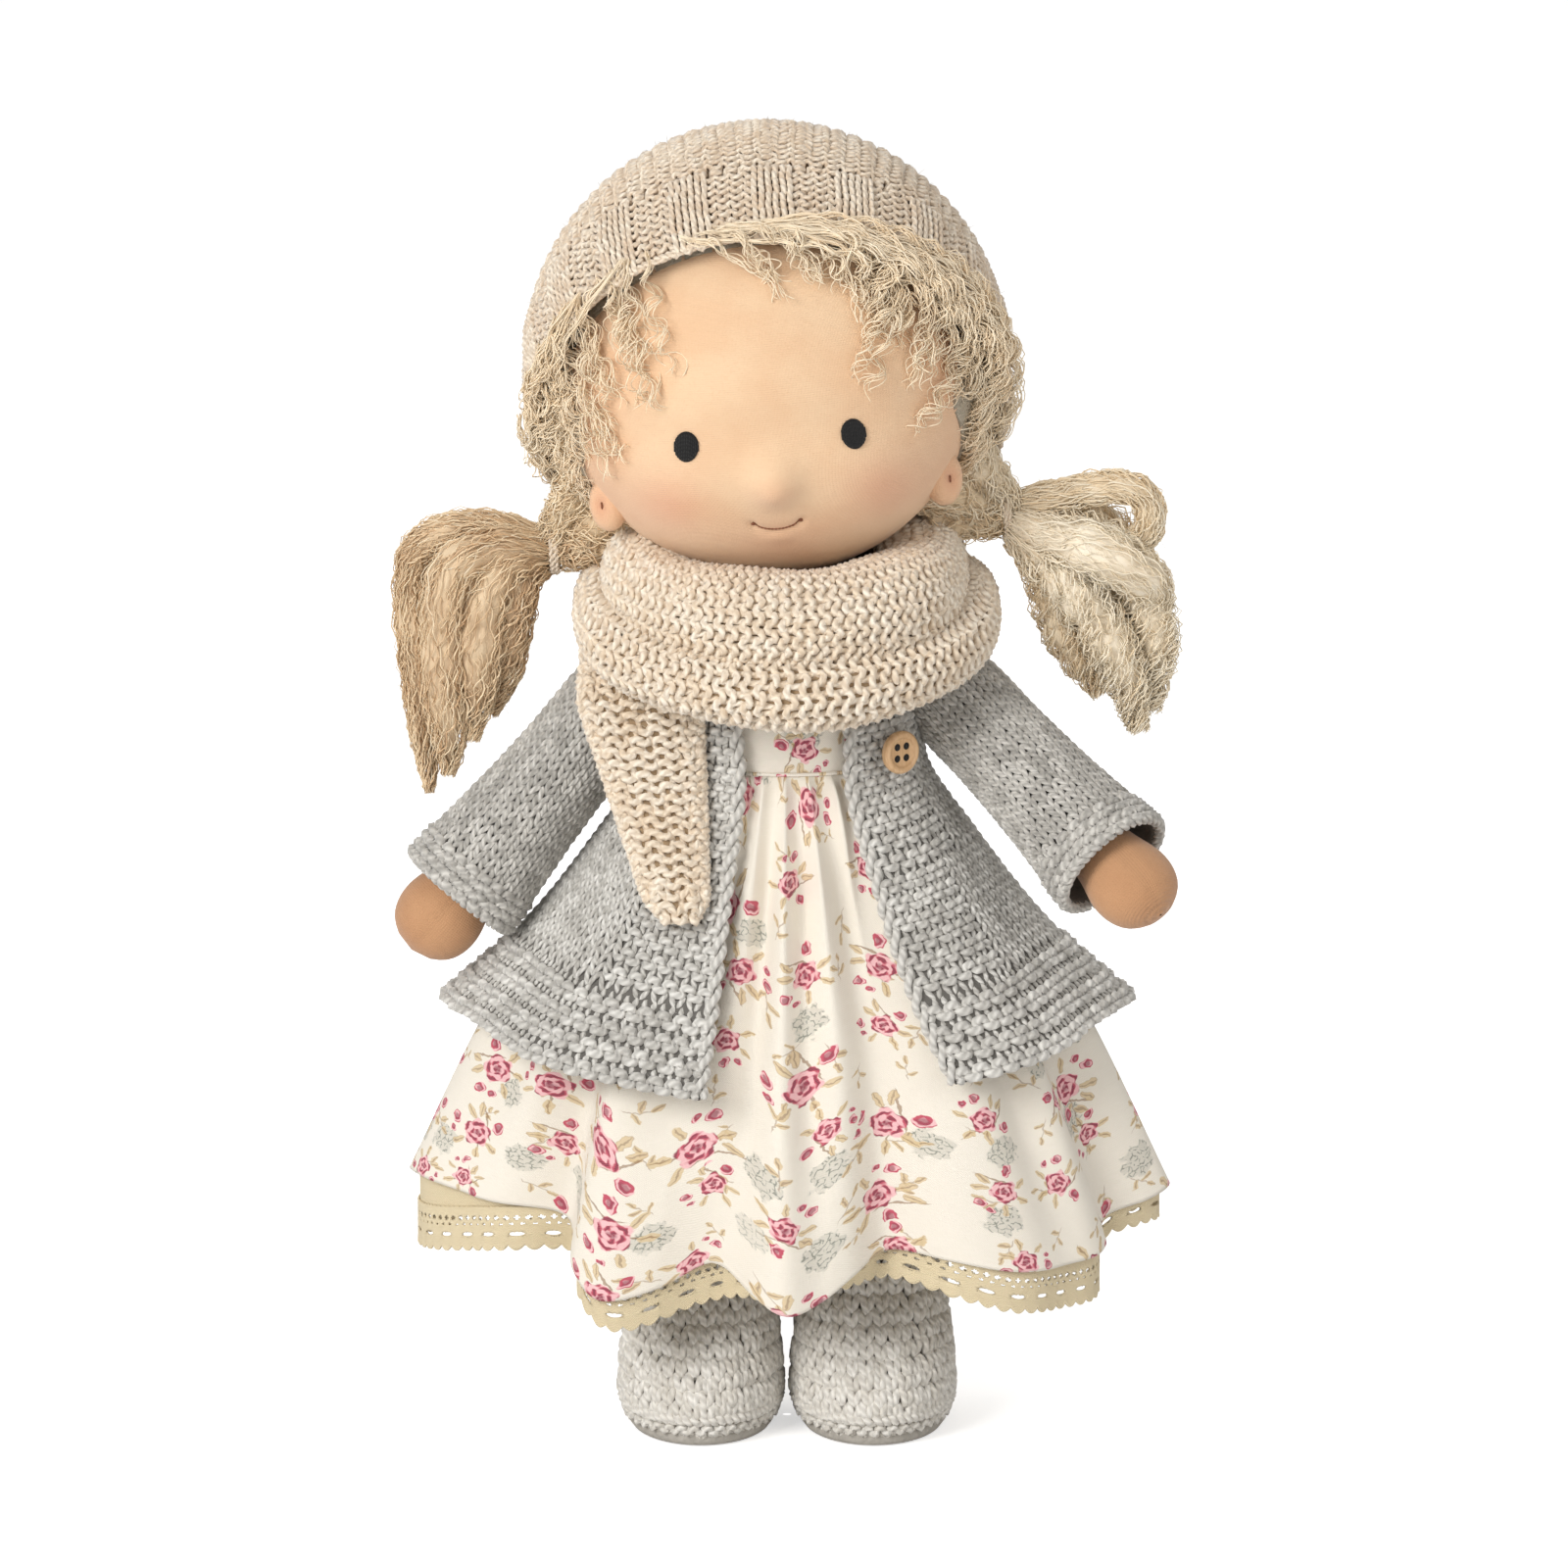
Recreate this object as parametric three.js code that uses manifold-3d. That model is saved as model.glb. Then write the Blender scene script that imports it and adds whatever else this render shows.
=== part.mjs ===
// A stuffed cloth doll in knitted clothes, in millimetres with +Z up and the face towards -Y.
// It stands on the floor at z = 0, with the origin between its boots.
// Left and right are the doll's own: its left side is +X.
import * as THREE from "three";
import { mergeVertices } from "three/addons/utils/BufferGeometryUtils.js";
import Module from "manifold-3d";

const wasm = await Module();
wasm.setup();

// Clearance between pieces that touch, more where round faces meet, and the thickness of each kind of sheet
const GAP = 0.35;
const FACET_EASE = 0.8;
const SKIN_THICKNESS = 1.6;
const COTTON_THICKNESS = 1.2;
const LINEN_THICKNESS = 1;
const LACE_THICKNESS = 0.8;
const KNIT_THICKNESS = 3;
const ELASTIC_THICKNESS = 1;

// Heights above the floor
const SOLE_THICKNESS = 4.8;
const BOOT_TOP = 46;
const HIP_HEIGHT = 108;
const WAIST_SEAM = 157;
const SHOULDER_HEIGHT = 174;
const COLLAR_HEIGHT = 185;
const NECK_HEIGHT = 190;

// Head: its ball, its tilt towards the right shoulder and its stub of a neck
const HEAD_WIDTH = 98;
const HEAD_DEPTH = 92;
const HEAD_HEIGHT = 98;
const HEAD_LIFT = 60;
const HEAD_FORWARD = 2;
const HEAD_TILT = 4.5;
const NECK_RADIUS = 12;
const NECK_SOCKET_DEPTH = 10;
const NECK_TIE_RADIUS = 0.9;

// Face, measured from the middle of the head, with its relief fading out towards the sides
const FACE_FADE = 0.6;
const NOSE_DROP = 20;
const NOSE_RISE = 4.5;
const NOSE_SPREAD = 5.5;
const CHEEK_OUT = 22;
const CHEEK_DROP = 22;
const CHEEK_RISE = 2;
const CHEEK_SPREAD = 13;
const EYE_LINE_DROP = 9;
const EYE_LINE_DIP = 1.2;
const EYE_LINE_SPREAD = 7;
const EYE_OUT = 19;
const EYE_DROP = 10.5;
const EYE_WIDTH = 5.7;
const EYE_HEIGHT = 7.2;
const EYE_DEPTH = 3;
const MOUTH_WIDTH = 12;
const MOUTH_DROP = 31;
const MOUTH_SAG = 1.8;
const MOUTH_THREAD_RADIUS = 0.4;
const EAR_WIDTH = 9;
const EAR_HEIGHT = 14;
const EAR_DEPTH = 8;
const EAR_AZIMUTH = 68;
const EAR_DROP = 30;

// Hair and hat: both are caps round an axis that leans back, with the face opening in front
const CAP_LEAN = 33;
const CAP_FULLNESS = 2.6;
const CAP_FULL_BETWEEN = [-0.3, 0.5];
const HAIR_THICKNESS = 2.6;
const HAIR_ROLL = 1.7;
const HAIR_EDGE = 0.8;
const HAIR_SHOW = 11;
// The roll's swell on its way from the hat (0) to its edge (1)
const HAIR_SWELL = [
  [0.12, 0.2],
  [0.4, 1],
  [0.75, 0.75],
];
const HAT_RIM = 106;
const HAT_NAPE_RISE = 38;
const HAT_NAPE_SHARPNESS = 4;
const TIE_OUT = 54;
const TIE_LIFT = 19;
const TIE_BACK = 8;
const LOCK_RADIUS = 5.5;
const LOCK_START_OUT = 37;
const LOCK_START_LIFT = 30;
const LOCK_ELBOW = 7;
const HAIR_TIE_RADIUS = 1.1;
const TUFT_DEPTH_SHARE = 0.72;
const TUFT_ROOT_LENGTH = 9;
// Each row of a tuft is its height over the neck, then its inner and outer reach from the middle
const RIGHT_TUFT = [
  [-39, 85, 87],
  [-27, 76, 89.5],
  [-11, 64, 90],
  [1, 59, 90],
  [12, 57, 90],
  [20, 58, 88.5],
  [29, 74, 82],
];
const LEFT_TUFT = [
  [-36, 77.5, 81.5],
  [-23, 64.5, 85.5],
  [-11, 59, 87.5],
  [-1, 57, 88.5],
  [9, 57, 89.5],
  [19, 64, 89.5],
  [28, 76.5, 85.5],
];

// Torso, with the swell of its outline from the bottom seam (0) to the neck (1)
const TORSO_WIDTH = 50;
const TORSO_DEPTH = 38;
const TORSO_SWELL = [
  [0, 0.78],
  [0.2, 0.97],
  [0.45, 0.95],
  [0.7, 1],
  [0.87, 0.95],
  [1, 0.7],
];

// Arms and sleeves: lengths run from the shoulder pivot, angles from hanging straight down
const SHOULDER_OUT = 36;
const ARM_LENGTH = 84;
const ARM_RADIUS = 8.6;
const WRIST_RADIUS = 7.6;
const HAND_RADIUS = 10.6;
const HAND_ARC = 40;
const SHOULDER_STUB_RADIUS = 7.2;
const STITCH_RADIUS = 0.5;
const SLEEVE_LENGTH = 65;
const SLEEVE_RADIUS = 12;
const CUFF_RADIUS = 14.4;
const ARM_POSES = {
  left: { side: 1, spread: 38, swing: 45 },
  right: { side: -1, spread: 39.5, swing: 5 },
};

// Legs and boots
const HIP_OUT = 14.5;
const FOOT_OUT = 20;
const THIGH_RADIUS = 13;
const KNEE_RADIUS = 11;
const ANKLE_RADIUS = 10.2;
const LEG_BOTTOM = 7;
const LEG_END_RADIUS = 7;
const FOOT_WIDTH = 24;
const FOOT_LENGTH = 42;
const FOOT_HEIGHT = 17;
const FOOT_FORWARD = 7;
const BOOT_WIDTH = 36;
const BOOT_TOE = 31.5;
const BOOT_HEEL = 21;
const BOOT_SHAFT_WIDTH = 31.6;
const BOOT_SHAFT_FRONT = 14.5;
const BOOT_SHAFT_BACK = 18;
const WELT_OVERHANG = 0.7;
// Each row is a share of the upper's height, then how far width, toe and heel have turned into the shaft
const BOOT_TAPER = [
  [0.12, 0, 0, 0],
  [0.3, 0.32, 0.16, 0.13],
  [0.48, 0.65, 0.55, 0.33],
  [0.68, 1, 0.9, 0.73],
  [1, 1, 1, 1],
];
// Each row is a share of the sole's thickness and how far its edge is drawn in there
const SOLE_EDGE = [
  [0, 2],
  [0.33, 0.3],
  [0.67, 0],
  [1, 0.8],
];

// Dress and petticoat: hems are higher at the sides, and folds deepen towards the hem
const SKIRT_HALF_WIDTH = 86;
const SKIRT_HALF_DEPTH = 51;
const SKIRT_HEM_FRONT = 38;
const SKIRT_HEM_SIDE = 55;
const SKIRT_FLARE = [
  [0, 0],
  [0.17, 0.21],
  [0.4, 0.48],
  [0.6, 0.71],
  [1, 1],
];
const FOLDS = 12;
const FOLD_DEPTH = 3.6;
const PETTICOAT_INSET = 1.6;
const PETTICOAT_TOP = 146;
const PETTICOAT_SHOW = 2;
const PETTICOAT_GATHER = 0.5;
const ELASTIC_HEIGHT = 5;
const LACE_HEIGHT = 8;
const LACE_SCALLOPS = 40;
const SCALLOP_DEPTH = 1.6;

// Cardigan: the front edges are angles from the middle of the front, at the collar and at the hem
const CARDIGAN_HALF_WIDTH = 79;
const CARDIGAN_HALF_DEPTH = 52;
const CARDIGAN_EASE = 2;
const CARDIGAN_EASE_SHARE = 0.3;
const CARDIGAN_HEM_FRONT = 86;
const CARDIGAN_HEM_SIDE = 100;
const CARDIGAN_FLARE = [
  [0, 0],
  [0.13, 0],
  [0.33, 0.02],
  [0.52, 0.235],
  [0.79, 0.6],
  [1, 1],
];
const CARDIGAN_FOLDS = 8;
const CARDIGAN_FOLD_DEPTH = 1.6;
const FRONT_EDGES = { left: [28, 30], right: [24, 15] };
const ARMHOLE_EASE = 1.2;

// Button of the left front: four holes sewn with two stitches over a thread shank
const BUTTON_RADIUS = 5;
const BUTTON_THICKNESS = 2.4;
const BUTTON_DISH = 0.7;
const BUTTON_RIM = 1.2;
const BUTTON_AZIMUTH = 48;
const BUTTON_DOWN = 0.25;
const BUTTON_HOLE_RADIUS = 0.8;
const BUTTON_HOLE_OUT = 1.35;
const BUTTON_THREAD_RADIUS = 0.42;
const BUTTON_SHANK_RADIUS = 2.4;
const BUTTON_SHANK = 0.7;

// Scarf: two turns round the neck, each given in front, at the sides and at the back, and a hanging end
const INNER_TURN = {
  reach: [38, 33, 34],
  height: [197, 198.5, 198],
  halfThickness: [11, 8.5, 8.5],
  halfHeight: [11.5, 8.5, 8.5],
};
const OUTER_TURN = {
  reach: [45, 46.5, 47],
  height: [177, 192, 193],
  halfThickness: [8, 4, 4.2],
  halfHeight: [8.5, 8, 8],
};
const SCARF_ENDS = [200, 880];
const SCARF_CROSSING = [510, 570];
const SCARF_TAPER = 0.03;
const SCARF_END_SHARE = 0.6;
const TAIL_TOP = 174;
const TAIL_TIP = 126;
const TAIL_TOP_OUT = 39;
const TAIL_TIP_OUT = 26;
const TAIL_TOP_WIDTH = 30;
const TAIL_TIP_WIDTH = 13;
const TAIL_THICKNESS = 6;

// Colours and roughness of the finishes
const FINISHES = {
  wool: [0xe8dcc6, 0.95],
  skin: [0xe6b98c, 0.85],
  thread: [0xd8c8b0, 0.8],
  eye: [0x1c1714, 0.7],
  mouth: [0xb5714f, 0.8],
  hair: [0xe6d8bc, 0.9],
  oatmeal: [0xc9b193, 0.95],
  print: [0xf3ece0, 0.85],
  linen: [0xe9dcc0, 0.9],
  lace: [0xece2ca, 0.9],
  grey: [0xa9a8a4, 0.95],
  button: [0xd9b68c, 0.6],
  elastic: [0xefece6, 0.7],
};

// Facets: sides go round a piece, rows and steps along it
const HEAD_SIDES = 24;
const HEAD_ROWS = 11;
const NECK_SIDES = 24;
const EAR_SIDES = 12;
const CAP_SIDES = 24;
const CAP_ROWS = 6;
const LOCK_SIDES = 12;
const TUFT_SIDES = 16;
const BODY_SIDES = 20;
const TORSO_ROWS = 10;
const BODICE_ROWS = 5;
const FOLD_SIDES = 4;
const SKIRT_ROWS = 5;
const PETTICOAT_ROWS = 4;
const CARDIGAN_ROWS = 9;
const CARDIGAN_COLUMNS = 7;
const ARMHOLE_SIDES = 20;
const BUTTON_SIDES = 20;
const HOLE_SIDES = 8;
const SCARF_STEPS = 42;
const SCARF_SIDES = 10;
const TAIL_ROWS = 8;
const TAIL_SIDES = 14;
const ARM_SIDES = 14;
const SLEEVE_SIDES = 18;
const HAND_ROWS = 7;
const CAP_ARC_ROWS = 4;
const LEG_SIDES = 12;
const BOOT_SIDES = 18;
const THREAD_SIDES = 6;
const THREAD_RING_SIDES = 20;
const MOUTH_STEPS = 10;

const DEGREE = Math.PI / 180;
const TURN = 2 * Math.PI;
const MERGE_DISTANCE = 1e-4;
const FAR = 200;
const MIDDLE = new THREE.Vector3();
const UP = new THREE.Vector3(0, 0, 1);

const mix = (a, b, t) => a + (b - a) * t;
const steps = (count) => Array.from({ length: count + 1 }, (_, i) => i / count);

// Numbers along a line of stations [place, value], smoothly joined
function along(stations, place) {
  const last = stations.length - 1;
  let i = 0;
  while (i < last - 1 && place > stations[i + 1][0]) i++;
  const [start, from] = stations[i];
  const [end, to] = stations[i + 1];
  const slope = (a, b) => (stations[b][1] - stations[a][1]) / (stations[b][0] - stations[a][0]);
  const leaving = slope(Math.max(i - 1, 0), i + 1) * (end - start);
  const arriving = slope(i, Math.min(i + 2, last)) * (end - start);
  const t = (place - start) / (end - start);
  const ease = t * t * (3 - 2 * t);
  return mix(from, to, ease) + leaving * t * (1 - t) ** 2 - arriving * t * t * (1 - t);
}

// A ring of points, from a function of the angle round it
const ring = (sides, place) => Array.from({ length: sides }, (_, i) => place((i / sides) * TURN));

// A closed BufferGeometry with its faces turned outwards
function closed(points, index) {
  const positions = points.flatMap((p) => [p.x, p.y, p.z]);
  let volume = 0;
  for (let i = 0; i < index.length; i += 3) {
    const [a, b, c] = [points[index[i]], points[index[i + 1]], points[index[i + 2]]];
    volume += a.dot(b.clone().cross(c));
  }
  if (volume < 0) index.reverse();
  const geometry = new THREE.BufferGeometry();
  geometry.setAttribute("position", new THREE.Float32BufferAttribute(positions, 3));
  geometry.setIndex(index);
  geometry.computeVertexNormals();
  return geometry;
}

// The surface through a list of equal rings. Its ends are "fan" caps, "strip" caps or joined in a "loop".
function loft(rings, ends = "fan") {
  const sides = rings[0].length;
  const points = rings.flat();
  const index = [];
  const spans = ends === "loop" ? rings.length : rings.length - 1;
  for (let i = 0; i < spans; i++) {
    const low = i * sides;
    const high = ((i + 1) % rings.length) * sides;
    for (let j = 0; j < sides; j++) {
      const k = (j + 1) % sides;
      index.push(low + j, low + k, high + k, low + j, high + k, high + j);
    }
  }
  const end = (rings.length - 1) * sides;
  if (ends === "fan") {
    for (const [start, flip] of [[0, true], [end, false]]) {
      const centre = points.length;
      const middle = new THREE.Vector3();
      for (let j = 0; j < sides; j++) middle.addScaledVector(points[start + j], 1 / sides);
      points.push(middle);
      for (let j = 0; j < sides; j++) {
        const pair = [start + j, start + ((j + 1) % sides)];
        index.push(centre, ...(flip ? pair.reverse() : pair));
      }
    }
  }
  if (ends === "strip") {
    for (let j = 0; j < sides / 2 - 1; j++) {
      const [a, b, c, d] = [j, j + 1, sides - 2 - j, sides - 1 - j];
      index.push(a, c, b, a, d, c);
      index.push(end + a, end + b, end + c, end + a, end + c, end + d);
    }
  }
  return closed(points, index);
}

// A sleeve of cloth, closed round: rows of outer rings and rows of inner rings joined at both rims
const shell = (outer, inner) => loft([...outer, ...inner.toReversed()], "loop");

// A panel of cloth, open at its sides: rows of outer points and rows of inner points
const panel = (outer, inner) => loft(outer.map((row, i) => [...row, ...inner[i].toReversed()]), "strip");

// Booleans on closed geometry
function solid(geometry) {
  const bare = geometry.clone();
  bare.deleteAttribute("normal");
  bare.deleteAttribute("uv");
  const merged = mergeVertices(bare, MERGE_DISTANCE);
  const vertProperties = new Float32Array(merged.attributes.position.array);
  const triVerts = new Uint32Array(merged.index.array);
  return new wasm.Manifold(new wasm.Mesh({ numProp: 3, vertProperties, triVerts }));
}

function geometryOf(body) {
  const mesh = body.getMesh();
  const geometry = new THREE.BufferGeometry();
  geometry.setAttribute("position", new THREE.Float32BufferAttribute(mesh.vertProperties, 3));
  geometry.setIndex(new THREE.Uint32BufferAttribute(mesh.triVerts, 1));
  geometry.computeVertexNormals();
  return geometry;
}

const cut = (geometry, ...tools) =>
  geometryOf(tools.reduce((body, tool) => body.subtract(solid(tool)), solid(geometry)));
const join = (geometry, ...others) =>
  geometryOf(others.reduce((body, other) => body.add(solid(other)), solid(geometry)));

// A round bar between two points
function bar(from, to, radius, sides = 16) {
  const length = from.distanceTo(to);
  const turn = new THREE.Quaternion().setFromUnitVectors(UP, to.clone().sub(from).normalize());
  return new THREE.CylinderGeometry(radius, radius, length, sides)
    .rotateX(Math.PI / 2)
    .applyQuaternion(turn)
    .translate(...from.clone().lerp(to, 0.5).toArray());
}

// A solid of revolution about +Z from points [radius, height]
const revolve = (profile, sides) =>
  new THREE.LatheGeometry(profile.map(([r, h]) => new THREE.Vector2(r, h)), sides).rotateX(Math.PI / 2);

// The points [radius, height] of an arc round a place on the axis
const arc = (radius, height, from, to, count) =>
  steps(count).map((t) => {
    const angle = mix(from, to, t) * DEGREE;
    return [Math.max(radius * Math.cos(angle), 0), height + radius * Math.sin(angle)];
  });

// A ring of thread about +Z, wound on a round piece
const threadRing = (inside, threadRadius) =>
  new THREE.TorusGeometry(inside + threadRadius, threadRadius, THREAD_SIDES, THREAD_RING_SIDES);

function add(group, name, geometry, finish) {
  const [color, roughness] = FINISHES[finish];
  const mesh = new THREE.Mesh(geometry, new THREE.MeshStandardMaterial({ color, roughness, metalness: 0 }));
  mesh.name = name;
  group.add(mesh);
}

// Head
const headCentre = new THREE.Vector3(0, -HEAD_FORWARD, HEAD_LIFT);

// The skin over the stuffed ball in a direction from its middle, raised by a distance along its normal
function headPoint(direction, lift) {
  const half = new THREE.Vector3(HEAD_WIDTH, HEAD_DEPTH, HEAD_HEIGHT).multiplyScalar(0.5);
  const p = direction.clone().multiply(half);
  const normal = direction.clone().divide(half).normalize();
  const front = THREE.MathUtils.smoothstep(-direction.y, 0, FACE_FADE);
  const bump = (out, drop, spread) =>
    Math.exp(-(((Math.abs(p.x) - out) / spread) ** 2) - ((p.z + drop) / spread) ** 2);
  const rise =
    NOSE_RISE * bump(0, NOSE_DROP, NOSE_SPREAD) +
    CHEEK_RISE * bump(CHEEK_OUT, CHEEK_DROP, CHEEK_SPREAD) -
    EYE_LINE_DIP * Math.exp(-(((p.z + EYE_LINE_DROP) / EYE_LINE_SPREAD) ** 2));
  return p.addScaledVector(normal, front * rise + lift).add(headCentre);
}

// A direction from an azimuth (0 in front, growing towards +X) and a climb from straight down
const headDirection = (azimuth, climb) =>
  new THREE.Vector3(
    Math.sin(climb) * Math.sin(azimuth),
    -Math.sin(climb) * Math.cos(azimuth),
    -Math.cos(climb),
  );

// Points crowd towards the face, where the nose and cheeks are
const CROWDING = 0.45;
const headRing = (climb, lift) =>
  ring(HEAD_SIDES, (turn) => headPoint(headDirection(turn - CROWDING * Math.sin(turn), climb), lift));

const POLE = 4 * DEGREE;
const neckOpening = Math.asin((2 * (NECK_RADIUS + GAP)) / Math.min(HEAD_WIDTH, HEAD_DEPTH));
const headRings = (lift) =>
  steps(HEAD_ROWS).map((t) => headRing(mix(neckOpening, Math.PI - POLE, t), lift));

// The direction from the middle of the head to a place on the face
function faceDirection(out, drop) {
  const x = (2 * out) / HEAD_WIDTH;
  const z = (-2 * drop) / HEAD_HEIGHT;
  return new THREE.Vector3(x, -Math.sqrt(Math.max(1 - x * x - z * z, 0)), z);
}

const head = new THREE.Group();
head.position.set(0, 0, NECK_HEIGHT);
head.rotation.y = -HEAD_TILT * DEGREE;

const neckBar = bar(
  new THREE.Vector3(0, 0, GAP - NECK_SOCKET_DEPTH),
  new THREE.Vector3(0, 0, HEAD_LIFT),
  NECK_RADIUS,
  NECK_SIDES,
);
const stuffing = loft(headRings(-SKIN_THICKNESS - GAP).toReversed());
add(head, "head_core", join(stuffing, neckBar), "wool");

const skinRings = [...headRings(-SKIN_THICKNESS).toReversed(), ...headRings(0)];
const neckHole = bar(MIDDLE, new THREE.Vector3(0, 0, HEAD_LIFT / 2), NECK_RADIUS + GAP, NECK_SIDES);
add(head, "head_skin", cut(loft(skinRings), neckHole), "skin");

const skinBottom = headPoint(headDirection(0, neckOpening), 0).z;
const neckTie = threadRing(NECK_RADIUS + GAP, NECK_TIE_RADIUS);
add(head, "neck_tie", neckTie.translate(0, 0, skinBottom - 2 * NECK_TIE_RADIUS), "thread");

const headSeat = loft(headRings(GAP));
for (const [name, side] of [["left", 1], ["right", -1]]) {
  const earLevel = Math.acos((2 * EAR_DROP) / HEAD_HEIGHT);
  const earPlace = headPoint(headDirection(side * EAR_AZIMUTH * DEGREE, earLevel), 0);
  const ear = new THREE.SphereGeometry(0.5, EAR_SIDES, EAR_SIDES / 2)
    .scale(EAR_WIDTH, EAR_DEPTH, EAR_HEIGHT)
    .translate(...earPlace.toArray());
  add(head, `${name}_ear`, cut(ear, headSeat), "skin");

  const gaze = faceDirection(side * EYE_OUT, EYE_DROP);
  const turn = new THREE.Quaternion().setFromUnitVectors(new THREE.Vector3(0, -1, 0), gaze);
  const eye = new THREE.SphereGeometry(0.5, EAR_SIDES, EAR_SIDES / 2)
    .scale(EYE_WIDTH, EYE_DEPTH, EYE_HEIGHT)
    .applyQuaternion(turn)
    .translate(...headPoint(gaze, 0).toArray());
  add(head, `${name}_eye`, cut(eye, headSeat), "eye");
}

const smile = new THREE.CatmullRomCurve3(
  steps(MOUTH_STEPS).map((t) => {
    const out = (t - 0.5) * MOUTH_WIDTH;
    const drop = MOUTH_DROP - MOUTH_SAG * (2 * t - 1) ** 2;
    return headPoint(faceDirection(out, drop), GAP + MOUTH_THREAD_RADIUS);
  }),
);
const threadSection = new THREE.Shape(
  ring(THREAD_SIDES, (a) =>
    new THREE.Vector2(Math.cos(a), Math.sin(a)).multiplyScalar(MOUTH_THREAD_RADIUS),
  ),
);
const mouth = new THREE.ExtrudeGeometry(threadSection, { steps: MOUTH_STEPS, extrudePath: smile });
add(head, "mouth_stitch", mouth, "mouth");

// Caps over the head: the angle round the leaning axis is 0 over the forehead, the other runs from its pole
const capAxis = new THREE.Vector3(0, Math.cos(CAP_LEAN * DEGREE), Math.sin(CAP_LEAN * DEGREE));
const capBrow = new THREE.Vector3(0, -Math.sin(CAP_LEAN * DEGREE), Math.cos(CAP_LEAN * DEGREE));
const capDirection = (turn, reach) =>
  capAxis
    .clone()
    .multiplyScalar(Math.cos(reach))
    .addScaledVector(capBrow, Math.sin(reach) * Math.cos(turn))
    .add(new THREE.Vector3(Math.sin(reach) * Math.sin(turn), 0, 0));

// A cap is round over the crown and fuller than the ball of the head below, where hair fills it
function capPoint(turn, reach, lift) {
  const d = capDirection(turn, reach);
  const fullness = mix(2, CAP_FULLNESS, THREE.MathUtils.smoothstep(-d.z, ...CAP_FULL_BETWEEN));
  const sum = d.toArray().reduce((total, part) => total + Math.abs(part) ** fullness, 0);
  const half = new THREE.Vector3(HEAD_WIDTH / 2 + lift, HEAD_DEPTH / 2 + lift, HEAD_HEIGHT / 2 + lift);
  return d.multiplyScalar(sum ** (-1 / fullness)).multiply(half).add(headCentre);
}

const hatRim = (turn) => {
  const nape = ((1 - Math.cos(turn)) / 2) ** HAT_NAPE_SHARPNESS;
  return (HAT_RIM - HAT_NAPE_RISE * nape) * DEGREE;
};
const hairSeat = GAP + FACET_EASE;
const hairLift = hairSeat + HAIR_THICKNESS;
const hatInside = hairLift + GAP;
const hatOutside = hatInside + KNIT_THICKNESS;

const capRow = (share, surface, past = 0) =>
  ring(CAP_SIDES, (turn) => surface(turn, mix(POLE, 1, share) * (hatRim(turn) + past)));
const hatRows = (lift, past) =>
  steps(CAP_ROWS).map((share) => capRow(share, (turn, reach) => capPoint(turn, reach, lift), past));
add(head, "knit_hat", loft([...hatRows(hatOutside), ...hatRows(hatInside).toReversed()]), "oatmeal");

// The hair follows the hat inside it, then swells into a roll round the face and thins to its edge
const hairUnderHat = steps(CAP_ROWS).map((share) =>
  capRow(share, (turn, reach) => capPoint(turn, reach, hairLift)),
);
const hairPast = (share, lift) =>
  ring(CAP_SIDES, (turn) => {
    const reach = hatRim(turn) + share * HAIR_SHOW * DEGREE;
    const fade = 1 - share;
    const roll = capPoint(turn, reach, hairLift + HAIR_ROLL * lift);
    const edge = headPoint(capDirection(turn, reach), hairSeat + HAIR_EDGE);
    return edge.lerp(roll, Math.sqrt(fade));
  });
const hairEdge = (lift) =>
  ring(CAP_SIDES, (turn) => headPoint(capDirection(turn, hatRim(turn) + HAIR_SHOW * DEGREE), lift));
const hairInside = steps(CAP_ROWS).map((share) =>
  capRow(share, (turn, reach) => headPoint(capDirection(turn, reach), hairSeat)),
);
const hairRings = [
  ...hairInside,
  hairEdge(hairSeat),
  hairEdge(hairSeat + HAIR_EDGE),
  ...HAIR_SWELL.toReversed().map(([share, lift]) => hairPast(share, lift)),
  ...hairUnderHat.toReversed(),
];
const lockBar = (side, grow = 0) =>
  bar(
    new THREE.Vector3(side * LOCK_START_OUT, TIE_BACK, LOCK_START_LIFT),
    new THREE.Vector3(side * (TIE_OUT - LOCK_ELBOW), TIE_BACK, TIE_LIFT),
    LOCK_RADIUS + grow,
    LOCK_SIDES,
  );
const lockEnd = (side, grow = 0) =>
  bar(
    new THREE.Vector3(side * (TIE_OUT - LOCK_ELBOW), TIE_BACK, TIE_LIFT),
    new THREE.Vector3(side * (TIE_OUT - GAP), TIE_BACK, TIE_LIFT),
    LOCK_RADIUS + grow,
    LOCK_SIDES,
  );
const tiePlane = (side) =>
  new THREE.BoxGeometry(FAR, FAR, FAR).translate(side * (TIE_OUT - GAP + FAR / 2), 0, 0);
const rimClear = (4 * GAP) / HEAD_WIDTH;
const hatSeat = loft([
  ...hatRows(hatInside - GAP, rimClear),
  ...hatRows(hatOutside + GAP, rimClear).toReversed(),
]);
const locks = [1, -1].map((side) =>
  cut(join(lockBar(side), lockEnd(side)), headSeat, hatSeat, tiePlane(side)),
);
add(head, "hair_cap", join(loft(hairRings), ...locks), "hair");

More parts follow.
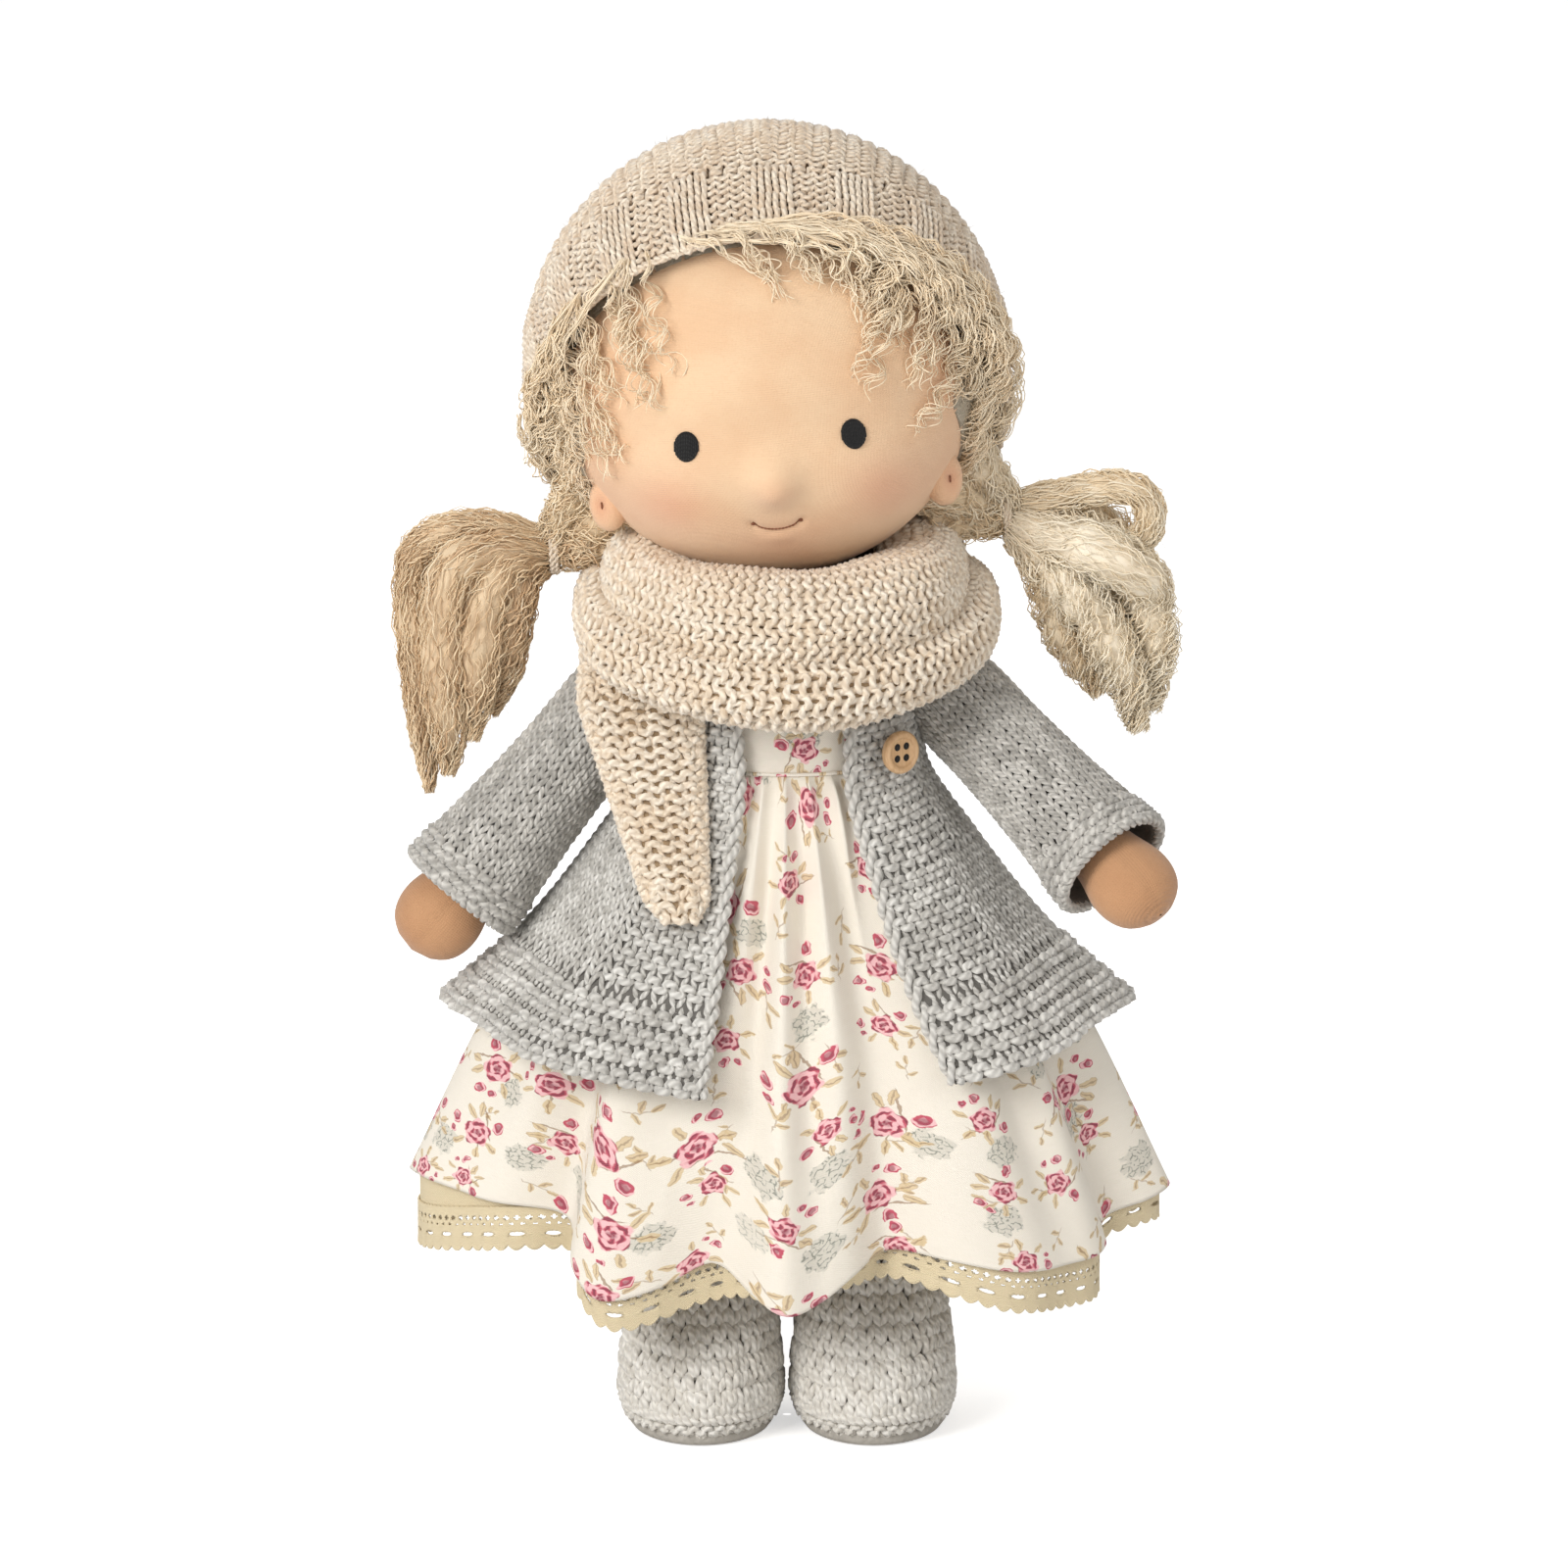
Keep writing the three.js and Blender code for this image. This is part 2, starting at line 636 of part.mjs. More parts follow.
const tufts = {};
for (const [name, side, rows] of [["left", 1, LEFT_TUFT], ["right", -1, RIGHT_TUFT]]) {
  const tie = threadRing(LOCK_RADIUS + GAP, HAIR_TIE_RADIUS)
    .rotateY(Math.PI / 2)
    .translate(side * (TIE_OUT - HAIR_TIE_RADIUS - GAP), TIE_BACK, TIE_LIFT);
  const lockSleeve = join(lockBar(side, GAP), lockEnd(side, GAP));
  add(head, `${name}_hair_tie`, cut(tie, lockSleeve), "oatmeal");

  tufts[name] = new THREE.Group();
  tufts[name].position.set(side * TIE_OUT, TIE_BACK, TIE_LIFT);
  head.add(tufts[name]);
  const bunch = loft(
    rows.map(([height, inner, outer]) => {
      const half = (outer - inner) / 2;
      return ring(
        TUFT_SIDES,
        (turn) =>
          new THREE.Vector3(
            side * ((inner + outer) / 2 - TIE_OUT) + half * Math.sin(turn),
            -half * TUFT_DEPTH_SHARE * Math.cos(turn),
            height - TIE_LIFT,
          ),
      );
    }),
  );
  const root = bar(MIDDLE, new THREE.Vector3(side * TUFT_ROOT_LENGTH, 0, 0), LOCK_RADIUS, LOCK_SIDES);
  add(tufts[name], `${name}_pigtail`, join(bunch, root), "hair");
}

// Torso
const doll = new THREE.Group();
doll.add(head);
const torsoBottom = HIP_HEIGHT + THIGH_RADIUS + GAP;
const torsoSwell = (z) => along(TORSO_SWELL, (z - torsoBottom) / (NECK_HEIGHT - torsoBottom));

// An oval ring at one height; a garment over the torso is grown by its distance from the torso
const oval = (halfWidth, halfDepth, z, sides = BODY_SIDES) =>
  ring(sides, (turn) => new THREE.Vector3(halfWidth * Math.sin(turn), -halfDepth * Math.cos(turn), z));
const torsoOval = (z, grow) =>
  oval((TORSO_WIDTH / 2) * torsoSwell(z) + grow, (TORSO_DEPTH / 2) * torsoSwell(z) + grow, z);

const torsoRings = steps(TORSO_ROWS).map((t) => torsoOval(mix(torsoBottom, NECK_HEIGHT, t), 0));
const neckSocket = bar(
  new THREE.Vector3(0, 0, -NECK_SOCKET_DEPTH),
  new THREE.Vector3(0, 0, NECK_SOCKET_DEPTH),
  NECK_RADIUS + GAP,
  NECK_SIDES,
)
  .rotateY(-HEAD_TILT * DEGREE)
  .translate(0, 0, NECK_HEIGHT);
const shoulderX = (TORSO_WIDTH / 2) * torsoSwell(SHOULDER_HEIGHT);
const stubEnd = shoulderX + GAP;
add(doll, "torso", cut(loft(torsoRings), neckSocket), "wool");

// Dress: a bodice with armholes and a gathered skirt sewn under it
const bodiceSeat = GAP + FACET_EASE;
const bodiceGrow = bodiceSeat + COTTON_THICKNESS;
const stitchRing = SHOULDER_STUB_RADIUS + GAP + 2 * STITCH_RADIUS;
const armhole = (radius) =>
  bar(
    new THREE.Vector3(-FAR / 2, 0, SHOULDER_HEIGHT),
    new THREE.Vector3(FAR / 2, 0, SHOULDER_HEIGHT),
    radius,
    ARMHOLE_SIDES,
  );
const bodiceRows = (grow) =>
  steps(BODICE_ROWS).map((t) => torsoOval(mix(COLLAR_HEIGHT, WAIST_SEAM + GAP, t), grow));
const bodiceHole = stitchRing + ARMHOLE_EASE;
const bodice = cut(shell(bodiceRows(bodiceGrow), bodiceRows(bodiceSeat)), armhole(bodiceHole));
add(doll, "dress_bodice", bodice, "print");

const SKIRT_SIDES = FOLDS * FOLD_SIDES;
const skirtHem = (turn) => mix(SKIRT_HEM_FRONT, SKIRT_HEM_SIDE, Math.sin(turn) ** 2);

// A point of the skirt: its share of the way down, and how far it lies inside the outer face
function skirtPoint(turn, share, inside, hem = skirtHem(turn)) {
  const flare = along(SKIRT_FLARE, share);
  const fold = FOLD_DEPTH * share * Math.cos(FOLDS * turn) - inside;
  const waist = torsoSwell(WAIST_SEAM) / 2;
  const halfWidth = mix(TORSO_WIDTH * waist + bodiceGrow, SKIRT_HALF_WIDTH, flare) + fold;
  const halfDepth = mix(TORSO_DEPTH * waist + bodiceGrow, SKIRT_HALF_DEPTH, flare) + fold;
  return new THREE.Vector3(
    halfWidth * Math.sin(turn),
    -halfDepth * Math.cos(turn),
    mix(WAIST_SEAM, hem, share),
  );
}

const skirtRows = (inside) =>
  steps(SKIRT_ROWS).map((share) => ring(SKIRT_SIDES, (turn) => skirtPoint(turn, share, inside)));
add(doll, "dress_skirt", shell(skirtRows(0), skirtRows(COTTON_THICKNESS)), "print");

// Petticoat: the same folds a little inside the skirt, down to the lace that shows under the hem
const elasticGrow = GAP + ELASTIC_THICKNESS;
const petticoatStart = (turn) => (WAIST_SEAM - PETTICOAT_TOP) / (WAIST_SEAM - skirtHem(turn));
const petticoatEnd = (turn) => 1 + PETTICOAT_SHOW / (WAIST_SEAM - skirtHem(turn));
function petticoatPoint(turn, share, inside) {
  const under = COTTON_THICKNESS + PETTICOAT_INSET;
  const low = skirtPoint(turn, mix(petticoatStart(turn), petticoatEnd(turn), share), under + inside);
  const swell = torsoSwell(PETTICOAT_TOP) / 2;
  const grow = elasticGrow + GAP + LINEN_THICKNESS - inside;
  const waist = new THREE.Vector3(
    (TORSO_WIDTH * swell + grow) * Math.sin(turn),
    -(TORSO_DEPTH * swell + grow) * Math.cos(turn),
    low.z,
  );
  return waist.lerp(low, THREE.MathUtils.smoothstep(share, 0, PETTICOAT_GATHER));
}
const petticoatRows = (inside) =>
  steps(PETTICOAT_ROWS).map((share) =>
    ring(SKIRT_SIDES, (turn) => petticoatPoint(turn, share, inside)),
  );
add(doll, "petticoat", shell(petticoatRows(0), petticoatRows(LINEN_THICKNESS)), "linen");

const elasticRows = (grow) =>
  [PETTICOAT_TOP, PETTICOAT_TOP - ELASTIC_HEIGHT].map((z) => torsoOval(z, grow));
add(doll, "petticoat_elastic", shell(elasticRows(elasticGrow), elasticRows(GAP)), "elastic");

const LACE_SIDES = LACE_SCALLOPS * 2;
function lacePoint(turn, step, share, inside) {
  const hem = petticoatPoint(turn, 1, inside);
  const scallop = (step % 2) * SCALLOP_DEPTH * share;
  return hem.setZ(hem.z - GAP - share * LACE_HEIGHT + scallop);
}
const laceRows = (inside) =>
  [0, 1].map((share) =>
    Array.from({ length: LACE_SIDES }, (_, i) =>
      lacePoint((i / LACE_SIDES) * TURN, i, share, inside),
    ),
  );
add(doll, "petticoat_lace", shell(laceRows(0), laceRows(LACE_THICKNESS)), "lace");

// Cardigan: a back and two fronts, joined at the sides, with armholes under the sleeves
const cardiganGrow = bodiceGrow + 2 * GAP + KNIT_THICKNESS;
const cardiganHem = (turn) => mix(CARDIGAN_HEM_FRONT, CARDIGAN_HEM_SIDE, Math.sin(turn) ** 2);
function cardiganPoint(turn, share, inside) {
  const flare = along(CARDIGAN_FLARE, share);
  const z = mix(COLLAR_HEIGHT, cardiganHem(turn), share);
  const swell = torsoSwell(Math.max(z, WAIST_SEAM)) / 2;
  const ease = CARDIGAN_EASE * THREE.MathUtils.smoothstep(share, 0, CARDIGAN_EASE_SHARE);
  const fold = CARDIGAN_FOLD_DEPTH * share ** 2 * Math.cos(CARDIGAN_FOLDS * turn) - inside;
  const halfWidth = mix(TORSO_WIDTH * swell + cardiganGrow + ease, CARDIGAN_HALF_WIDTH, flare) + fold;
  const halfDepth = mix(TORSO_DEPTH * swell + cardiganGrow + ease, CARDIGAN_HALF_DEPTH, flare) + fold;
  return new THREE.Vector3(halfWidth * Math.sin(turn), -halfDepth * Math.cos(turn), z);
}

const cardiganPanel = (columns, turnAt) => {
  const rows = (inside) =>
    steps(CARDIGAN_ROWS).map((share) =>
      steps(columns).map((t) => cardiganPoint(turnAt(t, share), share, inside)),
    );
  return panel(rows(0), rows(KNIT_THICKNESS));
};
const sideSeam = GAP / (TORSO_WIDTH + 2 * cardiganGrow);
const cardiganHole = armhole(bodiceHole);
const back = cardiganPanel(2 * CARDIGAN_COLUMNS, (t) =>
  mix(Math.PI / 2 + sideSeam, 1.5 * Math.PI - sideSeam, t),
);
add(doll, "cardigan_back", cut(back, cardiganHole), "grey");
for (const [name, side] of [["left", 1], ["right", -1]]) {
  const [collarEdge, hemEdge] = FRONT_EDGES[name];
  const front = cardiganPanel(CARDIGAN_COLUMNS, (t, share) => {
    const edge = mix(collarEdge, hemEdge, share) * DEGREE;
    return side * mix(edge, Math.PI / 2 - sideSeam, t);
  });
  add(doll, `cardigan_${name}_front`, cut(front, cardiganHole), "grey");
}

// Button, facing out of the left front
const buttonTurn = BUTTON_AZIMUTH * DEGREE;
const NUDGE = 0.01;
const buttonSpot = cardiganPoint(buttonTurn, BUTTON_DOWN, 0);
const buttonNormal = cardiganPoint(buttonTurn + NUDGE, BUTTON_DOWN, 0)
  .sub(buttonSpot)
  .cross(cardiganPoint(buttonTurn, BUTTON_DOWN + NUDGE, 0).sub(buttonSpot))
  .normalize();
if (buttonNormal.y > 0) buttonNormal.negate();
const button = new THREE.Group();
button.position.copy(buttonSpot);
button.quaternion.setFromUnitVectors(UP, buttonNormal);
doll.add(button);

const buttonClear = 2 * GAP;
const buttonBack = buttonClear + BUTTON_SHANK + GAP;
const buttonFace = buttonBack + BUTTON_THICKNESS;
const dishRadius = BUTTON_RADIUS - 2 * BUTTON_RIM;
const buttonBlank = revolve(
  [
    [0, buttonBack],
    [BUTTON_RADIUS - BUTTON_RIM / 2, buttonBack],
    [BUTTON_RADIUS, buttonBack + BUTTON_THICKNESS / 2],
    [BUTTON_RADIUS - BUTTON_RIM / 2, buttonFace],
    [BUTTON_RADIUS - BUTTON_RIM, buttonFace],
    [dishRadius, buttonFace - BUTTON_DISH],
    [0, buttonFace - BUTTON_DISH],
  ],
  BUTTON_SIDES,
);
const corners = [1, -1].flatMap((x) =>
  [1, -1].map((y) => new THREE.Vector3(x * BUTTON_HOLE_OUT, y * BUTTON_HOLE_OUT, 0)),
);
const upright = (place, from, to, radius) =>
  bar(place.clone().setZ(from), place.clone().setZ(to), radius, HOLE_SIDES);
const holes = corners.map((place) => upright(place, 0, FAR, BUTTON_HOLE_RADIUS));
add(button, "wooden_button", cut(buttonBlank, ...holes), "button");

const stitchHeight = buttonFace - BUTTON_DISH + GAP + BUTTON_THREAD_RADIUS;
const shank = upright(MIDDLE.clone(), buttonClear, buttonClear + BUTTON_SHANK, BUTTON_SHANK_RADIUS);
const legs = corners.map((place) =>
  upright(place, buttonClear + BUTTON_SHANK / 2, stitchHeight, BUTTON_THREAD_RADIUS),
);
const bars = [1, -1].map((x) =>
  bar(
    new THREE.Vector3(x * BUTTON_HOLE_OUT, -BUTTON_HOLE_OUT - BUTTON_THREAD_RADIUS, stitchHeight),
    new THREE.Vector3(x * BUTTON_HOLE_OUT, BUTTON_HOLE_OUT + BUTTON_THREAD_RADIUS, stitchHeight),
    BUTTON_THREAD_RADIUS,
    THREAD_SIDES,
  ),
);
add(button, "button_thread", join(shank, ...legs, ...bars), "thread");

// Scarf: one strip wound outwards round the neck, crossing from the inner to the outer turn at the back
const byQuarter = ([front, side, rear], turn) => {
  const ahead = Math.cos(turn);
  return ahead > 0 ? mix(side, front, ahead) : mix(side, rear, -ahead);
};
function scarfSection(turnDegrees) {
  const turn = turnDegrees * DEGREE;
  const outer = THREE.MathUtils.smoothstep(turnDegrees, ...SCARF_CROSSING);
  const value = (key) => mix(byQuarter(INNER_TURN[key], turn), byQuarter(OUTER_TURN[key], turn), outer);
  const outward = new THREE.Vector3(Math.sin(turn), -Math.cos(turn), 0);
  const centre = outward.clone().multiplyScalar(value("reach")).setZ(value("height"));
  return { centre, outward, halfThickness: value("halfThickness"), halfHeight: value("halfHeight") };
}
const scarfRings = steps(SCARF_STEPS).map((t) => {
  const { centre, outward, halfThickness, halfHeight } = scarfSection(mix(...SCARF_ENDS, t));
  const taper = mix(SCARF_END_SHARE, 1, THREE.MathUtils.smoothstep(Math.min(t, 1 - t), 0, SCARF_TAPER));
  return ring(SCARF_SIDES, (turn) =>
    centre
      .clone()
      .addScaledVector(outward, taper * halfThickness * Math.cos(turn))
      .addScaledVector(UP, taper * halfHeight * Math.sin(turn)),
  );
});
add(doll, "scarf_wrap", loft(scarfRings), "oatmeal");

// The hanging end lies on the cardigan and tucks in under the outer turn
function tailSurface(x, z) {
  const hem = CARDIGAN_HEM_FRONT;
  const share = THREE.MathUtils.clamp((COLLAR_HEIGHT - z) / (COLLAR_HEIGHT - hem), 0, 1);
  const flare = along(CARDIGAN_FLARE, share);
  const swell = torsoSwell(Math.max(z, WAIST_SEAM)) / 2;
  const reach = (size, full) => mix(size * swell + cardiganGrow + CARDIGAN_EASE, full, flare);
  const width = reach(TORSO_WIDTH, CARDIGAN_HALF_WIDTH) + CARDIGAN_FOLD_DEPTH;
  const depth = reach(TORSO_DEPTH, CARDIGAN_HALF_DEPTH) + CARDIGAN_FOLD_DEPTH;
  return -depth * Math.sqrt(Math.max(1 - (x / width) ** 2, 0));
}
const tailRings = steps(TAIL_ROWS).map((t) => {
  const z = mix(TAIL_TOP, TAIL_TIP, t);
  const x = -mix(TAIL_TOP_OUT, TAIL_TIP_OUT, t);
  const half = mix(TAIL_TOP_WIDTH, TAIL_TIP_WIDTH, t) / 2;
  const y = tailSurface(x - Math.sign(x) * half, z) - GAP - TAIL_THICKNESS / 2;
  return ring(
    TAIL_SIDES,
    (turn) => new THREE.Vector3(x + half * Math.sin(turn), y - (TAIL_THICKNESS / 2) * Math.cos(turn), z),
  );
});
add(doll, "scarf_tail", loft(tailRings), "oatmeal");

// Arms: each hangs from a round stub on the torso and turns about the axis of that stub
const handCentre = -(ARM_LENGTH - HAND_RADIUS);
const armProfile = [
  ...arc(HAND_RADIUS, handCentre, -90, HAND_ARC, HAND_ROWS),
  [WRIST_RADIUS, -SLEEVE_LENGTH + KNIT_THICKNESS],
  [(WRIST_RADIUS + ARM_RADIUS) / 2, -SLEEVE_LENGTH / 2],
  ...arc(ARM_RADIUS, 0, 0, 90, CAP_ARC_ROWS),
];
const sleeveInside = SLEEVE_RADIUS - KNIT_THICKNESS;
const sleeveProfile = [
  ...arc(SLEEVE_RADIUS, 0, 90, 0, CAP_ARC_ROWS),
  [CUFF_RADIUS, -SLEEVE_LENGTH],
  [CUFF_RADIUS - KNIT_THICKNESS, -SLEEVE_LENGTH],
  ...arc(sleeveInside, 0, 0, 90, CAP_ARC_ROWS),
].toReversed();
const shoulderHalf = (TORSO_WIDTH / 2) * torsoSwell(SHOULDER_HEIGHT) + cardiganGrow + CARDIGAN_EASE;
const sleevePlane = SHOULDER_OUT - shoulderHalf - GAP;
for (const [name, { side, spread, swing }] of Object.entries(ARM_POSES)) {
  const shoulder = new THREE.Group();
  shoulder.position.set(side * SHOULDER_OUT, 0, SHOULDER_HEIGHT);
  doll.add(shoulder);
  const hang = new THREE.Matrix4().makeRotationFromEuler(
    new THREE.Euler(-swing * DEGREE, -side * spread * DEGREE, 0),
  );
  const inward = (distance) => new THREE.Vector3(-side * distance, 0, 0);
  const stub = bar(inward(SHOULDER_OUT - stubEnd), MIDDLE, SHOULDER_STUB_RADIUS, ARM_SIDES);
  const limb = revolve(armProfile, ARM_SIDES).applyMatrix4(hang);
  add(shoulder, `${name}_arm`, join(limb, stub), "skin");

  const bodySide = new THREE.BoxGeometry(FAR, FAR, FAR).translate(-side * (sleevePlane + FAR / 2), 0, 0);
  const sleeve = revolve(sleeveProfile, SLEEVE_SIDES).applyMatrix4(hang);
  add(shoulder, `${name}_sleeve`, cut(sleeve, bodySide), "grey");

  const stitching = threadRing(SHOULDER_STUB_RADIUS + GAP, STITCH_RADIUS)
    .rotateY(Math.PI / 2)
    .translate(-side * (SHOULDER_OUT - stubEnd - STITCH_RADIUS), 0, 0);
  add(shoulder, `${name}_shoulder_stitching`, stitching, "thread");
}

// Legs and boots: each leg has a round top under the torso and turns about the hip axis
const legLength = HIP_HEIGHT - LEG_BOTTOM;
const legLean = Math.atan2(FOOT_OUT - HIP_OUT, HIP_HEIGHT - BOOT_TOP / 2);
function legSolid(side, grow) {
  const profile = [
    [0, -legLength - grow],
    [LEG_END_RADIUS + grow, -legLength - grow],
    [ANKLE_RADIUS + grow, -legLength + ANKLE_RADIUS / 2],
    [ANKLE_RADIUS + grow, BOOT_TOP - HIP_HEIGHT],
    [KNEE_RADIUS + grow, -HIP_HEIGHT / 2],
    ...arc(THIGH_RADIUS + grow, 0, 0, 90, CAP_ARC_ROWS),
  ];
  const limb = revolve(profile, LEG_SIDES).rotateY(-side * legLean);
  const foot = new THREE.SphereGeometry(0.5, LEG_SIDES, LEG_SIDES / 2)
    .rotateX(Math.PI / 2)
    .scale(FOOT_WIDTH + 2 * grow, FOOT_LENGTH + 2 * grow, FOOT_HEIGHT + 2 * grow)
    .translate(side * (FOOT_OUT - HIP_OUT), -FOOT_FORWARD, FOOT_HEIGHT / 2 + LEG_BOTTOM - HIP_HEIGHT);
  return join(limb, foot);
}

// An egg-shaped outline of the boot at one height, from its half width, toe and heel
const bootRing = (side, [height, halfWidth, toe, heel]) =>
  ring(
    BOOT_SIDES,
    (turn) =>
      new THREE.Vector3(
        side * (FOOT_OUT - HIP_OUT) + halfWidth * Math.sin(turn),
        (heel - toe) / 2 - ((heel + toe) / 2) * Math.cos(turn),
        height - HIP_HEIGHT,
      ),
  );
const upperFoot = SOLE_THICKNESS + GAP;
const upperRows = [
  [upperFoot, BOOT_WIDTH / 2 - WELT_OVERHANG, BOOT_TOE - WELT_OVERHANG, BOOT_HEEL - WELT_OVERHANG],
  ...BOOT_TAPER.map(([rise, width, toe, heel]) => [
    mix(upperFoot, BOOT_TOP, rise),
    mix(BOOT_WIDTH, BOOT_SHAFT_WIDTH, width) / 2,
    mix(BOOT_TOE, BOOT_SHAFT_FRONT, toe),
    mix(BOOT_HEEL, BOOT_SHAFT_BACK, heel),
  ]),
];
const soleRows = SOLE_EDGE.map(([rise, inset]) => [
  rise * SOLE_THICKNESS,
  BOOT_WIDTH / 2 + WELT_OVERHANG - inset,
  BOOT_TOE + WELT_OVERHANG - inset,
  BOOT_HEEL + WELT_OVERHANG - inset,
]);
for (const [name, side] of [["left", 1], ["right", -1]]) {
  const hip = new THREE.Group();
  hip.position.set(side * HIP_OUT, 0, HIP_HEIGHT);
  doll.add(hip);
  add(hip, `${name}_leg`, legSolid(side, 0), "skin");
  const upper = loft(upperRows.map((row) => bootRing(side, row)));
  add(hip, `${name}_boot_upper`, cut(upper, legSolid(side, GAP)), "grey");
  add(hip, `${name}_boot_sole`, loft(soleRows.map((row) => bootRing(side, row))), "grey");
}

export default doll;
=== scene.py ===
"""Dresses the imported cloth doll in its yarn, cloth, hair and skin.

Every size is in millimetres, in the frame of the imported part: +Z up, the face towards -Y and the doll's left
at +X. Meshes are turned into metres when they are made.
"""

import logging
import math
from collections.abc import Callable, Sequence
from dataclasses import dataclass, field
from enum import Enum
from typing import Any

import bpy
import numpy as np
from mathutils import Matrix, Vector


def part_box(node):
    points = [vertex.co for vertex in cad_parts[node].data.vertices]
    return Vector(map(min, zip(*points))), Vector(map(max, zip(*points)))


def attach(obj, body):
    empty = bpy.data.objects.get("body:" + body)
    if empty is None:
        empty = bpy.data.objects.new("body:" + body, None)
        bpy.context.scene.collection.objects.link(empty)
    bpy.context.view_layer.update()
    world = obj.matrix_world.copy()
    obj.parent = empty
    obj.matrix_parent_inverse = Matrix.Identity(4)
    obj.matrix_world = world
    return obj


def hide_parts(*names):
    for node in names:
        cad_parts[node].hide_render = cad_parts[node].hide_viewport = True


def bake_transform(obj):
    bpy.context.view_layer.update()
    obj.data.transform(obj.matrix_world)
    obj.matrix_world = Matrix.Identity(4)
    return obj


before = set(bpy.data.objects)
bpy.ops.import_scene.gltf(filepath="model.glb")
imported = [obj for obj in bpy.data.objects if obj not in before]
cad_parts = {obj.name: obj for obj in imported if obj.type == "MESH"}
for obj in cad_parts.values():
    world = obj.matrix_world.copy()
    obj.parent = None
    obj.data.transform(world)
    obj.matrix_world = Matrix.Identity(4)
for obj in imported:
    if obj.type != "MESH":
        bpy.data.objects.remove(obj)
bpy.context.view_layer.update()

LOG = logging.getLogger("doll")
Array = np.ndarray
Color = tuple[float, float, float, float]
Spot = tuple[float, float, float, float, float]
Triple = tuple[float, float, float]
Line = tuple[tuple[float, float], ...]
Settings = dict[str, Any] | None
Inputs = dict[str | int, Any] | None
Material = bpy.types.Material
Piece = bpy.types.Object
Random = np.random.Generator
Count = Callable[[int], int]
Pattern = Callable[[int, Array, int], Array]
MM = 0.001
TURN = 2 * math.pi
SEED = 7
# The radius of a loose fibre, and how long the longest are on thick and on fine wool.
FIBRE = 0.045
LONG_FIBRE = 1.7
SHORT_FIBRE = 1.5
# How far the ring that closes an end is drawn in to its middle.
DRAWN_IN = 0.98
# The least share of its flat rectangle that a sheet's area is said to fill.
LEAST_AREA = 0.31


class Body(str, Enum):
    """The bodies of the doll that move on their joints."""

    TORSO = "torso"
    HEAD = "head"
    LEFT_PIGTAIL = "left_pigtail"
    RIGHT_PIGTAIL = "right_pigtail"
    LEFT_ARM = "left_arm"
    RIGHT_ARM = "right_arm"
    LEFT_LEG = "left_leg"
    RIGHT_LEG = "right_leg"


class Slot(str, Enum):
    """The material slots of the record."""

    STUFFING = "wool_stuffing"
    SKIN = "skin_knit"
    THREAD = "sewing_thread"
    EYE = "eye_thread"
    MOUTH = "mouth_thread"
    MOHAIR = "mohair"
    OATMEAL = "oatmeal_knit"
    PRINT = "rose_print"
    LINEN = "linen"
    ELASTIC = "elastic"
    LACE = "lace"
    GREY = "grey_knit"
    CROCHET = "grey_crochet"
    WOOD = "button_wood"


class Side(Enum):
    """The doll's own left and right, with the sign of their X."""

    LEFT = 1
    RIGHT = -1

    @property
    def word(self) -> str:
        """The side's name as the nodes spell it."""
        return self.name.lower()

    def body(self, limb: str) -> Body:
        """The body of a limb on this side."""
        return Body(f"{self.word}_{limb}")


class Owner(Enum):
    """What a set of nodes belongs to, by its list in the file."""

    MATERIAL = "materials"
    WORLD = "worlds"


def tint(code: int) -> Color:
    """A linear colour from a display colour.

    Args:
        code: The display colour as 0xRRGGBB.

    Returns:
        Red, green, blue and full alpha.
    """
    parts = [(code >> shift & 255) / 255 for shift in (16, 8, 0)]
    return tuple(c / 12.92 if c <= 0.04045 else ((c + 0.055) / 1.055) ** 2.4 for c in parts) + (1.0,)


def mix(start: Any, end: Any, share: Any) -> Any:
    """The value a share of the way from start to end."""
    return start + (end - start) * share


def smooth(value: Any, low: float, high: float) -> Any:
    """An eased step from 0 at low to 1 at high."""
    t = np.clip((value - low) / (high - low), 0, 1)
    return t * t * (3 - 2 * t)


def along(stations: Sequence[tuple[float, float]], place: Any) -> Array:
    """Values along a line of stations, smoothly joined.

    Args:
        stations: Pairs of place and value, in order.
        place: Where to read the line.

    Returns:
        The value at each place.
    """
    at, value = np.array(stations, float).T
    i = np.clip(np.searchsorted(at, place) - 1, 0, len(at) - 2)
    slope = np.empty(len(at))
    slope[1:-1] = (value[2:] - value[:-2]) / (at[2:] - at[:-2])
    slope[0] = (value[1] - value[0]) / (at[1] - at[0])
    slope[-1] = (value[-1] - value[-2]) / (at[-1] - at[-2])
    span = at[i + 1] - at[i]
    t = (place - at[i]) / span
    ease = t * t * (3 - 2 * t)
    ends = slope[i] * t * (1 - t) ** 2 - slope[i + 1] * t * t * (1 - t)
    return mix(value[i], value[i + 1], ease) + span * ends


def round_turn(stations: Line, turn: Any) -> Array:
    """Values round a full turn, smoothly joined.

    Args:
        stations: Pairs of degrees from the middle front and value, from -180 to 180.
        turn: Where to read them, in radians.

    Returns:
        The value at each angle.
    """
    return along(stations, (np.degrees(turn) + 180) % 360 - 180)


def stack(x: Any, y: Any, z: Any) -> Array:
    """Points from their three coordinates, spread to one shape."""
    return np.stack(np.broadcast_arrays(x, y, z), -1).astype(float)


def round_angles(count: int) -> Array:
    """Even angles round one turn."""
    return np.arange(count) / count * TURN


def oval(wide: Any, deep: Any, turn: Any, height: Any) -> Array:
    """Points of level ovals from their half sizes; a turn of 0 is in front and grows to +X."""
    return stack(wide * np.sin(turn), -deep * np.cos(turn), height)


